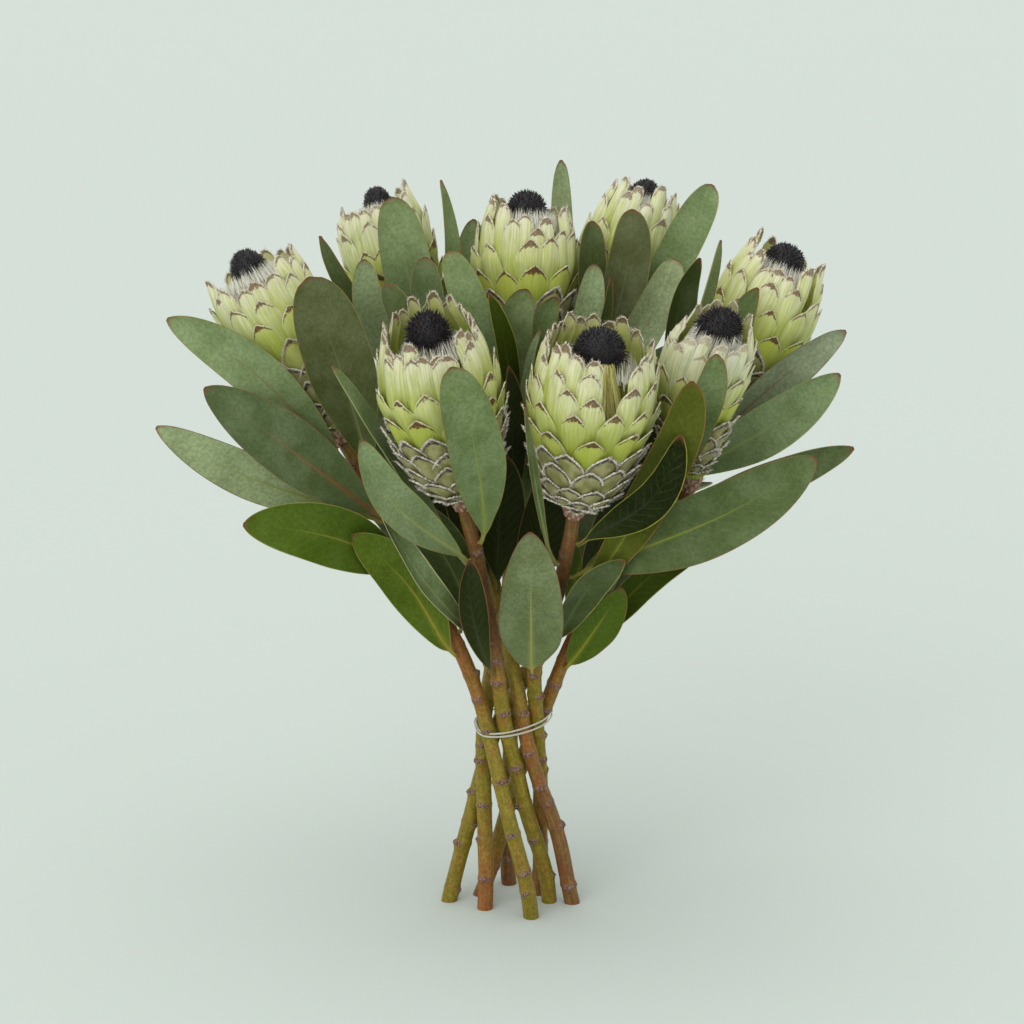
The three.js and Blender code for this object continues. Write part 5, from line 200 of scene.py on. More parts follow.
         line=[[38.3,54.2,281.4],[42.0,52.4,294.5],[45.4,49.2,307.5],[48.7,45.8,320.4],[51.9,42.4,333.3],[54.9,39.0,346.3],[57.8,35.9,359.3],[60.4,33.4,372.6],[62.5,31.7,386.1],[64.1,31.0,399.7]],
         face=[[0.53,-0.8,-0.26],[0.53,-0.8,-0.3],[0.52,-0.78,-0.33],[0.52,-0.78,-0.34],[0.53,-0.78,-0.33],[0.54,-0.78,-0.32],[0.55,-0.78,-0.28],[0.58,-0.79,-0.22],[0.6,-0.79,-0.15],[0.61,-0.78,-0.11]],
         root=[38.8,57.0,279.5]),
    dict(id='leaf_back_right_6', key='L26', stem='back_right', own=False, width=20.0, skew=1.5, cup=0.12, tone='light',
         line=[[46.5,60.5,292.0],[53.5,59.2,305.0],[60.4,56.6,317.8],[67.2,53.9,330.7],[74.0,51.3,343.6],[80.8,49.2,356.5],[87.6,47.9,369.6],[94.3,48.1,382.8],[100.6,51.5,395.7],[106.1,58.3,407.7]],
         face=[[0.04,-0.99,-0.12],[0.01,-0.99,-0.16],[-0.01,-0.98,-0.2],[-0.01,-0.98,-0.2],[0.0,-0.98,-0.18],[0.03,-0.99,-0.14],[0.07,-0.99,-0.08],[0.14,-0.99,0.06],[0.24,-0.93,0.27],[0.28,-0.88,0.37]],
         root=[46.2,63.5,290.3]),
    dict(id='leaf_far_right_5', key='L27', stem='far_right', own=False, width=22.0, skew=1.25, cup=0.12, tone='dark',
         line=[[103.2,18.2,286.9],[105.3,19.3,301.1],[105.1,20.0,315.5],[104.7,20.5,329.8],[104.3,20.9,344.2],[104.3,21.2,358.7],[105.0,21.4,373.0],[107.2,21.2,387.3],[111.7,20.6,400.9],[118.2,19.7,413.8]],
         face=[[0.62,-0.79,-0.03],[0.63,-0.78,0.0],[0.65,-0.76,0.05],[0.65,-0.76,0.04],[0.64,-0.76,0.03],[0.64,-0.77,-0.0],[0.62,-0.78,-0.06],[0.58,-0.8,-0.16],[0.51,-0.82,-0.26],[0.47,-0.83,-0.3]],
         root=[104.8,18.6,283.9]),
    dict(id='leaf_far_right_6', key='L28', stem='far_right', own=False, width=15.0, skew=1.25, cup=0.12, tone='mid',
         line=[[90.0,12.9,274.6],[94.2,11.3,291.5],[98.6,9.6,308.4],[103.0,8.0,325.3],[107.4,6.4,342.2],[111.9,5.0,359.1],[116.4,3.9,376.0],[120.8,3.2,392.9],[125.3,3.5,409.9],[129.6,5.6,426.7]],
         face=[[0.82,-0.52,-0.25],[0.81,-0.52,-0.26],[0.81,-0.52,-0.26],[0.81,-0.52,-0.26],[0.81,-0.52,-0.26],[0.81,-0.52,-0.25],[0.82,-0.52,-0.24],[0.82,-0.52,-0.22],[0.83,-0.52,-0.18],[0.84,-0.52,-0.15]],
         root=[92.2,14.4,272.4]),
    dict(id='leaf_back_left_4', key='L12', stem='back_left', own=True, width=19.0, skew=1.5, cup=0.12, tone='mid',
         line=[[-37.5,37.8,292.1],[-44.8,36.0,304.8],[-52.6,33.5,317.1],[-60.4,30.7,329.5],[-68.0,28.0,342.1],[-75.0,25.7,355.1],[-81.2,23.9,368.6],[-85.8,23.2,382.7],[-88.0,24.0,397.5],[-88.6,25.7,412.3]],
         face=[[0.32,-0.95,0.04],[0.34,-0.94,0.03],[0.36,-0.93,0.02],[0.35,-0.94,0.01],[0.34,-0.94,0.01],[0.32,-0.95,0.01],[0.27,-0.96,0.02],[0.22,-0.97,0.05],[0.19,-0.98,0.1],[0.18,-0.98,0.12]],
         root=[-36.6,41.4,290.6]),
    dict(id='leaf_back_left_5', key='L13', stem='back_left', own=False, width=19.0, skew=1.5, cup=0.12, tone='dark',
         line=[[-31.0,32.7,279.8],[-35.8,28.7,294.0],[-40.2,22.4,307.5],[-44.5,16.0,321.0],[-48.9,9.9,334.6],[-53.5,4.5,348.4],[-58.4,0.5,362.5],[-63.8,-0.3,377.0],[-69.5,6.6,389.4],[-74.2,18.7,397.8]],
         face=[[0.45,-0.89,-0.1],[0.47,-0.87,-0.17],[0.49,-0.84,-0.23],[0.49,-0.84,-0.23],[0.48,-0.85,-0.2],[0.46,-0.88,-0.14],[0.42,-0.91,-0.0],[0.29,-0.9,0.33],[0.12,-0.7,0.7],[0.05,-0.56,0.83]],
         root=[-30.7,35.9,278.5]),
    dict(id='leaf_back_left_6', key='L11', stem='back_left', own=True, width=15.0, skew=1.25, cup=0.12, tone='dark',
         line=[[-44.4,44.1,303.4],[-53.2,43.1,316.7],[-62.1,41.0,329.8],[-71.0,38.7,343.0],[-79.8,36.8,356.3],[-88.6,35.5,369.7],[-97.1,35.4,383.3],[-105.1,37.5,397.1],[-111.9,43.1,410.5],[-117.5,51.3,423.1]],
         face=[[0.65,-0.67,0.36],[0.66,-0.66,0.35],[0.67,-0.66,0.34],[0.67,-0.66,0.34],[0.66,-0.67,0.35],[0.64,-0.67,0.37],[0.61,-0.68,0.42],[0.56,-0.67,0.49],[0.52,-0.63,0.58],[0.51,-0.6,0.61]],
         root=[-43.8,47.8,301.9]),
    dict(id='leaf_back_centre_6', key='L17', stem='back_centre', own=False, width=21.0, skew=1.5, cup=0.12, tone='dark',
         line=[[3.6,56.3,310.4],[-1.4,63.3,322.6],[-7.2,71.0,334.0],[-13.0,78.5,345.4],[-18.3,85.8,357.3],[-22.7,92.4,369.9],[-25.6,97.9,383.5],[-26.1,101.4,397.9],[-24.5,103.2,412.6],[-21.9,104.0,427.2]],
         face=[[0.23,-0.79,0.56],[0.21,-0.78,0.59],[0.19,-0.77,0.61],[0.21,-0.78,0.59],[0.24,-0.8,0.55],[0.29,-0.84,0.47],[0.33,-0.89,0.32],[0.34,-0.93,0.16],[0.32,-0.95,0.04],[0.3,-0.95,-0.01]],
         root=[6.2,54.0,310.7]),
    dict(id='leaf_back_right_7', key='L21', stem='back_right', own=True, width=17.0, skew=1.6, cup=0.12, tone='mid',
         line=[[48.2,73.4,303.9],[46.8,82.0,320.8],[44.6,91.1,337.3],[42.0,100.1,354.0],[39.5,108.6,371.0],[37.2,116.5,388.3],[35.3,123.1,406.2],[34.1,127.4,424.8],[33.9,128.2,443.9],[34.6,126.4,462.9]],
         face=[[0.48,-0.76,0.43],[0.47,-0.75,0.45],[0.47,-0.75,0.48],[0.47,-0.75,0.46],[0.47,-0.77,0.43],[0.48,-0.79,0.38],[0.49,-0.82,0.29],[0.5,-0.85,0.13],[0.5,-0.87,-0.03],[0.49,-0.87,-0.1]],
         root=[51.8,73.0,302.1]),
    dict(id='leaf_back_centre_7', key='L39', stem='back_centre', own=False, width=20.0, skew=1.25, cup=0.12, tone='dark',
         line=[[2.1,33.4,234.3],[2.3,27.5,247.6],[2.5,20.3,260.1],[2.7,12.8,272.5],[2.8,5.6,285.1],[2.8,-1.2,297.8],[2.6,-7.2,311.0],[2.2,-12.0,324.7],[1.6,-15.6,338.7],[0.9,-18.5,352.9]],
         face=[[0.7,-0.65,-0.3],[0.7,-0.63,-0.33],[0.7,-0.61,-0.37],[0.7,-0.61,-0.37],[0.71,-0.62,-0.35],[0.71,-0.63,-0.31],[0.72,-0.65,-0.24],[0.72,-0.67,-0.18],[0.72,-0.68,-0.12],[0.72,-0.68,-0.1]],
         root=[2.3,36.8,233.6]),
    dict(id='leaf_front_left_4', key='L45', stem='front_left', own=False, width=17.0, skew=1.0, cup=0.14, tone='mid',
         line=[[-12.8,-30.6,178.6],[-20.1,-37.6,188.9],[-27.4,-45.1,198.8],[-34.7,-52.4,209.0],[-42.0,-59.0,219.6],[-49.2,-64.4,230.8],[-56.3,-68.4,242.8],[-63.1,-71.1,255.2],[-69.8,-73.0,267.9],[-76.3,-74.5,280.7]],
         face=[[0.83,-0.5,0.26],[0.84,-0.49,0.26],[0.84,-0.48,0.26],[0.83,-0.5,0.25],[0.81,-0.53,0.25],[0.79,-0.56,0.25],[0.76,-0.59,0.27],[0.74,-0.61,0.29],[0.73,-0.61,0.3],[0.73,-0.62,0.3]],
         root=[-10.1,-28.6,179.3]),
    dict(id='leaf_front_left_5', key='L46b', stem='front_left', own=False, width=31.0, skew=1.25, cup=0.12, tone='dark',
         line=[[-16.8,-30.5,197.2],[-23.1,-32.1,205.5],[-27.3,-34.3,215.0],[-31.1,-36.6,224.6],[-35.3,-38.8,234.0],[-40.2,-40.8,243.2],[-45.7,-42.6,252.0],[-51.8,-44.3,260.5],[-58.1,-45.8,268.9],[-64.6,-47.2,277.1]],
         face=[[0.34,-0.94,0.08],[0.35,-0.94,0.01],[0.33,-0.94,-0.08],[0.33,-0.94,-0.08],[0.34,-0.94,-0.05],[0.35,-0.94,0.0],[0.35,-0.94,0.05],[0.34,-0.94,0.08],[0.34,-0.94,0.09],[0.34,-0.94,0.1]],
         root=[-13.5,-31.2,197.6]),
    dict(id='leaf_front_left_6', key='L47', stem='front_left', own=False, width=19.0, skew=1.25, cup=0.12, tone='sat',
         line=[[-8.9,-28.8,161.5],[-11.9,-34.5,169.2],[-14.6,-39.3,177.6],[-17.0,-43.6,186.3],[-19.2,-47.5,195.3],[-20.9,-51.1,204.5],[-22.1,-54.2,213.9],[-22.7,-56.7,223.6],[-22.7,-58.7,233.5],[-22.5,-60.5,243.3]],
         face=[[0.67,-0.7,-0.25],[0.64,-0.73,-0.25],[0.6,-0.77,-0.23],[0.57,-0.79,-0.22],[0.54,-0.81,-0.22],[0.5,-0.84,-0.22],[0.47,-0.86,-0.21],[0.44,-0.88,-0.19],[0.42,-0.89,-0.18],[0.41,-0.9,-0.17]],
         root=[-7.3,-25.8,162.2]),
    dict(id='leaf_front_right_6', key='L48', stem='front_right', own=False, width=21.0, skew=1.25, cup=0.12, tone='dark',
         line=[[24.5,-24.8,179.4],[29.6,-31.2,185.7],[33.5,-37.0,193.2],[37.1,-42.5,201.3],[40.7,-47.6,209.4],[44.7,-52.6,217.6],[49.3,-57.3,225.6],[55.1,-61.5,233.0],[62.2,-65.2,239.5],[70.0,-68.4,245.5]],
         face=[[-0.22,-0.77,-0.6],[-0.12,-0.78,-0.61],[0.03,-0.81,-0.59],[0.07,-0.82,-0.57],[0.07,-0.83,-0.55],[0.04,-0.85,-0.53],[-0.02,-0.87,-0.49],[-0.08,-0.9,-0.44],[-0.11,-0.92,-0.38],[-0.11,-0.93,-0.36]],
         root=[22.6,-22.3,180.7]),
    dict(id='leaf_back_left_7', key='G1', stem='back_left', own=False, width=30.0, skew=1.25, cup=0.12, tone='dark',
         line=[[-5.9,5.2,206.7],[-6.0,2.8,216.9],[-5.9,-0.6,227.0],[-5.7,-4.2,236.9],[-5.4,-7.7,246.9],[-5.0,-11.0,256.9],[-4.4,-13.7,267.1],[-3.6,-15.8,277.5],[-2.6,-17.3,287.9],[-1.6,-18.5,298.4]],
         face=[[0.18,-0.96,-0.23],[0.17,-0.95,-0.27],[0.16,-0.93,-0.33],[0.16,-0.93,-0.34],[0.15,-0.93,-0.32],[0.15,-0.95,-0.29],[0.14,-0.96,-0.24],[0.14,-0.97,-0.18],[0.14,-0.98,-0.14],[0.14,-0.98,-0.12]],
         root=[-7.0,8.2,205.3]),
    dict(id='leaf_back_left_8', key='G2', stem='back_left', own=False, width=34.0, skew=1.25, cup=0.12, tone='dark',
         line=[[3.6,-3.6,177.8],[6.6,-4.2,192.2],[10.1,-4.9,206.5],[13.7,-5.8,220.7],[17.3,-6.7,235.0],[20.6,-7.9,249.3],[23.7,-9.2,263.6],[26.2,-10.9,278.1],[28.1,-13.0,292.5],[29.6,-15.3,307.0]],
         face=[[0.41,-0.91,-0.12],[0.4,-0.91,-0.13],[0.39,-0.91,-0.15],[0.39,-0.91,-0.16],[0.39,-0.91,-0.16],[0.39,-0.9,-0.17],[0.4,-0.9,-0.17],[0.41,-0.89,-0.18],[0.42,-0.89,-0.18],[0.43,-0.88,-0.18]],
         root=[1.1,-1.6,176.5]),
    dict(id='leaf_right_5', key='G3', stem='right', own=False, width=26.0, skew=1.25, cup=0.12, tone='dark',
         line=[[47.1,-12.2,200.1],[47.8,-17.5,211.3],[50.0,-21.7,222.7],[52.8,-25.5,234.1],[56.1,-29.4,245.4],[59.7,-33.3,256.6],[63.7,-37.6,267.4],[68.3,-42.4,277.9],[73.5,-47.8,287.7],[79.0,-53.7,297.1]],
         face=[[0.54,-0.75,-0.38],[0.5,-0.78,-0.39],[0.45,-0.81,-0.38],[0.42,-0.82,-0.39],[0.4,-0.82,-0.41],[0.37,-0.82,-0.43],[0.32,-0.82,-0.48],[0.25,-0.81,-0.53],[0.19,-0.8,-0.57],[0.16,-0.79,-0.59]],
         root=[49.9,-10.4,199.0]),
    dict(id='leaf_far_left_7', key='G4', stem='far_left', own=False, width=26.0, skew=1.25, cup=0.12, tone='dark',
         line=[[-29.4,-18.6,185.7],[-29.2,-21.4,198.6],[-32.7,-22.2,211.4],[-37.4,-22.5,223.8],[-42.1,-23.1,236.2],[-46.4,-24.4,248.7],[-49.4,-27.2,261.3],[-50.1,-32.2,273.5],[-48.8,-39.0,284.9],[-46.5,-46.7,295.5]],
         face=[[0.25,-0.94,-0.21],[0.31,-0.95,-0.09],[0.33,-0.94,0.07],[0.33,-0.94,0.09],[0.34,-0.94,0.05],[0.36,-0.93,-0.05],[0.34,-0.91,-0.23],[0.24,-0.87,-0.44],[0.11,-0.82,-0.56],[0.05,-0.81,-0.59]],
         root=[-32.3,-17.2,184.6]),
    dict(id='leaf_far_right_7', key='G5', stem='far_right', own=False, width=26.0, skew=1.25, cup=0.12, tone='dark',
         line=[[68.7,6.9,238.9],[71.0,3.5,247.6],[73.2,-0.4,256.0],[75.5,-4.3,264.4],[77.8,-7.9,273.0],[79.9,-11.0,281.7],[82.0,-13.1,290.8],[83.8,-13.9,300.1],[85.5,-13.6,309.5],[87.0,-12.5,318.9]],
         face=[[0.09,-0.92,-0.38],[0.08,-0.91,-0.41],[0.07,-0.9,-0.43],[0.08,-0.9,-0.42],[0.1,-0.92,-0.38],[0.13,-0.94,-0.31],[0.17,-0.97,-0.19],[0.21,-0.98,-0.06],[0.23,-0.97,0.04],[0.24,-0.97,0.07]],
         root=[70.2,9.7,237.6]),
    dict(id='leaf_back_left_9', key='G6', stem='back_left', own=False, width=32.0, skew=1.25, cup=0.12, tone='dark',
         line=[[-9.8,6.5,210.5],[-13.8,4.2,223.2],[-18.3,2.1,235.9],[-22.7,0.1,248.5],[-26.7,-1.9,261.3],[-30.2,-3.8,274.3],[-32.7,-5.6,287.5],[-34.0,-7.3,300.9],[-34.2,-8.9,314.4],[-33.9,-10.5,327.8]],
         face=[[0.25,-0.96,-0.09],[0.26,-0.96,-0.08],[0.26,-0.96,-0.07],[0.25,-0.96,-0.07],[0.24,-0.97,-0.08],[0.22,-0.97,-0.09],[0.19,-0.98,-0.1],[0.16,-0.98,-0.11],[0.14,-0.98,-0.12],[0.13,-0.98,-0.12]],
         root=[-9.3,9.7,209.3]),
    dict(id='leaf_back_left_10', key='B1', stem='back_left', own=True, width=30.0, skew=1.25, cup=0.12, tone='mid',
         line=[[-8.7,16.7,202.9],[-12.4,26.5,212.6],[-15.7,32.1,225.5],[-18.9,37.1,238.7],[-22.6,42.8,251.6],[-26.8,50.4,263.1],[-31.6,60.2,272.7],[-36.7,71.2,280.5],[-42.0,83.0,287.2],[-47.3,95.0,293.3]],
         face=[[0.27,-0.61,0.75],[0.33,-0.72,0.62],[0.4,-0.8,0.44],[0.41,-0.8,0.44],[0.38,-0.76,0.54],[0.32,-0.66,0.68],[0.25,-0.55,0.8],[0.21,-0.45,0.87],[0.19,-0.4,0.9],[0.18,-0.38,0.91]],
         root=[-8.2,12.9,204.4]),
    dict(id='leaf_back_centre_8', key='B2', stem='back_centre', own=True, width=34.0, skew=1.25, cup=0.12, tone='mid',
         line=[[0.2,38.2,198.1],[0.6,47.4,209.3],[1.0,54.9,221.8],[1.4,62.8,234.1],[1.9,71.6,245.8],[2.3,82.1,256.1],[2.8,94.0,264.6],[3.2,106.9,271.6],[3.6,120.2,277.7],[4.1,133.8,283.3]],
         face=[[-0.03,-0.76,0.65],[-0.03,-0.81,0.59],[-0.03,-0.84,0.54],[-0.03,-0.82,0.57],[-0.03,-0.75,0.66],[-0.02,-0.64,0.77],[-0.02,-0.53,0.85],[-0.02,-0.45,0.89],[-0.01,-0.4,0.92],[-0.01,-0.38,0.92]],
         root=[0.4,34.2,198.9]),
    dict(id='leaf_back_right_8', key='B3', stem='back_right', own=True, width=32.0, skew=1.25, cup=0.12, tone='mid',
         line=[[10.1,34.3,213.2],[13.8,44.5,222.3],[18.3,50.9,234.5],[23.1,56.6,246.9],[28.3,63.0,258.8],[33.8,71.3,269.3],[39.5,81.5,277.8],[45.3,92.9,284.6],[51.0,104.9,290.2],[56.7,117.2,295.3]],
         face=[[-0.26,-0.57,0.78],[-0.31,-0.67,0.67],[-0.4,-0.75,0.53],[-0.41,-0.74,0.54],[-0.36,-0.69,0.63],[-0.29,-0.6,0.75],[-0.22,-0.48,0.85],[-0.18,-0.39,0.9],[-0.16,-0.34,0.93],[-0.15,-0.32,0.94]],
         root=[10.8,30.5,214.4]),
    dict(id='leaf_back_left_11', key='B4', stem='back_left', own=False, width=30.0, skew=1.25, cup=0.12, tone='dark',
         line=[[-30.4,33.0,259.6],[-39.3,38.0,268.4],[-45.1,42.4,279.7],[-50.4,46.8,291.3],[-56.4,51.6,302.4],[-64.0,57.1,312.1],[-73.2,63.2,319.8],[-83.3,69.6,326.0],[-94.0,76.2,331.0],[-104.8,82.8,335.6]],
         face=[[0.6,-0.26,0.76],[0.69,-0.32,0.65],[0.76,-0.4,0.52],[0.75,-0.4,0.53],[0.7,-0.35,0.63],[0.6,-0.27,0.75],[0.49,-0.19,0.85],[0.4,-0.14,0.91],[0.35,-0.11,0.93],[0.33,-0.1,0.94]],
         root=[-27.2,32.4,260.8]),
    dict(id='leaf_back_centre_9', key='B5', stem='back_centre', own=False, width=30.0, skew=1.25, cup=0.12, tone='dark',
         line=[[-0.5,46.4,247.8],[-3.7,53.3,259.3],[-3.5,56.0,272.8],[-2.4,58.0,286.5],[-1.5,60.7,300.1],[-1.4,65.3,313.1],[-2.4,72.3,325.0],[-4.4,80.8,335.7],[-6.8,90.2,345.6],[-9.5,100.0,355.0]],
         face=[[0.21,-0.81,0.54],[0.19,-0.91,0.37],[0.09,-0.98,0.17],[0.06,-0.98,0.16],[0.09,-0.96,0.26],[0.13,-0.9,0.42],[0.15,-0.81,0.57],[0.14,-0.73,0.67],[0.13,-0.68,0.72],[0.13,-0.67,0.73]],
         root=[1.8,43.9,248.3]),
    dict(id='leaf_back_right_9', key='B6', stem='back_right', own=False, width=30.0, skew=1.25, cup=0.12, tone='mid',
         line=[[20.3,44.0,251.5],[18.8,48.9,263.8],[20.3,53.4,276.4],[22.7,58.1,288.7],[24.9,63.7,300.7],[26.5,70.4,312.2],[27.2,78.3,322.9],[27.2,87.2,333.0],[26.7,96.5,342.6],[26.1,106.1,351.9]],
         face=[[-0.27,-0.91,0.33],[-0.35,-0.88,0.33],[-0.43,-0.82,0.37],[-0.43,-0.8,0.42],[-0.39,-0.79,0.47],[-0.34,-0.77,0.54],[-0.3,-0.74,0.6],[-0.28,-0.71,0.65],[-0.27,-0.69,0.67],[-0.27,-0.68,0.68]],
         root=[23.5,44.0,250.3]),
    dict(id='leaf_far_right_8', key='B7', stem='far_right', own=False, width=32.0, skew=1.25, cup=0.12, tone='mid',
         line=[[71.8,17.5,237.3],[78.4,24.9,247.1],[85.0,30.0,258.5],[91.7,34.8,269.8],[99.0,40.2,280.5],[107.0,47.0,289.9],[115.4,55.1,297.6],[124.2,64.2,303.9],[133.0,73.7,309.3],[141.8,83.5,314.2]],
         face=[[-0.53,-0.47,0.71],[-0.57,-0.5,0.65],[-0.63,-0.51,0.59],[-0.61,-0.49,0.62],[-0.55,-0.46,0.7],[-0.47,-0.39,0.79],[-0.39,-0.32,0.87],[-0.33,-0.26,0.91],[-0.3,-0.22,0.93],[-0.29,-0.21,0.93]],
         root=[71.9,14.1,237.6]),
    dict(id='leaf_back_left_12', key='B8', stem='back_left', own=False, width=30.0, skew=1.25, cup=0.12, tone='mid',
         line=[[-21.5,20.0,231.2],[-31.0,22.6,240.1],[-39.3,25.2,250.1],[-47.8,27.9,259.9],[-57.1,30.7,269.0],[-67.6,33.6,276.6],[-79.2,36.5,282.4],[-91.4,39.4,286.8],[-103.9,42.2,290.3],[-116.5,45.0,293.3]],
         face=[[0.65,-0.17,0.74],[0.69,-0.19,0.7],[0.72,-0.2,0.66],[0.69,-0.19,0.7],[0.61,-0.16,0.78],[0.49,-0.13,0.86],[0.37,-0.1,0.92],[0.29,-0.09,0.95],[0.24,-0.08,0.97],[0.22,-0.07,0.97]],
         root=[-18.2,20.6,231.9]),
    dict(id='leaf_far_right_9', key='B9', stem='far_right', own=True, width=32.0, skew=1.25, cup=0.12, tone='sat',
         line=[[35.1,11.7,187.8],[39.5,20.1,196.3],[43.1,28.6,205.1],[46.5,38.0,213.3],[50.0,48.0,220.6],[53.7,58.9,226.5],[57.5,70.4,230.9],[61.3,82.4,234.1],[65.2,94.5,236.5],[69.1,106.6,238.5]],
         face=[[-0.22,-0.63,0.75],[-0.22,-0.63,0.74],[-0.21,-0.62,0.76],[-0.19,-0.57,0.8],[-0.16,-0.49,0.86],[-0.12,-0.38,0.92],[-0.09,-0.28,0.96],[-0.07,-0.21,0.98],[-0.05,-0.16,0.99],[-0.05,-0.15,0.99]],
         root=[35.8,7.7,187.9]),
    dict(id='leaf_back_centre_10', key='B10', stem='back_centre', own=False, width=32.0, skew=1.25, cup=0.12, tone='sat',
         line=[[-3.5,28.5,163.7],[-7.1,37.1,171.7],[-11.0,45.6,179.5],[-15.1,54.6,186.8],[-19.5,64.1,193.1],[-24.2,74.3,198.0],[-29.2,85.0,201.3],[-34.3,95.9,203.4],[-39.4,107.0,204.8],[-44.6,118.0,205.8]],
         face=[[0.27,-0.59,0.76],[0.27,-0.59,0.76],[0.26,-0.56,0.79],[0.23,-0.5,0.83],[0.19,-0.41,0.89],[0.14,-0.3,0.94],[0.09,-0.2,0.97],[0.06,-0.13,0.99],[0.04,-0.09,1.0],[0.03,-0.07,1.0]],
         root=[-1.8,25.6,164.4]),
    dict(id='leaf_back_right_10', key='B11', stem='back_right', own=False, width=26.0, skew=1.25, cup=0.12, tone='mid',
         line=[[52.4,64.0,290.8],[62.1,66.0,297.8],[69.0,70.1,306.9],[75.4,74.8,316.2],[82.4,79.7,324.9],[90.7,84.5,332.3],[100.6,88.9,338.0],[111.2,92.9,342.3],[122.3,96.7,345.6],[133.6,100.4,348.5]],
         face=[[-0.53,-0.24,0.81],[-0.62,-0.28,0.74],[-0.68,-0.34,0.65],[-0.66,-0.34,0.67],[-0.6,-0.29,0.75],[-0.49,-0.23,0.84],[-0.37,-0.18,0.91],[-0.28,-0.15,0.95],[-0.22,-0.14,0.96],[-0.2,-0.14,0.97]],
         root=[49.6,65.9,291.5]),
    dict(id='leaf_right_6', key='B12', stem='right', own=False, width=28.0, skew=1.25, cup=0.12, tone='mid',
         line=[[42.4,1.1,169.6],[49.4,3.5,177.8],[55.3,4.8,187.0],[61.3,6.1,196.3],[68.0,7.7,204.9],[75.8,10.0,212.4],[84.5,13.0,218.5],[93.9,16.4,223.3],[103.5,20.1,227.4],[113.2,23.9,231.1]],
         face=[[-0.7,-0.25,0.67],[-0.75,-0.26,0.61],[-0.8,-0.26,0.55],[-0.77,-0.25,0.59],[-0.7,-0.24,0.68],[-0.58,-0.21,0.79],[-0.46,-0.17,0.87],[-0.38,-0.14,0.91],[-0.33,-0.12,0.94],[-0.32,-0.11,0.94]],
         root=[40.2,-1.5,170.1]),
    dict(id='leaf_far_left_8', key='B13', stem='far_left', own=False, width=26.0, skew=1.25, cup=0.12, tone='mid',
         line=[[-58.4,-12.7,240.7],[-61.6,-6.8,251.5],[-64.7,-1.7,262.9],[-67.8,3.5,274.1],[-71.1,9.7,284.8],[-74.7,17.1,294.5],[-78.4,25.9,303.0],[-82.3,35.5,310.5],[-86.2,45.7,317.2],[-90.1,56.0,323.6]],
         face=[[0.34,-0.78,0.53],[0.36,-0.79,0.49],[0.37,-0.8,0.47],[0.35,-0.78,0.51],[0.32,-0.74,0.6],[0.27,-0.66,0.7],[0.24,-0.58,0.78],[0.21,-0.52,0.83],[0.19,-0.48,0.86],[0.19,-0.46,0.87]],
         root=[-59.5,-15.9,240.1]),
    dict(id='leaf_far_left_9', key='B14', stem='far_left', own=False, width=24.0, skew=1.25, cup=0.12, tone='dark',
         line=[[-73.4,-13.1,267.0],[-77.1,-7.5,277.4],[-80.7,-3.0,288.3],[-84.4,1.6,299.2],[-88.4,7.1,309.5],[-92.6,13.8,319.0],[-97.2,21.8,327.2],[-101.8,30.7,334.4],[-106.6,40.0,341.0],[-111.3,49.6,347.2]],
         face=[[0.6,-0.6,0.54],[0.62,-0.6,0.5],[0.64,-0.61,0.47],[0.62,-0.59,0.51],[0.58,-0.57,0.59],[0.52,-0.51,0.68],[0.47,-0.44,0.76],[0.44,-0.39,0.81],[0.42,-0.35,0.84],[0.42,-0.34,0.84]],
         root=[-74.5,-16.3,266.4]),
    dict(id='leaf_back_left_13', key='B15', stem='back_left', own=False, width=26.0, skew=1.25, cup=0.12, tone='mid',
         line=[[-24.8,40.3,273.5],[-24.3,48.0,283.4],[-26.2,53.1,294.7],[-28.8,57.9,306.1],[-31.4,63.5,317.0],[-33.7,70.6,327.1],[-35.3,79.4,335.9],[-36.4,89.4,343.6],[-37.2,99.9,350.4],[-37.9,110.6,356.9]],
         face=[[-0.26,-0.76,0.6],[-0.21,-0.84,0.49],[-0.12,-0.92,0.38],[-0.11,-0.91,0.4],[-0.15,-0.86,0.49],[-0.2,-0.77,0.61],[-0.23,-0.66,0.71],[-0.25,-0.58,0.78],[-0.25,-0.53,0.81],[-0.25,-0.51,0.82]],
         root=[-27.4,38.0,273.6]),
    dict(id='leaf_far_right_10', key='B16', stem='far_right', own=False, width=26.0, skew=1.25, cup=0.12, tone='mid',
         line=[[83.9,18.4,264.0],[86.4,24.0,274.8],[89.4,28.1,286.0],[92.7,32.3,297.2],[96.2,37.3,308.0],[99.7,43.6,318.1],[103.2,51.3,327.1],[106.7,60.0,335.2],[110.1,69.3,342.7],[113.5,78.8,349.8]],
         face=[[-0.33,-0.8,0.49],[-0.37,-0.81,0.45],[-0.4,-0.81,0.42],[-0.39,-0.8,0.45],[-0.35,-0.77,0.53],[-0.3,-0.71,0.64],[-0.26,-0.64,0.72],[-0.23,-0.58,0.78],[-0.22,-0.55,0.81],[-0.22,-0.54,0.82]],
         root=[85.9,15.8,263.0]),
    dict(id='leaf_right_7', key='B17', stem='right', own=False, width=26.0, skew=1.25, cup=0.12, tone='dark',
         line=[[49.6,-3.8,199.5],[51.7,0.6,210.3],[53.1,5.1,221.0],[54.4,10.2,231.6],[55.7,16.1,241.7],[57.1,23.2,250.9],[58.6,31.4,259.2],[60.2,40.4,266.7],[61.9,49.8,273.5],[63.5,59.4,280.1]],
         face=[[-0.58,-0.71,0.4],[-0.57,-0.72,0.39],[-0.54,-0.74,0.4],[-0.52,-0.73,0.45],[-0.49,-0.69,0.53],[-0.45,-0.63,0.63],[-0.43,-0.57,0.7],[-0.42,-0.51,0.75],[-0.41,-0.48,0.78],[-0.4,-0.47,0.79]],
         root=[50.5,-6.8,198.2]),
    dict(id='leaf_back_right_11', key='B18', stem='back_right', own=False, width=26.0, skew=1.25, cup=0.12, tone='mid',
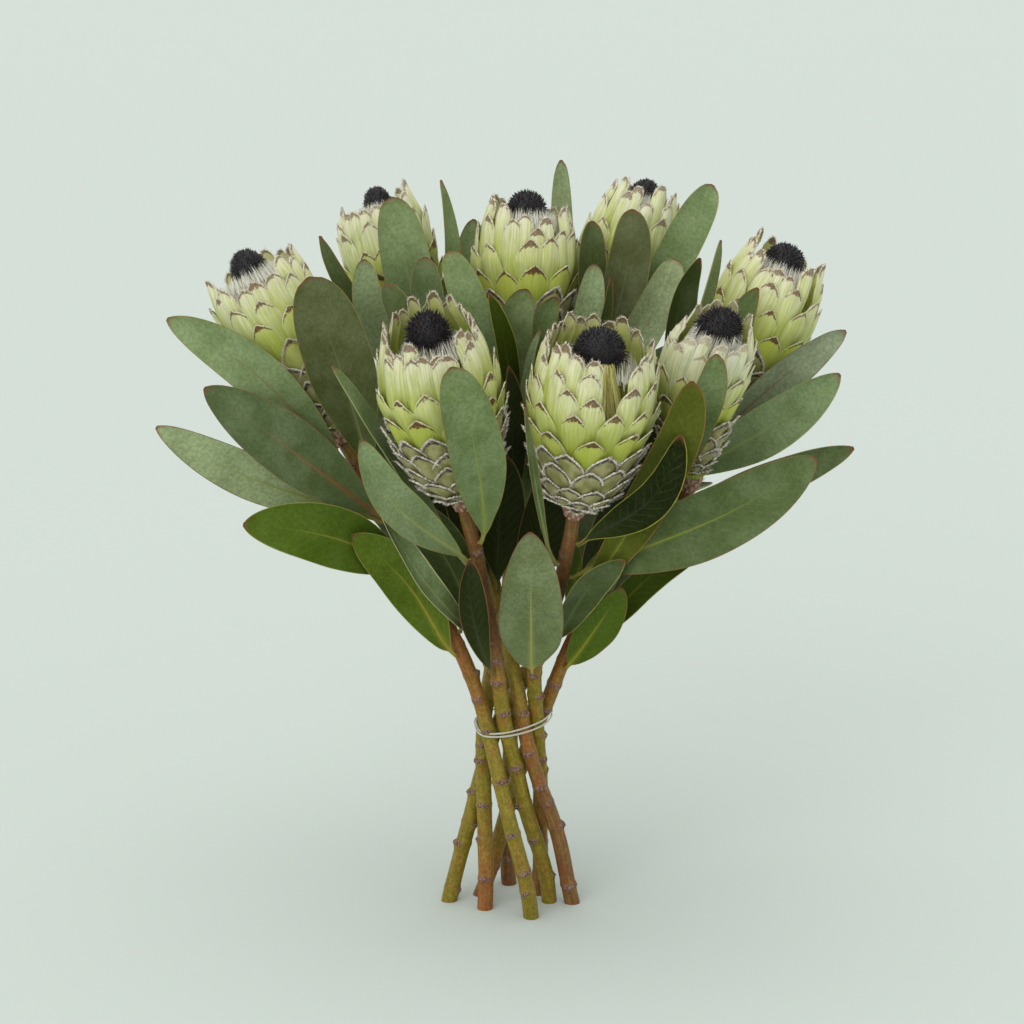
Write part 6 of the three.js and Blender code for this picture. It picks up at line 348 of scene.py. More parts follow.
         line=[[11.8,37.1,228.3],[11.2,44.8,238.9],[12.9,50.8,250.5],[15.3,56.7,262.1],[17.5,63.4,273.2],[19.3,71.5,283.4],[20.4,81.1,292.3],[20.9,91.7,300.2],[21.1,102.9,307.2],[21.1,114.2,313.9]],
         face=[[0.24,-0.77,0.58],[0.21,-0.84,0.51],[0.15,-0.89,0.43],[0.14,-0.88,0.46],[0.16,-0.83,0.54],[0.18,-0.73,0.65],[0.2,-0.64,0.75],[0.21,-0.56,0.8],[0.21,-0.51,0.83],[0.21,-0.5,0.84]],
         root=[14.6,35.1,227.8]),
    dict(id='leaf_back_centre_11', key='B19', stem='back_centre', own=False, width=26.0, skew=1.25, cup=0.12, tone='dark',
         line=[[3.8,43.9,228.7],[6.0,51.9,238.5],[7.8,58.3,249.5],[9.7,64.7,260.5],[11.7,72.0,270.9],[14.2,80.7,280.1],[17.0,90.7,287.6],[20.1,101.6,293.8],[23.3,112.9,299.0],[26.6,124.4,303.9]],
         face=[[-0.16,-0.75,0.65],[-0.17,-0.79,0.58],[-0.19,-0.84,0.52],[-0.18,-0.81,0.55],[-0.16,-0.75,0.65],[-0.12,-0.64,0.76],[-0.09,-0.53,0.84],[-0.07,-0.44,0.89],[-0.05,-0.39,0.92],[-0.05,-0.38,0.93]],
         root=[2.8,40.6,229.3]),
    dict(id='leaf_back_left_14', key='B20', stem='back_left', own=False, width=28.0, skew=1.25, cup=0.12, tone='mid',
         line=[[-7.9,3.4,180.5],[-15.3,8.0,188.8],[-20.8,12.0,198.6],[-26.1,16.2,208.6],[-32.2,20.6,218.0],[-39.5,25.7,226.0],[-48.1,31.3,232.3],[-57.4,37.1,237.3],[-67.1,42.9,241.3],[-77.0,48.9,244.8]],
         face=[[0.58,-0.36,0.73],[0.64,-0.41,0.65],[0.69,-0.46,0.56],[0.67,-0.44,0.59],[0.61,-0.39,0.69],[0.51,-0.32,0.8],[0.4,-0.25,0.88],[0.31,-0.2,0.93],[0.26,-0.17,0.95],[0.25,-0.16,0.96]],
         root=[-4.6,2.7,181.5]),
    dict(id='leaf_far_right_11', key='B21', stem='far_right', own=False, width=26.0, skew=1.25, cup=0.12, tone='mid',
         line=[[52.7,12.8,206.3],[61.1,18.3,212.8],[68.1,20.7,222.2],[74.9,22.4,232.0],[82.2,24.3,241.3],[90.7,27.3,249.2],[100.3,31.5,255.1],[110.3,36.5,259.5],[120.5,42.0,262.7],[130.7,47.5,265.5]],
         face=[[-0.53,-0.17,0.83],[-0.64,-0.23,0.73],[-0.76,-0.24,0.6],[-0.76,-0.23,0.61],[-0.68,-0.22,0.69],[-0.55,-0.18,0.81],[-0.42,-0.12,0.9],[-0.32,-0.06,0.94],[-0.27,-0.03,0.96],[-0.25,-0.02,0.97]],
         root=[51.4,10.0,207.8]),
    dict(id='leaf_back_centre_12', key='B22', stem='back_centre', own=False, width=24.0, skew=1.25, cup=0.12, tone='mid',
         line=[[-2.0,43.0,255.4],[-6.4,44.7,265.9],[-7.7,46.2,277.4],[-8.4,48.0,288.9],[-9.8,50.1,300.2],[-12.9,52.7,311.1],[-17.9,55.8,321.2],[-24.2,59.1,330.3],[-31.3,62.6,338.9],[-38.8,66.2,347.1]],
         face=[[0.51,-0.79,0.34],[0.49,-0.83,0.25],[0.41,-0.9,0.17],[0.4,-0.9,0.19],[0.42,-0.87,0.27],[0.44,-0.81,0.39],[0.41,-0.76,0.5],[0.38,-0.73,0.57],[0.35,-0.71,0.61],[0.34,-0.71,0.62]],
         root=[1.5,43.3,255.2]),
    dict(id='leaf_far_left_10', key='B23', stem='far_left', own=False, width=26.0, skew=1.25, cup=0.12, tone='mid',
         line=[[-46.5,-12.3,204.3],[-53.2,-8.2,212.7],[-58.7,-5.9,222.6],[-64.3,-3.7,232.6],[-70.4,-1.2,242.1],[-77.6,2.3,250.4],[-85.9,6.8,257.1],[-94.7,12.0,262.6],[-103.8,17.4,267.2],[-113.0,23.1,271.4]],
         face=[[0.63,-0.37,0.68],[0.7,-0.39,0.6],[0.76,-0.4,0.51],[0.74,-0.39,0.54],[0.68,-0.37,0.64],[0.57,-0.32,0.76],[0.46,-0.26,0.85],[0.38,-0.22,0.9],[0.33,-0.19,0.92],[0.32,-0.18,0.93]],
         root=[-44.7,-15.1,205.0]),
]
TIE = dict(centre=[4.0,-0.8], height=123.6, rise=0.14, side=0.08, radii=[22.3,24.1,21.3,19.1,18.1,18.0,18.9,21.0,22.0,19.9,18.8,18.6,19.4,21.4,23.7,23.5,24.4,26.8,27.3,24.1,22.5,20.3,19.0,18.8,18.5,19.1,20.4,20.8])
KNOTS = {
    "far_left": [[20.0,4.38,0.69],[34.1,-1.24,1.1],[58.4,-1.76,1],[92.5,-1.12,1.2],[125.8,-1.79,0.8],[147.9,-1.75,1],[164.0,6.22,0.93],[184.7,2.34,0.91],[207.0,4.74,0.75],[226.4,0.85,0.96],[246.4,3.25,0.74],[270.9,5.65,0.97],[296.3,1.77,0.82],[318.4,4.17,0.68]],
    "front_left": [[19.0,6.11,0.61],[47.4,-1.9,1],[72.7,-2.6,1],[100.2,-1.56,1.1],[138.5,-1.35,1.1],[160.4,-1.97,1.15],[175.6,-1.44,1],[189.2,4.06,0.95],[208.9,0.18,0.7],[234.1,2.58,0.88],[257.4,4.98,0.87]],
    "back_left": [[14.1,-1.25,1.2],[56.7,-0.33,1.1],[74.1,-0.99,0.7],[86.1,-1.47,1.1],[109.5,-1.74,1],[135.5,-1.07,1.1],[167.5,1.14,0.7],[190.3,3.54,1.0],[212.8,5.94,0.65],[232.7,2.06,0.59],[260.6,4.46,0.81],[280.4,0.58,0.56],[300.9,2.98,0.79],[328.8,5.38,0.77]],
    "front_right": [[14.7,4.94,0.87],[38.3,1.06,0.89],[61.6,3.46,0.76],[91.0,-0.24,0.6],[99.1,-0.94,0.9],[116.0,-0.48,0.9],[143.7,-0.76,1],[159.9,-1.83,1],[182.8,2.89,0.7],[207.0,5.29,0.97],[231.4,1.41,0.56],[258.5,3.81,0.61]],
    "right": [[21.7,5.63,0.56],[41.0,1.74,0.79],[66.3,-0.23,0.7],[90.4,-1.79,0.7],[120.0,2.66,0.68],[136.1,-1.07,1],[154.6,-1.62,1.2],[171.7,1.18,0.88],[195.3,3.58,0.73],[215.1,5.98,0.86],[236.0,2.09,0.86],[255.5,4.49,0.7],[282.4,0.61,0.73]],
    "far_right": [[9.3,-0.49,0.7],[39.8,-2.63,1.2],[54.5,-0.47,0.9],[74.7,-2.65,1.1],[107.6,4.09,0.55],[135.0,0.21,0.79],[162.7,2.61,0.84],[191.5,5.01,0.77],[216.6,1.12,0.92],[241.4,3.52,0.77],[269.7,5.92,0.63],[297.0,2.04,0.82],[321.5,4.44,0.78]],
    "back_right": [[20.9,-1.69,1.1],[46.7,-2.77,0.7],[68.5,-1.7,1],[82.9,1.54,0.83],[97.9,-2.12,1.1],[107.0,-1.71,0.8],[137.8,0.05,0.94],[158.7,2.45,0.82],[181.7,4.85,0.62],[207.2,0.97,0.65],[227.6,3.37,0.9],[249.9,5.77,0.61],[272.0,1.89,0.87],[299.2,4.29,0.7],[326.8,0.4,0.58]],
    "back_centre": [[17.5,-1.6,1.0],[35.3,1.21,0.81],[56.3,3.61,0.85],[79.0,6.01,0.98],[100.0,2.12,0.9],[122.2,4.52,0.67],[146.5,0.64,0.61],[168.8,3.04,0.92],[194.0,5.44,0.62],[213.4,1.56,0.87],[241.8,3.96,0.99],[261.6,0.07,0.67],[283.5,2.47,0.62],[304.7,4.87,0.8]],
}
STEM_TONES = {
    "far_left": [[0.0,"olive2"],[126.1,"olive"],[146.2,"tan"],[174.2,"orange"],[217.0,"orange"],[289.7,"redbrown"]],
    "front_left": [[0.0,"olive"],[146.1,"olive"],[163.1,"tan"],[181.5,"redbrown"],[225.4,"redbrown"],[273.8,"redbrown"]],
    "back_left": [[0.0,"redbrown"],[31.2,"redbrown"],[75.3,"redbrown"],[109.2,"orange"],[133.1,"tan"],[149.9,"olive"],[208.1,"olive"],[346.3,"redbrown"]],
    "front_right": [[0.0,"redbrown"],[54.0,"tan"],[97.4,"olive"],[146.9,"olive2"],[200.4,"tan"],[225.4,"redbrown"],[279.1,"redbrown"]],
    "right": [[0.0,"redbrown"],[10.0,"orange"],[52.8,"olive"],[111.2,"olive"],[149.1,"tan"],[179.2,"orange"],[250.9,"redbrown"]],
    "far_right": [[0.0,"olive2"],[34.6,"olive2"],[96.4,"olive"],[140.6,"olive"],[202.7,"tan"],[280.4,"redbrown"]],
    "back_right": [[0.0,"orange"],[15.5,"orange"],[38.5,"tan"],[71.2,"olive"],[135.7,"olive"],[201.5,"olive"],[307.2,"tan"]],
    "back_centre": [[0.0,"redbrown"],[22.5,"redbrown"],[59.4,"tan"],[130.6,"olive"],[195.0,"olive"],[291.2,"tan"]],
}
OFFSET = (2.7, -4.5)


# ------------------------------------------------------------------ camera
cam_data = bpy.data.cameras.new("camera")
cam_data.lens = 85.05
cam_data.sensor_width = 36.0
cam_data.clip_start = 0.05
cam_data.clip_end = 200.0
cam = bpy.data.objects.new("camera", cam_data)
bpy.context.scene.collection.objects.link(cam)
cam.location = (OFFSET[0] * MM, (OFFSET[1] - 1455.4) * MM, 0.6219)
cam.rotation_euler = (math.radians(76.0), 0.0, 0.0)
bpy.context.scene.camera = cam


# ------------------------------------------------------------------ helpers
def lin(r, g, b):
    """sRGB 0-255 to linear."""
    out = []
    for c in (r, g, b):
        c = c / 255.0
        out.append(c / 12.92 if c <= 0.04045 else ((c + 0.055) / 1.055) ** 2.4)
    return tuple(out)


def unit(v):
    v = np.asarray(v, float)
    return v / np.maximum(np.linalg.norm(v, axis=-1, keepdims=True), 1e-12)


def smooth(x, a, b):
    """0 at a, 1 at b, eased."""
    t = np.clip((np.asarray(x, float) - a) / (b - a), 0, 1)
    return t * t * (3 - 2 * t)


def spline(points, count=None, at=None):
    """Natural cubic through the points, by chord length, evenly resampled."""
    P = np.asarray(points, float)
    s = np.r_[0, np.cumsum(np.linalg.norm(np.diff(P, axis=0), axis=1))]
    n = len(P)
    h = np.diff(s)
    A = np.eye(n)
    B = np.zeros((n, P.shape[1]))
    for i in range(1, n - 1):
        A[i, i - 1], A[i, i], A[i, i + 1] = h[i - 1], 2 * (h[i - 1] + h[i]), h[i]
        B[i] = 6 * ((P[i + 1] - P[i]) / h[i] - (P[i] - P[i - 1]) / h[i - 1])
    M = np.linalg.solve(A, B)

    def f(x):
        x = np.clip(x, 0, s[-1])
        i = np.clip(np.searchsorted(s, x, side="right") - 1, 0, n - 2)
        a = ((s[i + 1] - x) / h[i])[:, None]
        b = ((x - s[i]) / h[i])[:, None]
        H = (h[i] ** 2 / 6)[:, None]
        return a * P[i] + b * P[i + 1] + ((a ** 3 - a) * M[i] + (b ** 3 - b) * M[i + 1]) * H

    if at is not None:
        return f(np.asarray(at, float) * s[-1])
    fine = f(np.linspace(0, s[-1], 400))
    L = np.r_[0, np.cumsum(np.linalg.norm(np.diff(fine, axis=0), axis=1))]
    t = np.linspace(0, L[-1], count)
    return np.stack([np.interp(t, L, fine[:, k]) for k in range(P.shape[1])], 1)


def length_along(P):
    return np.r_[0, np.cumsum(np.linalg.norm(np.diff(P, axis=0), axis=1))]


class Builder:
    """Collects closed bodies with their per-vertex values and makes one mesh of them."""

    def __init__(self):
        self.v, self.q, self.t, self.n = [], [], [], 0
        self.a = {}

    def add(self, verts, quads=None, tris=None, **values):
        verts = np.asarray(verts, float).reshape(-1, 3)
        k = len(verts)
        self.v.append(verts)
        if quads is not None and len(quads):
            self.q.append(np.asarray(quads, int) + self.n)
        if tris is not None and len(tris):
            self.t.append(np.asarray(tris, int) + self.n)
        for name, x in values.items():
            x = np.asarray(x, float)
            if x.ndim == 0:
                x = np.full(k, float(x))
            elif x.ndim == 1 and len(x) == 3 and k != 3:
                x = np.tile(x, (k, 1))
            self.a.setdefault(name, []).append((self.n, x))
        self.n += k

    def mesh(self, name, sharp=52):
        V = np.concatenate(self.v) * MM
        Q = np.concatenate(self.q) if self.q else np.zeros((0, 4), int)
        T = np.concatenate(self.t) if self.t else np.zeros((0, 3), int)
        me = bpy.data.meshes.new(name)
        me.vertices.add(len(V))
        me.vertices.foreach_set("co", V.astype(np.float32).ravel())
        me.loops.add(Q.size + T.size)
        me.loops.foreach_set("vertex_index", np.r_[Q.ravel(), T.ravel()].astype(np.int32))
        me.polygons.add(len(Q) + len(T))
        starts = np.r_[np.arange(len(Q)) * 4, Q.size + np.arange(len(T)) * 3]
        me.polygons.foreach_set("loop_start", starts.astype(np.int32))
        me.polygons.foreach_set("use_smooth", np.ones(len(Q) + len(T), bool))
        me.update(calc_edges=True)
        me.validate()
        for name_, parts in self.a.items():
            wide = any(x.ndim == 2 for _, x in parts)
            data = np.zeros((self.n, 3) if wide else self.n, np.float32)
            for start, x in parts:
                data[start:start + len(x)] = x
            if wide:
                at = me.attributes.new(name_, "FLOAT_VECTOR", "POINT")
                at.data.foreach_set("vector", data.ravel())
            else:
                at = me.attributes.new(name_, "FLOAT", "POINT")
                at.data.foreach_set("value", data)
        me.set_sharp_from_angle(angle=math.radians(sharp))
        return me

    def object(self, name, material, slot, replaces=(), sharp=52):
        ob = bpy.data.objects.new(name, self.mesh(name, sharp))
        ob.data.materials.append(material)
        bpy.context.scene.collection.objects.link(ob)
        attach(ob, "root")
        if replaces:
            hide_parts(*replaces)
        return ob


def grid_quads(rows, cols, base=0, flip=False, wrap=False):
    i = np.arange(rows - 1)[:, None] * cols
    if wrap:
        j = np.arange(cols)[None]
        k = (j + 1) % cols
    else:
        j = np.arange(cols - 1)[None]
        k = j + 1
    a, b, c, d = i + j, i + k, i + cols + k, i + cols + j
    q = np.stack([a, b, c, d], -1).reshape(-1, 4) + base
    return q[:, ::-1] if flip else q


def sheet_faces(rows, cols):
    """Faces of a thin closed body: an upper grid, then a lower grid of the same size."""
    n = rows * cols
    up = grid_quads(rows, cols)
    lo = grid_quads(rows, cols, base=n, flip=True)
    idx = np.arange(n).reshape(rows, cols)
    ring = np.r_[idx[0, :-1], idx[:-1, -1], idx[-1, :0:-1], idx[:0:-1, 0]]
    nxt = np.roll(ring, -1)
    side = np.stack([ring, ring + n, nxt + n, nxt], -1)
    return np.concatenate([up, lo, side])


def cones(tips, roots, radius, sides=3, twist=None):
    """Closed spikes, one for each root and tip."""
    tips, roots = np.asarray(tips, float), np.asarray(roots, float)
    n = len(tips)
    d = unit(tips - roots)
    ref = np.where(np.abs(d[:, 2:3]) > 0.8, [[1.0, 0, 0]], [[0, 0, 1.0]])
    e1 = unit(np.cross(d, ref))
    e2 = np.cross(d, e1)
    rad = np.broadcast_to(np.asarray(radius, float), (n,))[:, None, None]
    ang = np.arange(sides) * 2 * math.pi / sides
    ring = roots[:, None] + rad * (e1[:, None] * np.cos(ang)[None, :, None] + e2[:, None] * np.sin(ang)[None, :, None])
    V = np.concatenate([ring, tips[:, None]], 1)
    k = sides + 1
    tri = []
    for j in range(sides):
        tri.append([j, (j + 1) % sides, sides])
    for j in range(1, sides - 1):
        tri.append([0, j + 1, j])
    F = (np.array(tri)[None] + np.arange(n)[:, None, None] * k).reshape(-1, 3)
    part = np.tile(np.r_[np.zeros(sides), 1.0], n)
    which = np.repeat(np.arange(n), k)
    return V.reshape(-1, 3), F, part, which


# ------------------------------------------------------------------ materials
class Nodes:
    """Short names for building a node material."""

    def __init__(self, name):
        self.mat = bpy.data.materials.new(name)
        self.mat.use_nodes = True
        self.t = self.mat.node_tree
        self.t.nodes.clear()
        self.out = self.t.nodes.new("ShaderNodeOutputMaterial")
        self.bsdf = self.t.nodes.new("ShaderNodeBsdfPrincipled")
        self.t.links.new(self.bsdf.outputs[0], self.out.inputs[0])

    def put(self, sock, v):
        if isinstance(v, bpy.types.NodeSocket):
            self.t.links.new(v, sock)
        elif isinstance(v, (tuple, list)):
            sock.default_value = tuple(v) + (1.0,) if len(v) == 3 and len(sock.default_value) == 4 else tuple(v)
        else:
            sock.default_value = v

    def set(self, name, v):
        self.put(self.bsdf.inputs[name], v)

    def num(self, name):
        n = self.t.nodes.new("ShaderNodeAttribute")
        n.attribute_type = "GEOMETRY"
        n.attribute_name = name
        return n.outputs["Fac"]

    def vec(self, name):
        n = self.t.nodes.new("ShaderNodeAttribute")
        n.attribute_type = "GEOMETRY"
        n.attribute_name = name
        return n.outputs["Vector"]

    def m(self, op, a, b=0.0, c=0.0, clamp=False):
        n = self.t.nodes.new("ShaderNodeMath")
        n.operation = op
        n.use_clamp = clamp
        self.put(n.inputs[0], a)
        self.put(n.inputs[1], b)
        self.put(n.inputs[2], c)
        return n.outputs[0]

    def add(self, a, b):
        return self.m("ADD", a, b)

    def sub(self, a, b):
        return self.m("SUBTRACT", a, b)

    def mul(self, a, b):
        return self.m("MULTIPLY", a, b)

    def ease(self, x, a, b):
        """0 at a, 1 at b, eased; a may be above b."""
        n = self.t.nodes.new("ShaderNodeMapRange")
        n.interpolation_type = "SMOOTHSTEP"
        n.clamp = True
        self.put(n.inputs["Value"], x)
        if isinstance(a, (int, float)) and isinstance(b, (int, float)) and a > b:
            n.inputs["From Min"].default_value = b
            n.inputs["From Max"].default_value = a
            n.inputs["To Min"].default_value = 1.0
            n.inputs["To Max"].default_value = 0.0
        else:
            self.put(n.inputs["From Min"], a)
            self.put(n.inputs["From Max"], b)
            n.inputs["To Min"].default_value = 0.0
            n.inputs["To Max"].default_value = 1.0
        return n.outputs[0]

    def mix(self, f, a, b, how="MIX"):
        n = self.t.nodes.new("ShaderNodeMix")
        n.data_type = "RGBA"
        n.blend_type = how
        n.clamp_factor = True
        self.put(n.inputs[0], f)
        self.put(n.inputs[6], a)
        self.put(n.inputs[7], b)
        return n.outputs[2]

    def xyz(self, x, y, z):
        n = self.t.nodes.new("ShaderNodeCombineXYZ")
        self.put(n.inputs[0], x)
        self.put(n.inputs[1], y)
        self.put(n.inputs[2], z)
        return n.outputs[0]

    def noise(self, v, scale=1.0, detail=2.0, rough=0.5):
        n = self.t.nodes.new("ShaderNodeTexNoise")
        self.put(n.inputs["Vector"], v)
        n.inputs["Scale"].default_value = scale
        n.inputs["Detail"].default_value = detail
        n.inputs["Roughness"].default_value = rough
        return n.outputs[0]

    def spots(self, v, scale=1.0):
        n = self.t.nodes.new("ShaderNodeTexVoronoi")
        self.put(n.inputs["Vector"], v)
        n.inputs["Scale"].default_value = scale
        return n.outputs["Distance"]

    def bump(self, height, strength=0.3, distance=0.0003, normal=None):
        n = self.t.nodes.new("ShaderNodeBump")
        n.inputs["Strength"].default_value = strength
        n.inputs["Distance"].default_value = distance
        self.put(n.inputs["Height"], height)
        if normal is not None:
            self.put(n.inputs["Normal"], normal)
        return n.outputs[0]


def bract_material():
    g = Nodes("bract")
    tip, edge, low, up = g.num("tip"), g.num("edge"), g.num("low"), g.num("up")
    inner, wood = g.num("inner"), g.num("wood")
    rnd, across, along = g.num("rnd"), g.num("across"), g.num("along")
    sheen = g.num("sheen")
    seed = g.mul(rnd, 91.0)
    notlow = g.sub(1.0, low)
    streak = g.noise(g.xyz(g.mul(across, 1.1), g.mul(along, 0.045), seed), 1.0, 3.0, 0.55)
    fine = g.noise(g.xyz(g.mul(across, 4.2), g.mul(along, 0.16), seed), 1.0, 2.0, 0.6)
    blot = g.noise(g.xyz(g.mul(across, 0.16), g.mul(along, 0.10), seed), 1.0, 2.0, 0.5)
    grit = g.noise(g.xyz(g.mul(across, 1.0), g.mul(along, 1.0), seed), 1.0, 3.0, 0.65)

    fade = g.ease(tip, 26.0, 3.0)
    mid_c = g.mix(fade, lin(146, 158, 38), lin(182, 190, 80))
    top_c = g.mix(g.ease(tip, 30.0, 6.0), lin(168, 178, 66), lin(206, 206, 152))
    low_c = g.mix(g.ease(blot, 0.35, 0.65), lin(126, 126, 70), lin(160, 156, 110))
    low_c = g.mix(g.mul(g.ease(tip, 9.0, 2.5), 0.35), low_c, lin(176, 172, 142))
    body = g.mix(up, mid_c, top_c)
    # pale silky streaks, strongest near the top of the head
    silk = g.mul(g.ease(streak, 0.46, 0.64), g.add(0.10, g.mul(g.mul(up, fade), 0.58)))
    body = g.mix(silk, body, lin(230, 231, 202))
    flow = g.noise(g.xyz(g.mul(across, 0.75), g.mul(along, 0.035), g.add(seed, 5.0)), 1.0, 4.0, 0.6)
    body = g.mix(g.mul(sheen, g.ease(flow, 0.34, 0.58)), body, lin(216, 219, 196))
    body = g.mix(g.mul(g.ease(streak, 0.48, 0.32), g.add(0.16, g.mul(up, 0.30))), body, lin(152, 162, 76))
    body = g.mix(g.mul(g.ease(blot, 0.52, 0.32), 0.26), body, lin(150, 168, 60))
    body = g.mix(low, body, low_c)
    # the inside face of the bracts is smooth and greener, and is made lighter as painted light against the shade inside
    # the crown
    body = g.mix(inner, body, g.mix(fade, lin(190, 199, 92), lin(222, 225, 148)))

    # woolly rim on the scales, a thin pale rim on the bracts near the tip
    breaks = g.noise(g.xyz(g.mul(across, 0.42), g.mul(along, 0.34), seed), 1.0, 3.0, 0.6)
    wob = g.mul(g.sub(grit, 0.5), 2.4)
    e = g.add(edge, wob)
    rim_low = g.ease(e, g.add(1.1, g.mul(breaks, 2.6)), g.add(0.5, g.mul(breaks, 1.6)))
    rim_up = g.mul(g.ease(e, 1.15, 0.35), g.add(0.16, g.mul(g.ease(tip, 8.0, 3.5), 0.64)))
    rim = g.add(g.mul(rim_low, low), g.mul(rim_up, notlow))
    wool_low = g.mix(g.ease(grit, 0.40, 0.56), lin(158, 146, 128), lin(240, 236, 224))
    wool_up = g.mix(g.ease(grit, 0.3, 0.6), lin(200, 192, 156), lin(236, 232, 212))
    wool = g.mix(low, wool_up, wool_low)
    # dark line inside the woolly rim, widest under the tip
    inner_line = g.add(2.2, g.mul(g.ease(tip, 8.0, 2.0), 2.4))
    band_low = g.mul(g.ease(e, g.add(inner_line, 0.7), inner_line), g.ease(e, 0.9, 1.5))
    band_low = g.mul(band_low, g.mul(g.ease(tip, 18.0, 10.0), g.add(0.35, g.mul(g.ease(breaks, 0.38, 0.52), 0.65))))
    # on the bracts above: a brown line under the tip, and on some a ragged brown patch that fills it
    pick = g.m("FRACT", g.mul(rnd, 7.13))
    span = g.add(g.add(3.1, g.mul(rnd, 3.0)), g.mul(g.sub(breaks, 0.5), 7.0))
    span = g.sub(span, g.mul(up, 0.9))
    patch = g.mul(g.ease(tip, g.add(span, 0.8), g.sub(span, 0.2)), g.ease(g.add(e, g.mul(tip, 0.05)), 0.6, 1.0))
    patch = g.mul(patch, g.mul(g.ease(pick, 0.14, 0.26), g.add(0.60, g.mul(g.ease(grit, 0.36, 0.50), 0.40))))
    wide = g.add(1.3, g.mul(g.ease(tip, 5.5, 0.8), g.add(0.7, g.mul(rnd, 1.1))))
    line = g.mul(g.ease(e, g.add(wide, 0.5), wide), g.ease(e, 0.45, 0.75))
    line = g.mul(line, g.mul(g.ease(tip, g.add(span, 6.0), g.add(span, 1.5)), g.ease(breaks, 0.36, 0.48)))
    band_up = g.m("MAXIMUM", patch, g.mul(line, 0.9))
    band_up = g.mul(band_up, g.sub(1.0, g.mul(g.mul(sheen, sheen), 0.8)))
    band = g.add(g.mul(band_low, low), g.mul(band_up, notlow))
    brown = g.mix(g.ease(grit, 0.35, 0.65), lin(60, 34, 20), lin(112, 70, 40))
    brown = g.mix(low, brown, g.mix(g.ease(grit, 0.4, 0.6), lin(54, 40, 36), lin(96, 76, 66)))
    brown = g.mix(g.mul(up, 0.5), brown, lin(96, 52, 42))
    col = g.mix(rim, body, wool)
    felt = g.mul(g.mul(g.ease(tip, 11.0, 2.0), up), g.ease(grit, 0.34, 0.54))
    col = g.mix(g.mul(felt, 0.62), col, lin(208, 202, 184))
    col = g.mix(g.mul(band, g.sub(0.98, g.mul(up, 0.16))), col, brown)
    # torn flecks along the very edge of the upper tips
    fleck = g.mul(g.ease(grit, 0.54, 0.62), g.mul(g.ease(tip, 8.0, 2.0), g.ease(edge, 3.0, 0.6)))
    col = g.mix(g.mul(g.mul(fleck, notlow), g.sub(0.9, g.mul(sheen, 0.4))), col, lin(106, 62, 48))
    # scattered brown flecks lower down on some bracts
    dots = g.mul(g.ease(g.spots(g.xyz(g.mul(across, 0.22), g.mul(along, 0.11), seed), 1.0), 0.12, 0.06), g.ease(rnd, 0.55, 0.7))
    col = g.mix(g.mul(dots, g.mul(notlow, 0.5)), col, lin(138, 102, 62))
    # woody collar
    bark = g.mix(g.ease(grit, 0.35, 0.65), lin(112, 70, 54), lin(156, 112, 92))
    bark = g.mix(g.ease(e, 1.4, 0.6), bark, lin(182, 158, 140))
    col = g.mix(wood, col, bark)
    g.set("Base Color", col)
    g.set("Roughness", g.add(0.52, g.mul(rim, 0.34)))
    g.set("Subsurface Weight", 0.12)
    g.set("Subsurface Radius", (0.9, 1.0, 0.4))
    g.set("Subsurface Scale", 0.002)
    g.set("Sheen Weight", 0.04)
    g.set("Sheen Roughness", 0.5)
    g.set("Specular IOR Level", 0.18)
    h = g.add(g.mul(streak, 0.55), g.add(g.mul(fine, 0.35), g.mul(g.mul(grit, rim), 1.2)))
    g.set("Normal", g.bump(h, 0.45, 0.0005))
    return g.mat


def hair_material():
    g = Nodes("wool")
    kind, part, rnd = g.num("kind"), g.num("part"), g.num("rnd")
    pale = g.mix(rnd, lin(206, 198, 178), lin(238, 236, 226))
    brown = g.mix(rnd, lin(120, 84, 66), lin(176, 132, 112))
    g.set("Base Color", g.mix(kind, pale, brown))
    g.set("Roughness", 0.75)
    g.set("Sheen Weight", 0.3)
    g.set("Specular IOR Level", 0.25)
    g.set("Subsurface Weight", 0.1)
    g.set("Subsurface Scale", 0.001)
    return g.mat


def floret_material():
    g = Nodes("floret")
    kind, part, rnd = g.num("kind"), g.num("part"), g.num("rnd")
    black = g.mix(g.ease(part, 0.2, 0.9), lin(16, 12, 16), lin(44, 36, 46))
    black = g.mix(g.ease(rnd, 0.88, 1.0), black, lin(70, 46, 40))
    straw = g.mix(rnd, lin(146, 140, 62), lin(216, 210, 146))
    straw = g.mix(g.ease(part, 0.75, 1.0), straw, lin(70, 50, 34))
    silk = g.mix(rnd, lin(206, 204, 186), lin(240, 240, 232))
    col = g.mix(g.ease(kind, 0.25, 0.75), black, straw)
    col = g.mix(g.ease(kind, 1.25, 1.75), col, silk)
    g.set("Base Color", col)
    g.set("Roughness", 0.55)
    g.set("Specular IOR Level", 0.35)
    g.set("Sheen Weight", 0.05)
    return g.mat


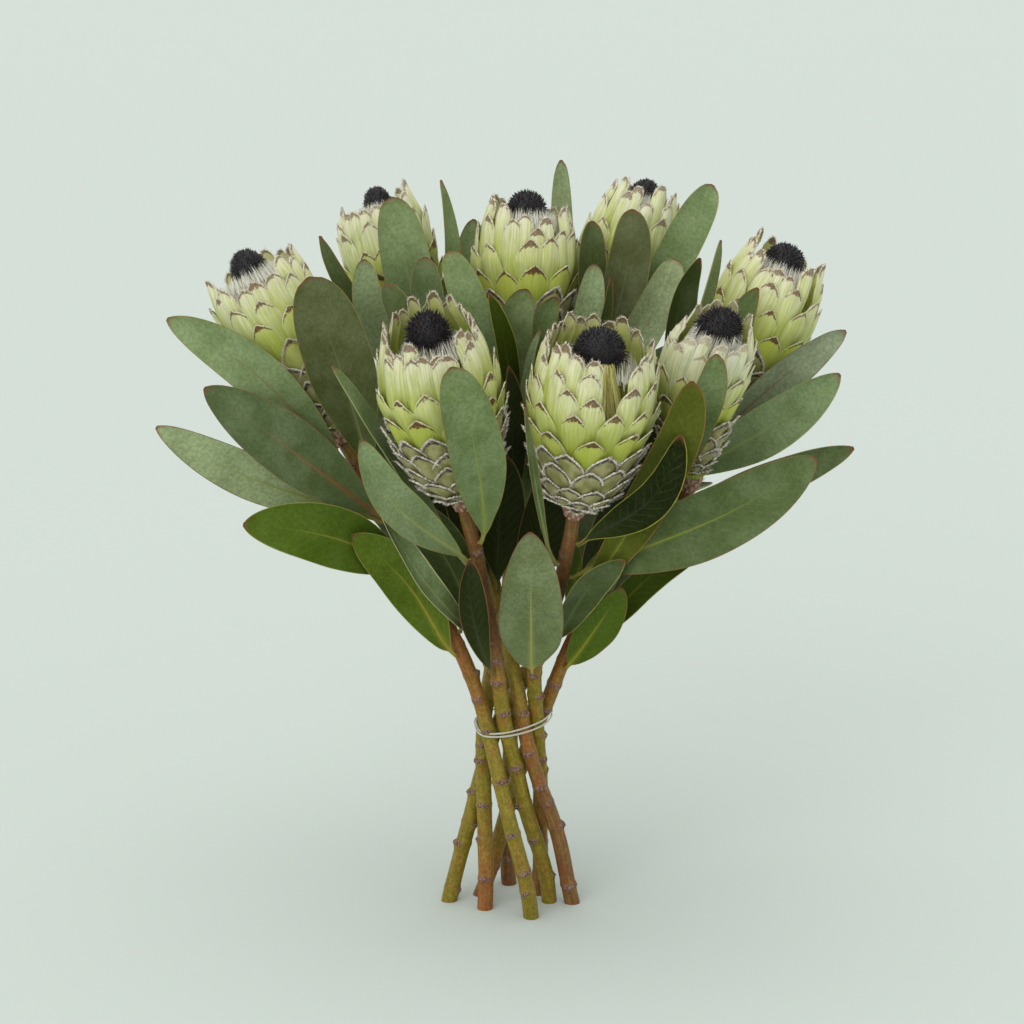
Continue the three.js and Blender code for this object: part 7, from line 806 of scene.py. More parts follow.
def leaf_material():
    g = Nodes("leaf")
    lx, ly, edge, t = g.num("lx"), g.num("ly"), g.num("edge"), g.num("t")
    hw, under, rnd, length = g.num("hw"), g.num("under"), g.num("rnd"), g.num("len")
    tone, rib, margin, bloom = g.vec("tone"), g.vec("rib"), g.vec("margin"), g.num("bloom")
    seed = g.mul(rnd, 57.0)
    p = g.xyz(lx, ly, seed)
    cloud = g.noise(p, 0.055, 3.0, 0.55)
    mottle = g.noise(p, 0.5, 4.0, 0.62)
    grain = g.noise(p, 2.6, 3.0, 0.6)
    ax = g.m("ABSOLUTE", lx)

    col = g.mix(g.mul(g.mul(g.ease(cloud, 0.35, 0.68), 0.34), bloom), tone, g.mix(0.55, tone, lin(160, 172, 140)))
    col = g.mix(g.mul(g.ease(cloud, 0.60, 0.30), 0.42), col, g.mix(0.5, tone, lin(52, 66, 22)))
    col = g.mix(g.ease(mottle, 0.36, 0.64), g.mix(0.30, col, lin(44, 58, 26)), col)
    col = g.mix(g.mul(g.mul(g.ease(grain, 0.45, 0.7), 0.13), bloom), col, lin(186, 196, 160))

    # the bloom is thinner near the stalk, so the blade is greener there
    col = g.mix(g.mul(g.ease(t, 0.50, 0.08), 0.45), col, g.mix(0.5, tone, lin(76, 96, 30)))

    # side veins: they leave the midrib at about 35 degrees and bend up towards the margin
    bend = g.mul(g.mul(ax, ax), 0.020)
    warp = g.mul(g.sub(g.noise(p, 0.12, 2.0, 0.5), 0.5), 5.5)
    side = g.ease(lx, -0.01, 0.01)
    k = g.add(g.sub(ly, g.add(g.mul(ax, 1.25), bend)), g.add(warp, g.mul(side, 3.1)))
    saw = g.m("ABSOLUTE", g.sub(g.m("FRACT", g.mul(k, 1.0 / 7.6)), 0.5))
    vein = g.mul(g.ease(saw, 0.075, 0.0), g.mul(g.ease(ax, 0.35, 0.6), g.ease(edge, 1.6, 4.5)))
    saw2 = g.m("ABSOLUTE", g.sub(g.m("FRACT", g.mul(g.add(k, g.mul(g.noise(p, 0.3, 2.0, 0.5), 9.0)), 1.0 / 2.9)), 0.5))
    vein2 = g.mul(g.ease(saw2, 0.12, 0.0), g.ease(edge, 1.0, 3.0))
    veins = g.add(g.mul(vein, 0.11), g.mul(vein2, 0.03))
    col = g.mix(veins, col, g.mix(0.5, rib, lin(178, 188, 130)))

    # midrib: a pale line, wider at the stalk
    ribw = g.add(0.34, g.mul(g.ease(t, 0.85, 0.0), 0.66))
    wobble = g.mul(g.sub(g.noise(g.xyz(0.0, g.mul(ly, 0.25), seed), 1.0, 1.0, 0.5), 0.5), 0.35)
    rx = g.m("ABSOLUTE", g.add(lx, wobble))
    ribm = g.ease(rx, g.mul(ribw, 1.25), g.mul(ribw, 0.45))
    ribm = g.mul(ribm, g.ease(t, 0.985, 0.55))
    halo = g.mul(g.ease(rx, g.mul(ribw, 4.0), ribw), g.mul(g.ease(t, 0.8, 0.05), 0.35))
    col = g.mix(halo, col, rib)
    col = g.mix(g.mul(ribm, g.sub(0.80, g.mul(g.ease(t, 0.35, 0.9), 0.55))), col, rib)
    # stalk
    col = g.mix(g.ease(t, 0.10, 0.03), col, g.mix(0.35, rib, lin(150, 132, 62)))

    # margin line and reddish tip
    mw = g.noise(g.xyz(g.mul(ly, 0.12), seed, 0.0), 1.0, 1.0, 0.5)
    mline = g.ease(g.add(edge, g.mul(g.sub(mw, 0.5), 0.5)), 0.62, 0.22)
    col = g.mix(g.mul(mline, 0.85), col, margin)
    tipd = g.mul(g.sub(1.0, t), length)
    blush = g.mul(g.ease(tipd, 7.5, 0.5), g.ease(edge, 3.2, 0.4))
    col = g.mix(g.mul(blush, 0.6), col, lin(120, 74, 54))
    col = g.mix(g.mul(g.ease(tipd, 1.8, 0.3), 0.6), col, lin(96, 56, 42))

    # blemishes: small brown specks, and a few pale scuffs
    sp = g.spots(p, 0.115)
    col = g.mix(g.mul(g.ease(sp, 0.075, 0.035), 0.7), col, lin(92, 74, 44))
    sp2 = g.spots(g.xyz(g.add(lx, 31.0), g.mul(ly, 0.8), seed), 0.055)
    col = g.mix(g.mul(g.ease(sp2, 0.07, 0.02), 0.35), col, lin(60, 58, 30))
    scuff = g.ease(g.noise(g.xyz(g.mul(lx, 0.35), g.mul(ly, 0.06), g.add(seed, 9.0)), 1.0, 4.0, 0.7), 0.66, 0.78)
    col = g.mix(g.mul(g.mul(scuff, 0.22), bloom), col, lin(196, 200, 176))
    # the underside is paler and greyer
    col = g.mix(g.mul(under, g.add(0.10, g.mul(bloom, 0.30))), col, lin(150, 162, 122))
    g.set("Base Color", col)
    g.set("Roughness", g.add(0.50, g.mul(g.ease(cloud, 0.3, 0.7), 0.16)))
    g.set("Specular IOR Level", g.add(0.06, g.mul(bloom, 0.10)))
    g.set("Subsurface Weight", 0.04)
    g.set("Subsurface Radius", (0.5, 0.9, 0.2))
    g.set("Subsurface Scale", 0.0008)
    h = g.add(g.mul(mottle, 0.35), g.add(g.mul(grain, 0.22), g.add(g.mul(vein, -0.5), g.mul(ribm, 0.7))))
    g.set("Normal", g.bump(h, 0.28, 0.0005))
    return g.mat


def stem_material():
    g = Nodes("stem")
    sx, sy, knot, tone, cut, rnd = g.num("sx"), g.num("sy"), g.num("knot"), g.vec("tone"), g.num("cut"), g.num("rnd")
    ca, sa = g.num("ca"), g.num("sa")
    seed = g.mul(rnd, 43.0)
    p = g.xyz(g.mul(ca, 4.6), g.mul(sa, 4.6), g.add(sy, seed))
    long = g.xyz(g.mul(ca, 4.6), g.mul(sa, 4.6), g.add(g.mul(sy, 0.09), seed))
    cloud = g.noise(p, 0.10, 3.0, 0.6)
    mott = g.noise(p, 0.55, 4.0, 0.65)
    streak = g.noise(long, 0.75, 3.0, 0.6)
    col = g.mix(g.mul(g.ease(cloud, 0.48, 0.72), 0.62), tone, lin(150, 84, 44))
    col = g.mix(g.mul(g.ease(cloud, 0.48, 0.26), 0.50), col, lin(112, 112, 24))
    col = g.mix(g.mul(g.ease(streak, 0.40, 0.65), 0.45), col, g.mix(0.55, tone, lin(176, 158, 70)))
    col = g.mix(g.mul(g.ease(mott, 0.62, 0.40), 0.42), col, lin(74, 58, 26))
    # fine pale lenticels and dark specks
    sp = g.spots(p, 0.42)
    col = g.mix(g.mul(g.ease(sp, 0.17, 0.08), 0.45), col, lin(86, 56, 38))
    sp2 = g.spots(g.xyz(g.mul(ca, 4.6), g.mul(sa, 4.6), g.add(g.mul(sy, 0.6), g.add(seed, 20.0))), 0.30)
    col = g.mix(g.mul(g.ease(sp2, 0.10, 0.04), 0.5), col, lin(190, 160, 110))
    rough = g.noise(p, 1.6, 4.0, 0.7)
    scar = g.mix(g.ease(rough, 0.40, 0.66), lin(72, 46, 40), lin(168, 138, 118))
    col = g.mix(g.ease(knot, 0.22, 0.7), col, scar)
    wood = g.mix(g.ease(g.noise(p, 0.9, 3.0, 0.6), 0.3, 0.7), lin(176, 158, 108), lin(206, 190, 146))
    col = g.mix(cut, col, wood)
    g.set("Base Color", col)
    g.set("Roughness", g.add(0.42, g.mul(g.ease(knot, 0.2, 0.7), 0.35)))
    g.set("Specular IOR Level", 0.25)
    h = g.add(g.mul(mott, 0.5), g.add(g.mul(streak, 0.5), g.mul(g.mul(rough, knot), 1.8)))
    g.set("Normal", g.bump(h, 0.35, 0.0008))
    return g.mat


def band_material():
    g = Nodes("rubber_band")
    u = g.num("u")
    n = g.noise(g.xyz(u, 0.0, 0.0), 0.4, 3.0, 0.6)
    g.set("Base Color", g.mix(n, lin(196, 198, 182), lin(228, 230, 216)))
    g.set("Roughness", 0.32)
    g.set("Transmission Weight", 0.35)
    g.set("IOR", 1.45)
    g.set("Normal", g.bump(n, 0.2, 0.0002))
    return g.mat


MAT = dict(bract=bract_material(), wool=hair_material(), floret=floret_material(),
           leaf=leaf_material(), stem=stem_material(), band=band_material())


# ------------------------------------------------------------------ flower heads
KNOTS_X = [0, 0.1, 0.25, 0.45, 0.65, 0.85, 1.0]

# per head: bracts in a row, how far the crown opens, how much lower its near side is, where it is
# highest, seed, length of the dome's spikes, dome top, white silk, gap in the crown
STYLE = {
    "front_right": dict(per=11.5, close=0.0, cap=0.0, open=0.0, drop=0.03, soft=1.0, tall=(0.02, 2.6), seed=71, spike=2.5, top=None, squash=0.98, white=0.5, sheen=0.06, gap=(0.32, 0.21)),
    "front_left": dict(per=10.5, close=0.0, cap=0.0, open=0.0, drop=0.095, soft=1.0, tall=(0.03, 2.8), seed=62, spike=3.6, top=None, squash=1.25, white=0.9, sheen=0.20, gap=None),
    "right": dict(per=9.5, close=0.0, cap=0.0, open=-0.3, drop=0.11, soft=1.0, tall=(0.01, -2.6), seed=83, spike=3.0, top=None, squash=0.92, white=1.0, sheen=0.80, gap=None),
    "back_centre": dict(per=10.5, close=0.0, cap=0.015, open=0.0, drop=0.10, tall=(0.01, -1.4), seed=34, spike=2.2, top=1.063, squash=0.9, white=0.9, sheen=0.28, gap=None),
    "far_left": dict(per=9.5, close=0.0, cap=0.035, open=0.2, drop=0.09, tall=(0.01, 1.8), seed=15, spike=1.9, top=1.065, squash=1.0, white=1.0, sheen=0.22, gap=None),
    "back_left": dict(per=10.5, close=0.02, cap=0.07, open=0.0, drop=0.04, tall=(0.05, 1.6), seed=26, spike=1.6, top=1.045, squash=1.0, white=1.0, sheen=0.45, gap=None),
    "back_right": dict(per=9.5, close=0.0, cap=0.04, open=0.6, drop=0.02, tall=(0.03, -1.7), seed=47, spike=1.6, top=1.035, squash=1.0, white=1.0, sheen=0.45, gap=None),
    "far_right": dict(per=10.5, close=0.05, cap=0.01, open=0.2, drop=0.09, tall=(0.02, -1.9), seed=58, spike=2.2, top=1.06, squash=1.0, white=1.0, sheen=0.18, gap=None),
}
DOME = {"far_left": 1.12, "far_right": 1.15, "front_left": 0.95, "front_right": 0.94, "back_centre": 1.05, "right": 1.05}
BEND = {"right": 6.0, "back_right": 4.5, "far_right": 1.5}
SWELL = {"back_centre": 1.10, "right": 1.08, "back_right": 1.10, "far_right": 1.04}
ROWS_NEAR = [0.04, 0.11, 0.19, 0.28, 0.385, 0.49, 0.60, 0.72, 0.85, 0.96, 1.04]
ROWS_LEFT = [0.04, 0.11, 0.19, 0.28, 0.37, 0.46, 0.555, 0.66, 0.80, 1.00, 1.045]
ROWS_FAR = [0.04, 0.11, 0.19, 0.28, 0.38, 0.48, 0.60, 0.745, 0.89, 1.035]


class Head:
    def __init__(self, name):
        h = HEADS[name]
        self.name = name
        self.base = np.array(h["base"], float)
        self.a = unit(np.array(h["axis"], float))
        self.L, self.R, self.dome = h["length"], h["radius"], h["dome"]
        self.lean = math.radians(h["lean"])
        self.e1 = unit(np.cross(self.a, [0.0, 1.0, 0.0]))
        self.e2 = np.cross(self.a, self.e1)
        # angle round the axis that faces the camera
        view = unit(np.array([OFFSET[0], OFFSET[1] - 1455.4, 621.9]) - self.base)
        self.front = math.atan2(view @ self.e2, view @ self.e1)
        self.dome *= DOME.get(name, 1.0)
        hs = np.linspace(-0.03, 1.16, 240)
        y = np.interp(np.clip(hs, 0, 1), KNOTS_X, h["outline"])
        y = y * (1 + (SWELL.get(name, 1.0) - 1) * np.clip(np.sin(np.clip(hs, 0, 1) * math.pi), 0, 1))
        y = np.where(hs < 0, h["outline"][0] + hs * 1.5, y)
        slope = (h["outline"][-1] - h["outline"][-2]) / 0.15
        y = np.where(hs > 1, h["outline"][-1] + slope * (hs - 1) * 0.9, y)
        y = y * (1 - STYLE[name]["close"] * smooth(hs, 0.64, 1.06) ** 1.2)
        ker = np.exp(-0.5 * (np.arange(-12, 13) / 5.0) ** 2)
        ys = np.convolve(np.pad(y, 12, mode="edge"), ker / ker.sum(), mode="valid")
        ys = np.where(hs < 0.05, np.minimum(y, ys), ys)
        self.z = hs * self.L
        self.r = ys * self.R
        self.s = np.r_[0, np.cumsum(np.hypot(np.diff(self.z), np.diff(self.r)))]

    def at(self, s):
        """Radius, height and slope of the outline at a distance along it."""
        r = np.interp(s, self.s, self.r)
        z = np.interp(s, self.s, self.z)
        dr = np.interp(s + 1.5, self.s, self.r) - np.interp(s - 1.5, self.s, self.r)
        dz = np.interp(s + 1.5, self.s, self.z) - np.interp(s - 1.5, self.s, self.z)
        k = np.hypot(dr, dz)
        return r, z, dr / k, dz / k

    def place(self, r, z, th):
        c, s = np.cos(th), np.sin(th)
        # a slight bow of the head towards the left
        bow = -BEND.get(self.name, 0.0) * np.sin(np.clip(z / self.L, 0, 1) * math.pi)
        return (self.base + z[..., None] * self.a + (r * c)[..., None] * self.e1 + (r * s)[..., None] * self.e2
                + bow[..., None] * np.array([1.0, 0.0, 0.0]))


def build_head(name):
    hd = Head(name)
    st = STYLE[name]
    rg = np.random.default_rng(st["seed"])
    B, H = Builder(), Builder()
    L, R = hd.L, hd.R
    per = st["per"]
    nu, nv = 13, 17
    U = np.array([-1, -0.95, -0.86, -0.70, -0.48, -0.24, 0, 0.24, 0.48, 0.70, 0.86, 0.95, 1.0])
    faces = sheet_faces(nv, nu)
    tips_at = ROWS_NEAR if name == "front_right" else ROWS_LEFT if name == "front_left" else ROWS_FAR
    rows = len(tips_at)
    count = int(per * (rows - 1)) + 11
    phase = rg.random() * 6.28
    for i in range(count):
        q = min(i / per, rows - 1.0)
        th0 = phase + i * 2 * math.pi / per + rg.normal(0, 0.07)
        turn = th0 - hd.front
        crown = float(smooth(q, rows - 2.4, rows - 1.3))
        ht = float(np.interp(q, np.arange(rows), tips_at)) + rg.normal(0, 0.012) + rg.normal(0, 0.017) * crown
        ht = ht + rg.normal(0, 0.010) * float(smooth(ht, 0.55, 0.8))
        ht = ht - st["cap"] * crown - st["drop"] * crown * (0.5 + 0.5 * math.cos(turn) if "soft" in st else max(0.0, math.cos(turn)))
        ht = ht + st["tall"][0] * max(0.0, math.cos(turn - st["tall"][1])) * crown
        low = 1 - float(smooth(ht, 0.52, 0.60))
        up = float(smooth(ht, 0.60, 0.98))
        big = float(smooth(ht, 0.42, 0.72))
        if st["gap"] and q > rows - 2.5:
            d = (turn - st["gap"][0] + math.pi) % (2 * math.pi) - math.pi
            if abs(d) < st["gap"][1]:
                continue
        s_tip = float(np.interp(ht * L, hd.z, hd.s))
        r_tip = float(np.interp(s_tip, hd.s, hd.r))
        spacing = 2 * math.pi * r_tip / per
        length = 16 + 9 * float(smooth(q, 0, 3)) + 25 * big + rg.normal(0, 0.8)
        width = max(9.0, spacing * (1.30 - 0.16 * big)) * (1 - 0.24 * crown) * rg.uniform(0.90, 1.06)
        half = width / 2
        pw = 2.9 - 0.7 * big - 0.3 * crown
        kk = (1.12 + 0.10 * big + 0.40 * crown) * rg.uniform(0.9, 1.12)
        d = 0.2 + (length - 0.2) * np.linspace(0, 1, nv) ** 1.6
        d = d[::-1]                                   # base row first, tip row last
        k_ = kk * (d + 0.25 + 0.35 * crown) / half
        hw = half * k_ / (1 + k_ ** pw) ** (1 / pw)
        neck = 1 - (0.36 * big) * smooth(d, length * 0.34, length)
        hw = np.maximum(hw * neck, 0.3)
        dhw = np.gradient(hw, d)
        perp = 1 / np.sqrt(1 + dhw ** 2)
        s = np.maximum(s_tip - d, 0.0)
        r, z, tr, tz = hd.at(s)
        v = 1 - d / length
        over = 3.0 + 3.2 * big
        lift = rg.normal(0, 0.25)
        # free tip: lower scales stand off a little, crown bracts open or close
        flare = (0.55 + lift) * np.exp(-d / 5.0) * (1 - crown)
        flare = flare + st["open"] * crown * np.exp(-d / 15.0) + rg.normal(0, 0.9) * crown * np.exp(-d / 12.0)
        flare = flare - 0.8 * big * np.exp(-d / 3.2)
        out = -over * (1 - v) ** 0.85 + flare
        sway = rg.normal(0, 0.7) * big * smooth(d, length * 0.8, 0)
        ragged = (0.16 + 0.34 * crown) * rg.normal(0, 1, (nv, 2)) * smooth(d, 16, 3)[:, None]
        x = U[None] * hw[:, None] + sway[:, None]
        x = x + np.where(U[None] > 0, ragged[:, :1], ragged[:, 1:]) * np.abs(U[None]) ** 3
        nr, nz = tz, -tr                                # outward normal in the (r, z) plane
        cross = (1.4 + 1.9 * big) * (U[None] ** 2) * (hw / half)[:, None]      # edges turn in
        keel = 0.35 * np.exp(-(U[None] / 0.22) ** 2) * (1 - big)
        ed = (1 - np.abs(U[None])) * hw[:, None] * perp[:, None]
        edge = np.minimum(ed, d[:, None] * 0.9)
        grit = rg.normal(0, 0.13, (nv, nu))
        rimh = (0.80 - 0.58 * big) * np.exp(-(edge / 1.0) ** 2) + grit * np.exp(-(edge / 1.2) ** 2) * (2.2 - 1.0 * big)
        wave = 0.3 * big * np.sin(x * 0.5 + rg.random() * 6) * smooth(d, 0, 14)[:, None]
        o = out[:, None] - cross + keel + rimh + wave
        rr = np.maximum(r[:, None] + nr[:, None] * o, 2.0)
        zz = z[:, None] + nz[:, None] * o
        th = th0 + x / np.maximum(r[:, None] + out[:, None] * 0.5, 4.0)
        top = hd.place(rr, zz, th)
        thick = 0.40 + 0.45 * smooth(edge, 0, 2.2) + 0.25 * (1 - big)
        rr2 = np.maximum(rr - nr[:, None] * thick, 1.4)
        zz2 = zz - nz[:, None] * thick
        under = hd.place(rr2, zz2, th)
        V = np.concatenate([top.reshape(-1, 3), under.reshape(-1, 3)])
        two = lambda a: np.tile(np.broadcast_to(a, (nv, nu)).ravel(), 2)
        B.add(V, faces, tip=two(d[:, None] * np.ones(nu)), edge=two(edge), low=low, up=up, wood=0.0,
              inner=np.r_[np.zeros(nv * nu), np.ones(nv * nu)], rnd=rg.random(),
              across=two(x), along=two(s[:, None] * np.ones(nu)),
              sheen=st["sheen"] * float(smooth(ht, 0.62, 0.90)) * two(smooth(d, length, length * 0.35)[:, None] * np.ones(nu)))
        # wool: short hairs along the free margin
        nh = int(24 + 70 * low + 60 * crown)
        sd = rg.choice([-1.0, 1.0], nh)
        reach = 7.5 + 3.5 * low
        dd = rg.random(nh) ** 1.3 * reach + 0.15
        hwd = np.interp(dd, d[::-1], hw[::-1])
        uu = sd * rg.uniform(0.86, 1.0, nh)
        xx = uu * hwd
        ii = np.interp(dd, d[::-1], np.arange(nv)[::-1].astype(float))
        i0 = np.clip(ii.astype(int), 0, nv - 2)
        f = ii - i0
        jj = np.where(sd < 0, 0, nu - 1)
        root = top[i0, jj] * (1 - f)[:, None] + top[i0 + 1, jj] * f[:, None]
        mid = top[i0, nu // 2] * (1 - f)[:, None] + top[i0 + 1, nu // 2] * f[:, None]
        root = root + (mid - root) * rg.uniform(0.0, 0.16, nh)[:, None]
        outw = unit(root - mid + 1e-6)
        along = unit(top[-1, nu // 2] - top[-4, nu // 2])
        nrm_ = unit(hd.place(np.array([1.0]), np.array([0.0]), np.array([th0]))[0] - hd.base)
        k2 = np.clip(dd / reach, 0, 1)[:, None]
        dirh = unit(outw * (0.35 + 0.45 * k2) + along * (1.05 - 0.5 * k2) + nrm_ * rg.normal(0.22, 0.28, nh)[:, None]
                    + rg.normal(0, 0.22, (nh, 3)))
        hl = rg.uniform(0.5, 1.4, nh) * (1.0 + 0.5 * crown + 0.35 * low)
        Vh, Fh, part, which = cones(root + dirh * hl[:, None], root - dirh * 0.25, rg.uniform(0.09, 0.16, nh), 3)
        kind = (rg.random(nh) < (0.16 + 0.14 * up)).astype(float)
        H.add(Vh, tris=Fh, kind=kind[which], part=part, rnd=rg.random(nh)[which])
    # woody collar under the head, and the body that the bracts stand on
    n, zs = 28, np.array([-3.5, -2.0, 0.5, 3.0, 5.0, 8.0])
    body_z = np.r_[zs, np.linspace(14, L * 0.62, 12)]
    prof = np.r_[4.2, 5.4, 6.3, 7.2, 9.0, 12.0, np.interp(body_z[6:], hd.z, hd.r) - 8.6]
    ang = np.linspace(0, 2 * math.pi, n, endpoint=False)
    rr = prof[:, None] * (1 + 0.05 * np.sin(ang[None] * 5 + np.arange(len(prof))[:, None]))
    V = hd.place(rr, np.repeat(body_z[:, None], n, 1), np.repeat(ang[None], len(prof), 0)).reshape(-1, 3)
    quads = grid_quads(len(prof), n, wrap=True)
    c0, c1 = len(V), len(V) + 1
    V = np.concatenate([V, [hd.base + hd.a * body_z[0]], [hd.base + hd.a * body_z[-1]]])
    k = (len(prof) - 1) * n
    tris = [[c0, (j + 1) % n, j] for j in range(n)] + [[c1, k + j, k + (j + 1) % n] for j in range(n)]
    wood = np.r_[np.repeat((body_z < 4.0).astype(float), n), 1.0, 0.0]
    B.add(V, quads, tris, tip=30.0, edge=4.0, low=0.0, up=0.0, wood=wood, inner=0.0, rnd=0.5,
          across=np.r_[np.tile(ang * 12, len(prof)), 0, 0], along=np.r_[np.repeat(body_z, n), 0, 0])
    # small scales that wrap the collar
    for j in range(22):
        th0 = phase + j * 2.4
        z0 = -3.0 + 7.5 * (j / 22.0)
        d = np.linspace(7.5, 0.2, 7)
        hw = np.maximum(3.6 * (1 - np.exp(-1.6 * d / 3.6)), 0.3)
        u = np.linspace(-1, 1, 7)
        x = u[None] * hw[:, None]
        rbase = 5.0 + 2.6 * (z0 + 3) / 7.5
        rr = (rbase + 0.5 + (7.5 - d) * 0.22)[:, None] + 0 * x
        zz = (z0 - d + 4.5)[:, None] + 0 * x
        th = th0 + x / rr
        top = hd.place(rr + 0.35, zz, th)
        low = hd.place(rr - 0.35, zz, th)
        two = lambda a: np.tile(np.broadcast_to(a, (7, 7)).ravel(), 2)
        B.add(np.concatenate([top.reshape(-1, 3), low.reshape(-1, 3)]), sheet_faces(7, 7),
              tip=two(d[:, None] * 0.4), edge=two((1 - np.abs(u[None])) * hw[:, None] * 0.9), low=1.0, up=0.0, wood=1.0,
              inner=0.0, rnd=rg.random(),
              across=two(x), along=two(d[:, None] + 0 * x))
    B.object("bracts_%s_scales" % name, MAT["bract"], "bract", ("bracts_" + name,))
    H.object("wool_%s_fringe" % name, MAT["wool"], "bract")

    # ---- florets
    F = Builder()
    Rd, sq = hd.dome, st["squash"]
    if st["top"]:
        z0 = 0.950 * L
        sq = (st["top"] * L - z0) / Rd
    else:
        z0 = 0.97 * L - (sq - math.sin(hd.lean)) / 2 * Rd / math.cos(hd.lean)
    spike = st["spike"]
    core = Rd - spike * 0.75
    nr_, nc = 9, 36
    pol = np.linspace(0.10, 1.75, nr_)
    ang = np.linspace(0, 2 * math.pi, nc, endpoint=False)
    rr = core * np.sin(pol)[:, None] * np.ones(nc)
    zz = z0 + core * sq * np.cos(pol)[:, None] * np.ones(nc)
    V = hd.place(rr, zz, np.repeat(ang[None], nr_, 0)).reshape(-1, 3)
    V = np.concatenate([V, [hd.base + hd.a * (z0 + core * sq)], [hd.base + hd.a * (z0 - core * 0.3)]])
    n = nr_ * nc
    tris = [[n, j, (j + 1) % nc] for j in range(nc)] + [[n + 1, n - nc + (j + 1) % nc, n - nc + j] for j in range(nc)]
    F.add(V, grid_quads(nr_, nc, wrap=True, flip=True), tris, kind=0.0, part=0.0, rnd=0.0)
    N = int(520 * (Rd / 16.0) ** 2)
    i = np.arange(N) + 0.5
    cosp = 1 - i / N * (1 - math.cos(1.80))
    sinp = np.sqrt(1 - cosp ** 2)
    az = i * 2.399963 + rg.normal(0, 0.9, N) / np.sqrt(i)
    dirn = hd.place(sinp, cosp * sq, az) - hd.base
    dirn = unit(dirn)
    root = hd.place(core * 0.97 * sinp, z0 + core * 0.97 * sq * cosp, az)
    low_ = smooth(cosp, 0.35, -0.15)[:, None]
    dirn = unit(dirn + hd.a * (0.16 - 0.55 * low_) + rg.normal(0, 0.19, (N, 3)))
    ln = spike * rg.uniform(0.6, 1.35, N) * (1 + 0.75 * low_[:, 0])
    Vc, Fc, part, which = cones(root + dirn * ln[:, None], root, rg.uniform(0.42, 0.62, N), 5)
    F.add(Vc, tris=Fc, kind=0.0, part=part, rnd=rg.random(N)[which])
    # styles: straw-coloured threads that fan out from under the dome
    M = 210
    az = rg.random(M) * 2 * math.pi
    r_in = rg.uniform(Rd * 0.55, Rd * 0.98, M)
    rim = float(np.interp(L, hd.z, hd.r))
    tips = hd.place(r_in, z0 + rg.uniform(-1.5, 2.0, M), az)
    roots = hd.place(np.minimum(r_in * 1.15 + rg.uniform(0, 4, M), rim - 5), np.full(M, z0) - rg.uniform(26, 40, M), az + rg.normal(0, 0.12, M))
    Vc, Fc, part, which = cones(tips, roots, 0.55, 4)
    F.add(Vc, tris=Fc, kind=1.0, part=part * 0.6, rnd=rg.random(M)[which])
    if st["gap"]:
        M = 230
        az = hd.front + st["gap"][0] + rg.uniform(-1.6, 1.6, M) * st["gap"][1]
        zt = z0 - rg.uniform(0.5, 3.0, M)
        zr = z0 - rg.uniform(26, 40, M)
        rt = Rd * rg.uniform(0.80, 1.0, M)
        rb = np.interp(zr, hd.z, hd.r) - rg.uniform(3.5, 8.0, M)
        Vc, Fc, part, which = cones(hd.place(rb, zr, az + rg.normal(0, 0.05, M)), hd.place(rt, zt, az), 0.5, 4)
        F.add(Vc, tris=Fc, kind=1.0, part=0.5 * (1 - part), rnd=rg.random(M)[which])
    # silky white hairs between the dome and the bracts
    W = int(620 * st["white"])
    az = rg.random(W) * 2 * math.pi
    f = rg.random(W)
    r0 = Rd * 0.98 + f * max(rim - 6.5 - Rd, 2.0)
    zt = z0 - 1.0 - 3.5 * f + rg.normal(0, 1.0, W) + rg.uniform(0, 2.5, W)
    tips = hd.place(r0 * rg.uniform(0.86, 1.0, W), zt, az + rg.normal(0, 0.05, W))
    roots = hd.place(r0 + rg.uniform(0.3, 1.5, W), zt - rg.uniform(7, 13, W), az)
    if st["gap"]:
        off = (az - hd.front - st["gap"][0] + math.pi) % (2 * math.pi) - math.pi
        keep = np.abs(off) > st["gap"][1] * 1.5
        tips, roots, W = tips[keep], roots[keep], int(keep.sum())
    Vc, Fc, part, which = cones(tips, roots, rg.uniform(0.22, 0.5, W), 3)
    F.add(Vc, tris=Fc, kind=2.0, part=part, rnd=rg.random(W)[which])
    F.object("florets_%s_dome" % name, MAT["floret"], "floret", ("florets_" + name,))


# ------------------------------------------------------------------ leaves
# blade colour and how much grey bloom covers it
TONE = {
    # the darkest green, for the leaves inside the bunch, is a dark leaf colour darkened further as painted shade
    "mid": (lin(108, 128, 76), 1.0), "dark": (lin(66, 78, 36), 0.5), "deep_green_painted_shade": (lin(38, 44, 12), 0.1),
    "sat": (lin(78, 100, 18), 0.15), "sat2": (lin(98, 120, 30), 0.2), "satdark": (lin(54, 68, 2), 0.0), "light": (lin(134, 152, 106), 1.0),
    "pale": (lin(156, 172, 128), 1.0), "grey": (lin(140, 150, 120), 1.0), "grey2": (lin(84, 101, 52), 0.7), "greygreen": (lin(106, 120, 76), 1.0),
    "brown": (lin(86, 92, 52), 0.6), "soft": (lin(122, 142, 92), 1.0), "cool": (lin(84, 100, 60), 0.8),
    # the palest green is a leaf underside colour lightened further as painted light, for a leaf that faces down into
    # shade
    "slate": (lin(80, 94, 52), 0.7), "back": (lin(194, 210, 168), 1.0), "moss": (lin(98, 118, 66), 0.9),
    "olive": (lin(86, 94, 20), 0.1), "black": (lin(22, 28, 2), 0.0),
}
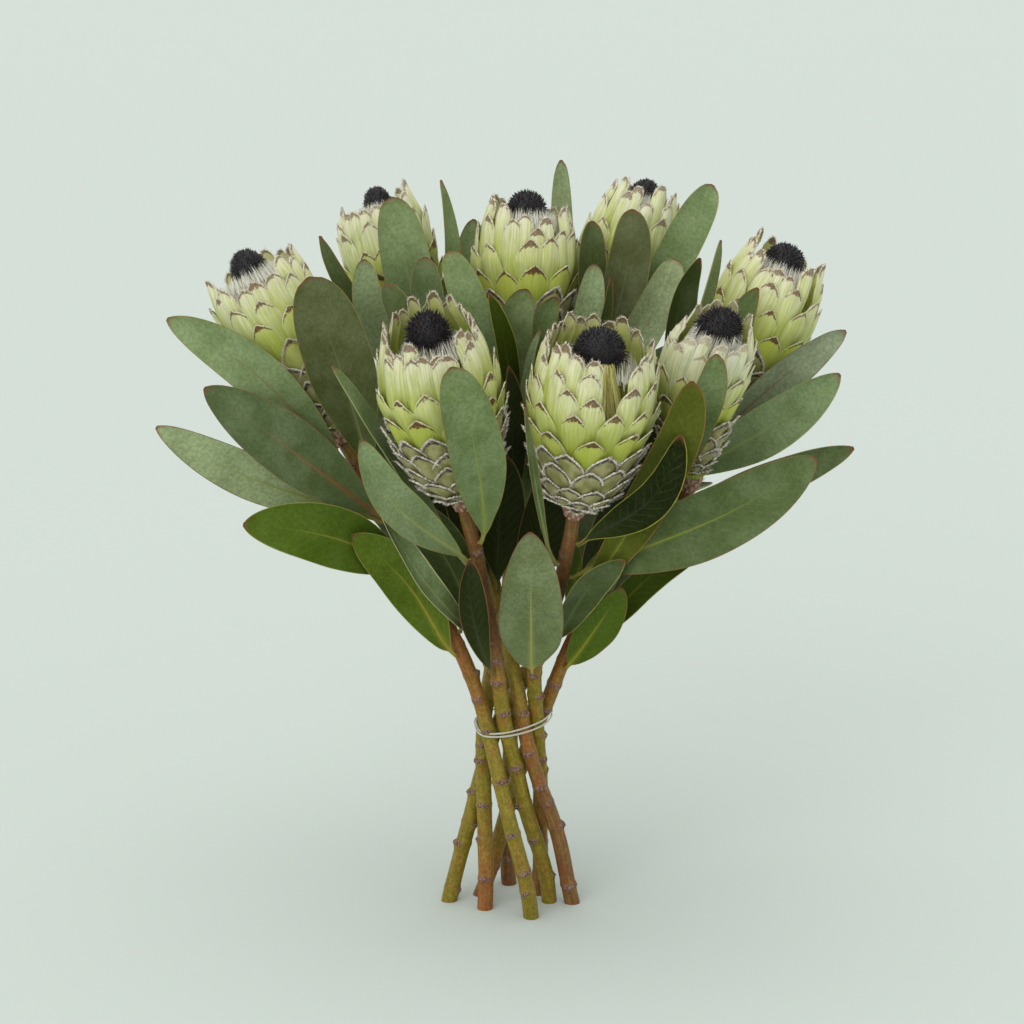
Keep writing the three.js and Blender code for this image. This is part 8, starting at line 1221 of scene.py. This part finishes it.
TONE_OF = {"L1": "soft", "L2": "cool", "L3": "pale", "L4": "sat", "L5": "sat2", "L6": "brown", "L8": "light", "L38": "mid",
           "L33": "grey2", "L32": "slate", "L31": "soft", "L30": "grey", "L37": "greygreen", "L34": "satdark", "L35": "back",
           "L36": "sat", "L9": "soft", "L25": "soft", "L23": "brown", "L24": "pale", "L26": "pale", "L41": "moss",
           "L42": "olive", "L44": "black", "L40": "grey2", "L16": "soft", "L14": "cool", "L12": "light", "L17": "light",
           "L21": "pale", "L39": "deep_green_painted_shade", "L29": "grey2", "L28": "mid", "L7": "light", "L47": "deep_green_painted_shade",
           "G1": "deep_green_painted_shade", "G2": "deep_green_painted_shade", "G3": "deep_green_painted_shade", "G4": "deep_green_painted_shade", "G5": "deep_green_painted_shade", "G6": "deep_green_painted_shade"}
WIDER = {"L6": 1.06, "L22": 1.10, "L16": 1.10, "L12": 1.08, "L22b": 1.25, "L28": 1.30, "L26": 1.24, "L27": 1.12, "L24": 1.14, "L42": 1.22}
YELLOW, ORANGE, PALE = lin(140, 146, 66), lin(134, 96, 60), lin(140, 152, 92)
RIB = {"L1": lin(120, 112, 74), "L2": ORANGE, "L30": lin(132, 104, 90), "L3": YELLOW, "L8": lin(150, 160, 96), "L38": YELLOW,
       "L4": lin(132, 134, 54), "L5": lin(160, 152, 60), "L34": lin(96, 104, 24), "L37": lin(156, 154, 84),
       "L36": lin(140, 142, 46), "L33": lin(138, 146, 60)}
MARGIN = {"L33": lin(128, 98, 58), "L42": lin(150, 110, 60), "L41": lin(136, 98, 60), "L45": lin(196, 190, 140),
          "L44": lin(150, 146, 64), "L30": lin(122, 88, 64), "L2": lin(126, 96, 60)}


def build_leaf(k, leaf):
    rg = np.random.default_rng(1000 + k)
    nt, nw = 50, 15
    line = np.array(leaf["line"], float)
    P0 = np.array(leaf["root"], float)
    body = spline(line, at=np.linspace(0, 1, nt - 3))
    # stalk: from inside the stem to the first point of the blade
    stalk = np.array([P0 + (body[0] - P0) * f for f in (0.0, 0.5)])
    P = np.concatenate([stalk, body])
    nt = len(P)
    fc = np.array(leaf["face"], float)
    tt = np.linspace(0, len(fc) - 1.0, len(body))
    face = unit(np.stack([np.interp(tt, np.arange(len(fc)), fc[:, k_]) for k_ in range(3)], 1))
    face = np.concatenate([np.repeat(face[:1], 2, 0), face])
    T = unit(np.gradient(P, axis=0))
    n = unit(face - (np.sum(face * T, 1))[:, None] * T)
    w = np.cross(T, n)
    # closer rings near the rounded tip
    share = np.linspace(0, 1, len(body))
    share = share + 0.035 * np.sin(math.pi * share) ** 2 + 0.02 * smooth(share, 0.5, 1) * (1 - share) * 8
    share = np.clip(share / share[-1], 0, 1)
    arc = length_along(body) / length_along(body)[-1]
    body = np.stack([np.interp(share, arc, body[:, k_]) for k_ in range(3)], 1)
    P = np.concatenate([stalk, body])
    tt = share * (len(fc) - 1.0)
    face = unit(np.stack([np.interp(tt, np.arange(len(fc)), fc[:, k_]) for k_ in range(3)], 1))
    face = np.concatenate([np.repeat(face[:1], 2, 0), face])
    T = unit(np.gradient(P, axis=0))
    n = unit(face - (np.sum(face * T, 1))[:, None] * T)
    w = np.cross(T, n)
    t = np.r_[-0.02, -0.01, share]
    a = np.clip((t - 0.05) / 0.95, 0, 1)
    W = leaf["width"] * WIDER.get(leaf["key"], 1.0)
    peak = 0.5 ** (1 / leaf["skew"])
    kt, ke = (3.0, 0.5) if leaf["skew"] >= 1.35 else (2.0, 0.62)
    tx = np.clip((a - peak) / (1 - peak), 0, 1)
    hw = np.where(a < peak, np.maximum(np.sin(math.pi * a ** leaf["skew"]), 0) ** 0.70, np.maximum(1 - tx ** kt, 0) ** ke) * W / 2
    hw = np.maximum(hw, np.where(t < 0.5, 1.25, 0.9))
    hw[-1] = 1.0
    U = np.array([-1, -0.955, -0.86, -0.70, -0.48, -0.26, -0.09, 0, 0.09, 0.26, 0.48, 0.70, 0.86, 0.955, 1])
    L = length_along(body)
    length = L[-1]
    y = np.r_[-2.0, -1.0, L]
    x = U[None] * hw[:, None]
    on = smooth(t, 0.06, 0.25)[:, None]
    cup = 2 * leaf["cup"] * hw[:, None] * (U[None] ** 2)
    fold = 0.10 * np.abs(x) * on
    ph = rg.random(3) * 6.28
    amp = 0.028 * W * rg.uniform(0.6, 1.3)
    wave = amp * on * (U[None] ** 2) * (np.sin(y[:, None] / length * 6.28 * rg.uniform(1.1, 1.9) + ph[0] + 1.2 * np.sign(U[None]))
                                        + 0.4 * np.sin(y[:, None] / length * 6.28 * 3.4 + ph[1]))
    wave = wave * smooth(t, 1.0, 0.9)[:, None]
    rib = (0.30 * np.exp(-(x / 0.8) ** 2) - 0.16 * np.exp(-((np.abs(x) - 2.0) / 1.1) ** 2)) * on
    h = cup + fold * 0.6 + wave + rib
    top = P[:, None] + w[:, None] * x[..., None] + n[:, None] * h[..., None]
    thick = (0.85 - 0.45 * U[None] ** 4) * np.ones((nt, 1)) + 0.9 * np.exp(-(x / 1.1) ** 2) * smooth(t, 1.0, 0.1)[:, None]
    thick = np.where(t[:, None] < 0.045, 2.1 * np.sqrt(np.maximum(1 - U[None] ** 2, 0.04)), thick)
    low = top - n[:, None] * thick[..., None]
    # the stalk end is round
    lift = np.where(t[:, None] < 0.045, 0.5 * thick, 0.0)
    top = top + n[:, None] * (lift * 0.9)[..., None]
    dhw = np.gradient(hw, np.maximum.accumulate(y + np.arange(nt) * 1e-6))
    perp = 1 / np.sqrt(1 + dhw ** 2)
    edge = (1 - np.abs(U[None])) * (hw * perp)[:, None]
    edge = np.minimum(edge, np.maximum(length - y, 0.0)[:, None] * 0.8 + 0.1)
    two = lambda q: np.tile(np.broadcast_to(q, (nt, nw)).ravel(), 2)
    b = Builder()
    key = leaf["key"]
    tone, bloom = TONE[TONE_OF.get(key, leaf["tone"] if leaf["tone"] in TONE else "mid")]
    tone = np.array(tone) * rg.uniform(0.95, 1.06) * np.array([rg.uniform(0.97, 1.04), 1.0, rg.uniform(0.94, 1.05)])
    ribc = np.array(RIB.get(key, PALE if bloom > 0.6 else tone * 1.8 + 0.02))
    marg = np.array(MARGIN.get(key, (lin(136, 122, 70), lin(132, 98, 62), lin(150, 146, 80))[k % 3]))
    V = np.concatenate([top.reshape(-1, 3), low.reshape(-1, 3)])
    n2 = nt * nw
    b.add(V, sheet_faces(nt, nw), lx=two(x), ly=two(y[:, None] * np.ones(nw)), edge=two(edge), t=two(np.clip(t, 0, 1)[:, None] * np.ones(nw)),
          hw=two(hw[:, None] * np.ones(nw)), under=np.r_[np.zeros(n2), np.ones(n2)], rnd=rg.random(), len=length,
          bloom=bloom, tone=np.tile(tone, (2 * n2, 1)), rib=np.tile(ribc, (2 * n2, 1)), margin=np.tile(marg, (2 * n2, 1)))
    if leaf["own"]:
        b.object(leaf["id"] + "_blade", MAT["leaf"], "leaf", (leaf["id"],), sharp=60)
    else:
        b.object(leaf["id"] + "_blade", MAT["leaf"], "leaf", sharp=60)


# ------------------------------------------------------------------ stems
STEM_COL = {"olive": lin(134, 118, 26), "olive2": lin(124, 112, 20), "tan": lin(142, 102, 38),
            "orange": lin(144, 86, 42), "redbrown": lin(118, 74, 46)}


def build_stem(name):
    rg = np.random.default_rng(500 + sum(map(ord, name)))
    raw = np.array(STEMS[name], float)
    total = length_along(raw)[-1]
    rows = int(total / 1.25)
    P = spline(raw, count=rows)
    s = length_along(P)
    T = unit(np.gradient(P, axis=0))
    e1 = unit(np.cross(np.array([[0, 1.0, 0]]), T))
    e2 = np.cross(T, e1)
    sides = 28
    ang = np.linspace(0, 2 * math.pi, sides, endpoint=False)
    R = 4.95 + (4.3 - 4.95) * s / s[-1]
    # gentle swelling and flats between the scars
    ph = rg.random(4) * 6.28
    base = R[:, None] * (1 + 0.018 * np.sin(ang[None] * 2 + ph[0] + s[:, None] * 0.013) + 0.014 * np.sin(ang[None] * 3 + ph[1] - s[:, None] * 0.02)
                         + 0.012 * np.sin(s[:, None] * 0.16 + ph[2]))
    knot = np.zeros((rows, sides))
    bump = np.zeros((rows, sides))
    for (ks, ka, size) in KNOTS[name]:
        ds = s[:, None] - ks + 0.35 * np.sin(ang[None] * 3 + ka * 5)
        da = (ang[None] - ka + math.pi) % (2 * math.pi) - math.pi
        arc = da * R[:, None]
        ring = np.exp(-(ds / 1.5) ** 2) * 0.42 * size
        lo = np.where(ds < 0, np.exp(-(ds / 3.4) ** 2), np.exp(-(ds / 0.95) ** 2))
        side = np.exp(-(np.abs(arc) / (3.4 * size)) ** 2.4)
        rag = 1 + 0.25 * rg.normal(0, 1, (rows, sides))
        bump = bump + ring + 1.75 * size * lo * side * rag
        knot = np.maximum(knot, np.maximum(1.15 * np.exp(-(ds / 1.55) ** 2) * np.exp(-(np.abs(arc) / (4.0 * size)) ** 2.4),
                                           0.34 * np.exp(-(ds / 1.0) ** 2)))
    r = base + bump
    V = P[:, None] + e1[:, None] * (r * np.cos(ang)[None])[..., None] + e2[:, None] * (r * np.sin(ang)[None])[..., None]
    # cut level at the foot
    foot = V[0]
    t0 = T[0]
    foot = foot - t0 * (foot[:, 2:3] / t0[2])
    V[0] = foot
    low = V[1:6, :, 2] < 0.15
    V[1:6, :, 2] = np.where(low, 0.15, V[1:6, :, 2])
    tone = np.zeros((rows, 3))
    stops = STEM_TONES[name]
    xs = [a for a, _ in stops]
    cs = np.array([STEM_COL[c] for _, c in stops])
    for k in range(3):
        tone[:, k] = np.interp(s, xs, cs[:, k])
    b = Builder()
    n = rows * sides
    verts = V.reshape(-1, 3)
    # end caps have rings of their own, so that the cut face has its own colour
    cap0 = foot * 1.0
    cap0[:, 2] = 0.0
    c0 = cap0.mean(0)
    inner0 = c0 + (cap0 - c0) * 0.86
    endc = V[-1].mean(0)
    verts = np.concatenate([verts, inner0, [c0], [endc]])
    tris = [[n + sides, n + (j + 1) % sides, n + j] for j in range(sides)]
    tris += [[n + sides + 1, (rows - 1) * sides + j, (rows - 1) * sides + (j + 1) % sides] for j in range(sides)]
    quads = np.concatenate([grid_quads(rows, sides, wrap=True),
                            [[j, n + j, n + (j + 1) % sides, (j + 1) % sides] for j in range(sides)]])
    ext = sides + 2
    pad = lambda a, v: np.r_[a.ravel(), np.full(ext, v)]
    b.add(verts, quads, tris, sx=pad(np.tile(ang * 4.6, rows), 0.0), sy=pad(np.repeat(s, sides), 0.0),
          ca=pad(np.tile(np.cos(ang), rows), 0.0), sa=pad(np.tile(np.sin(ang), rows), 0.0),
          knot=pad(np.clip(knot, 0, 1), 0.0), cut=pad(np.zeros(n), 1.0), rnd=rg.random(),
          tone=np.concatenate([np.repeat(tone, sides, 0), np.tile(tone[0], (ext, 1))]))
    b.object("stem_%s_bark" % name, MAT["stem"], "stem", ("stem_" + name,), sharp=70)


# ------------------------------------------------------------------ rubber band
def build_band():
    radii = np.array(TIE["radii"], float)
    n = len(radii)
    steps = 240
    a = np.linspace(0, 4 * math.pi, steps, endpoint=False)
    u = (a / (2 * math.pi)) % 1 * n
    i = np.floor(u).astype(int) % n
    f = u - np.floor(u)
    base = radii[i] * (1 - f) + radii[(i + 1) % n] * f
    r = base + 1.25 + 0.5 * np.sin(a / 2)
    # a stretched band runs straight between the stems that it presses on
    k = np.exp(-0.5 * (np.arange(-6, 7) / 2.5) ** 2)
    r = np.convolve(np.r_[r[-6:], r, r[:6]], k / k.sum(), mode="valid")
    x = TIE["centre"][0] + r * np.cos(a)
    y = TIE["centre"][1] + r * np.sin(a)
    z = TIE["height"] + TIE["rise"] * y + TIE["side"] * x + 1.6 * np.cos(a / 2)
    P = np.stack([x, y, z], 1)
    T = unit(np.roll(P, -1, 0) - np.roll(P, 1, 0))
    e1 = unit(np.cross(T, [[0, 0, 1.0]]))
    e2 = np.cross(e1, T)
    m = 10
    th = np.linspace(0, 2 * math.pi, m, endpoint=False)
    V = P[:, None] + 0.48 * e1[:, None] * np.cos(th)[None, :, None] + 0.62 * e2[:, None] * np.sin(th)[None, :, None]
    idx = np.arange(steps)
    q = []
    for j in range(m):
        q.append(np.stack([idx * m + j, ((idx + 1) % steps) * m + j, ((idx + 1) % steps) * m + (j + 1) % m, idx * m + (j + 1) % m], 1))
    b = Builder()
    b.add(V.reshape(-1, 3), np.concatenate(q), u=np.repeat(np.arange(steps) * 0.6, m))
    b.object("rubber_band_strands", MAT["band"], "rubber_band", ("rubber_band",), sharp=80)


for head_name in HEADS:
    build_head(head_name)
for k, leaf in enumerate(LEAVES):
    build_leaf(k, leaf)
for stem_name in STEMS:
    build_stem(stem_name)
build_band()


# ------------------------------------------------------------------ studio
FLOOR = (0.572, 0.632, 0.588)


def studio():
    g = Nodes("studio_floor")
    g.set("Base Color", FLOOR)
    g.set("Roughness", 0.9)
    g.set("Specular IOR Level", 0.1)
    me = bpy.data.meshes.new("floor")
    n = 96
    rings = [(0.0, 0.0), (1.0, 0.0), (4.0, 0.0), (14.0, 0.0), (40.0, 0.0)]
    verts = [(0, 0, 0)]
    for r, z in rings[1:]:
        verts += [(r * math.cos(2 * math.pi * j / n), r * math.sin(2 * math.pi * j / n), z) for j in range(n)]
    faces = [(0, 1 + j, 1 + (j + 1) % n) for j in range(n)]
    for i in range(len(rings) - 2):
        for j in range(n):
            a, b = 1 + i * n + j, 1 + i * n + (j + 1) % n
            faces.append((a, a + n, b + n, b))
    me.from_pydata(verts, [], faces)
    ob = bpy.data.objects.new("floor", me)
    me.materials.append(g.mat)
    bpy.context.scene.collection.objects.link(ob)

    world = bpy.data.worlds.new("studio")
    world.use_nodes = True
    bg = world.node_tree.nodes["Background"]
    # an even surround, a little brighter towards the horizon
    nt = world.node_tree
    tc = nt.nodes.new("ShaderNodeTexCoord")
    sep = nt.nodes.new("ShaderNodeSeparateXYZ")
    nt.links.new(tc.outputs["Generated"], sep.inputs[0])
    mr = nt.nodes.new("ShaderNodeMapRange")
    mr.interpolation_type = "SMOOTHSTEP"
    mr.inputs["From Min"].default_value = 0.0
    mr.inputs["From Max"].default_value = 1.0
    nt.links.new(sep.outputs[2], mr.inputs["Value"])
    mx = nt.nodes.new("ShaderNodeMix")
    mx.data_type = "RGBA"
    nt.links.new(mr.outputs[0], mx.inputs[0])
    mx.inputs[6].default_value = (1.08, 1.09, 1.08, 1.0)
    mx.inputs[7].default_value = (0.58, 0.59, 0.58, 1.0)
    nt.links.new(mx.outputs[2], bg.inputs[0])
    bg.inputs[1].default_value = 1.0
    bpy.context.scene.world = world

    def sun(name, direction, strength, angle, colour=(1, 1, 1)):
        li = bpy.data.lights.new(name, "SUN")
        li.energy = strength
        li.angle = math.radians(angle)
        li.color = colour
        ob = bpy.data.objects.new(name, li)
        bpy.context.scene.collection.objects.link(ob)
        from mathutils import Vector
        ob.rotation_mode = "QUATERNION"
        ob.rotation_quaternion = Vector(direction).to_track_quat("Z", "Y")

    sun("overhead", (-0.06, -0.06, 1.0), 0.95, 60)
    sun("front", (-0.50, -1.0, 0.62), 0.85, 45)
    bpy.context.scene.view_settings.view_transform = "Standard"


studio()
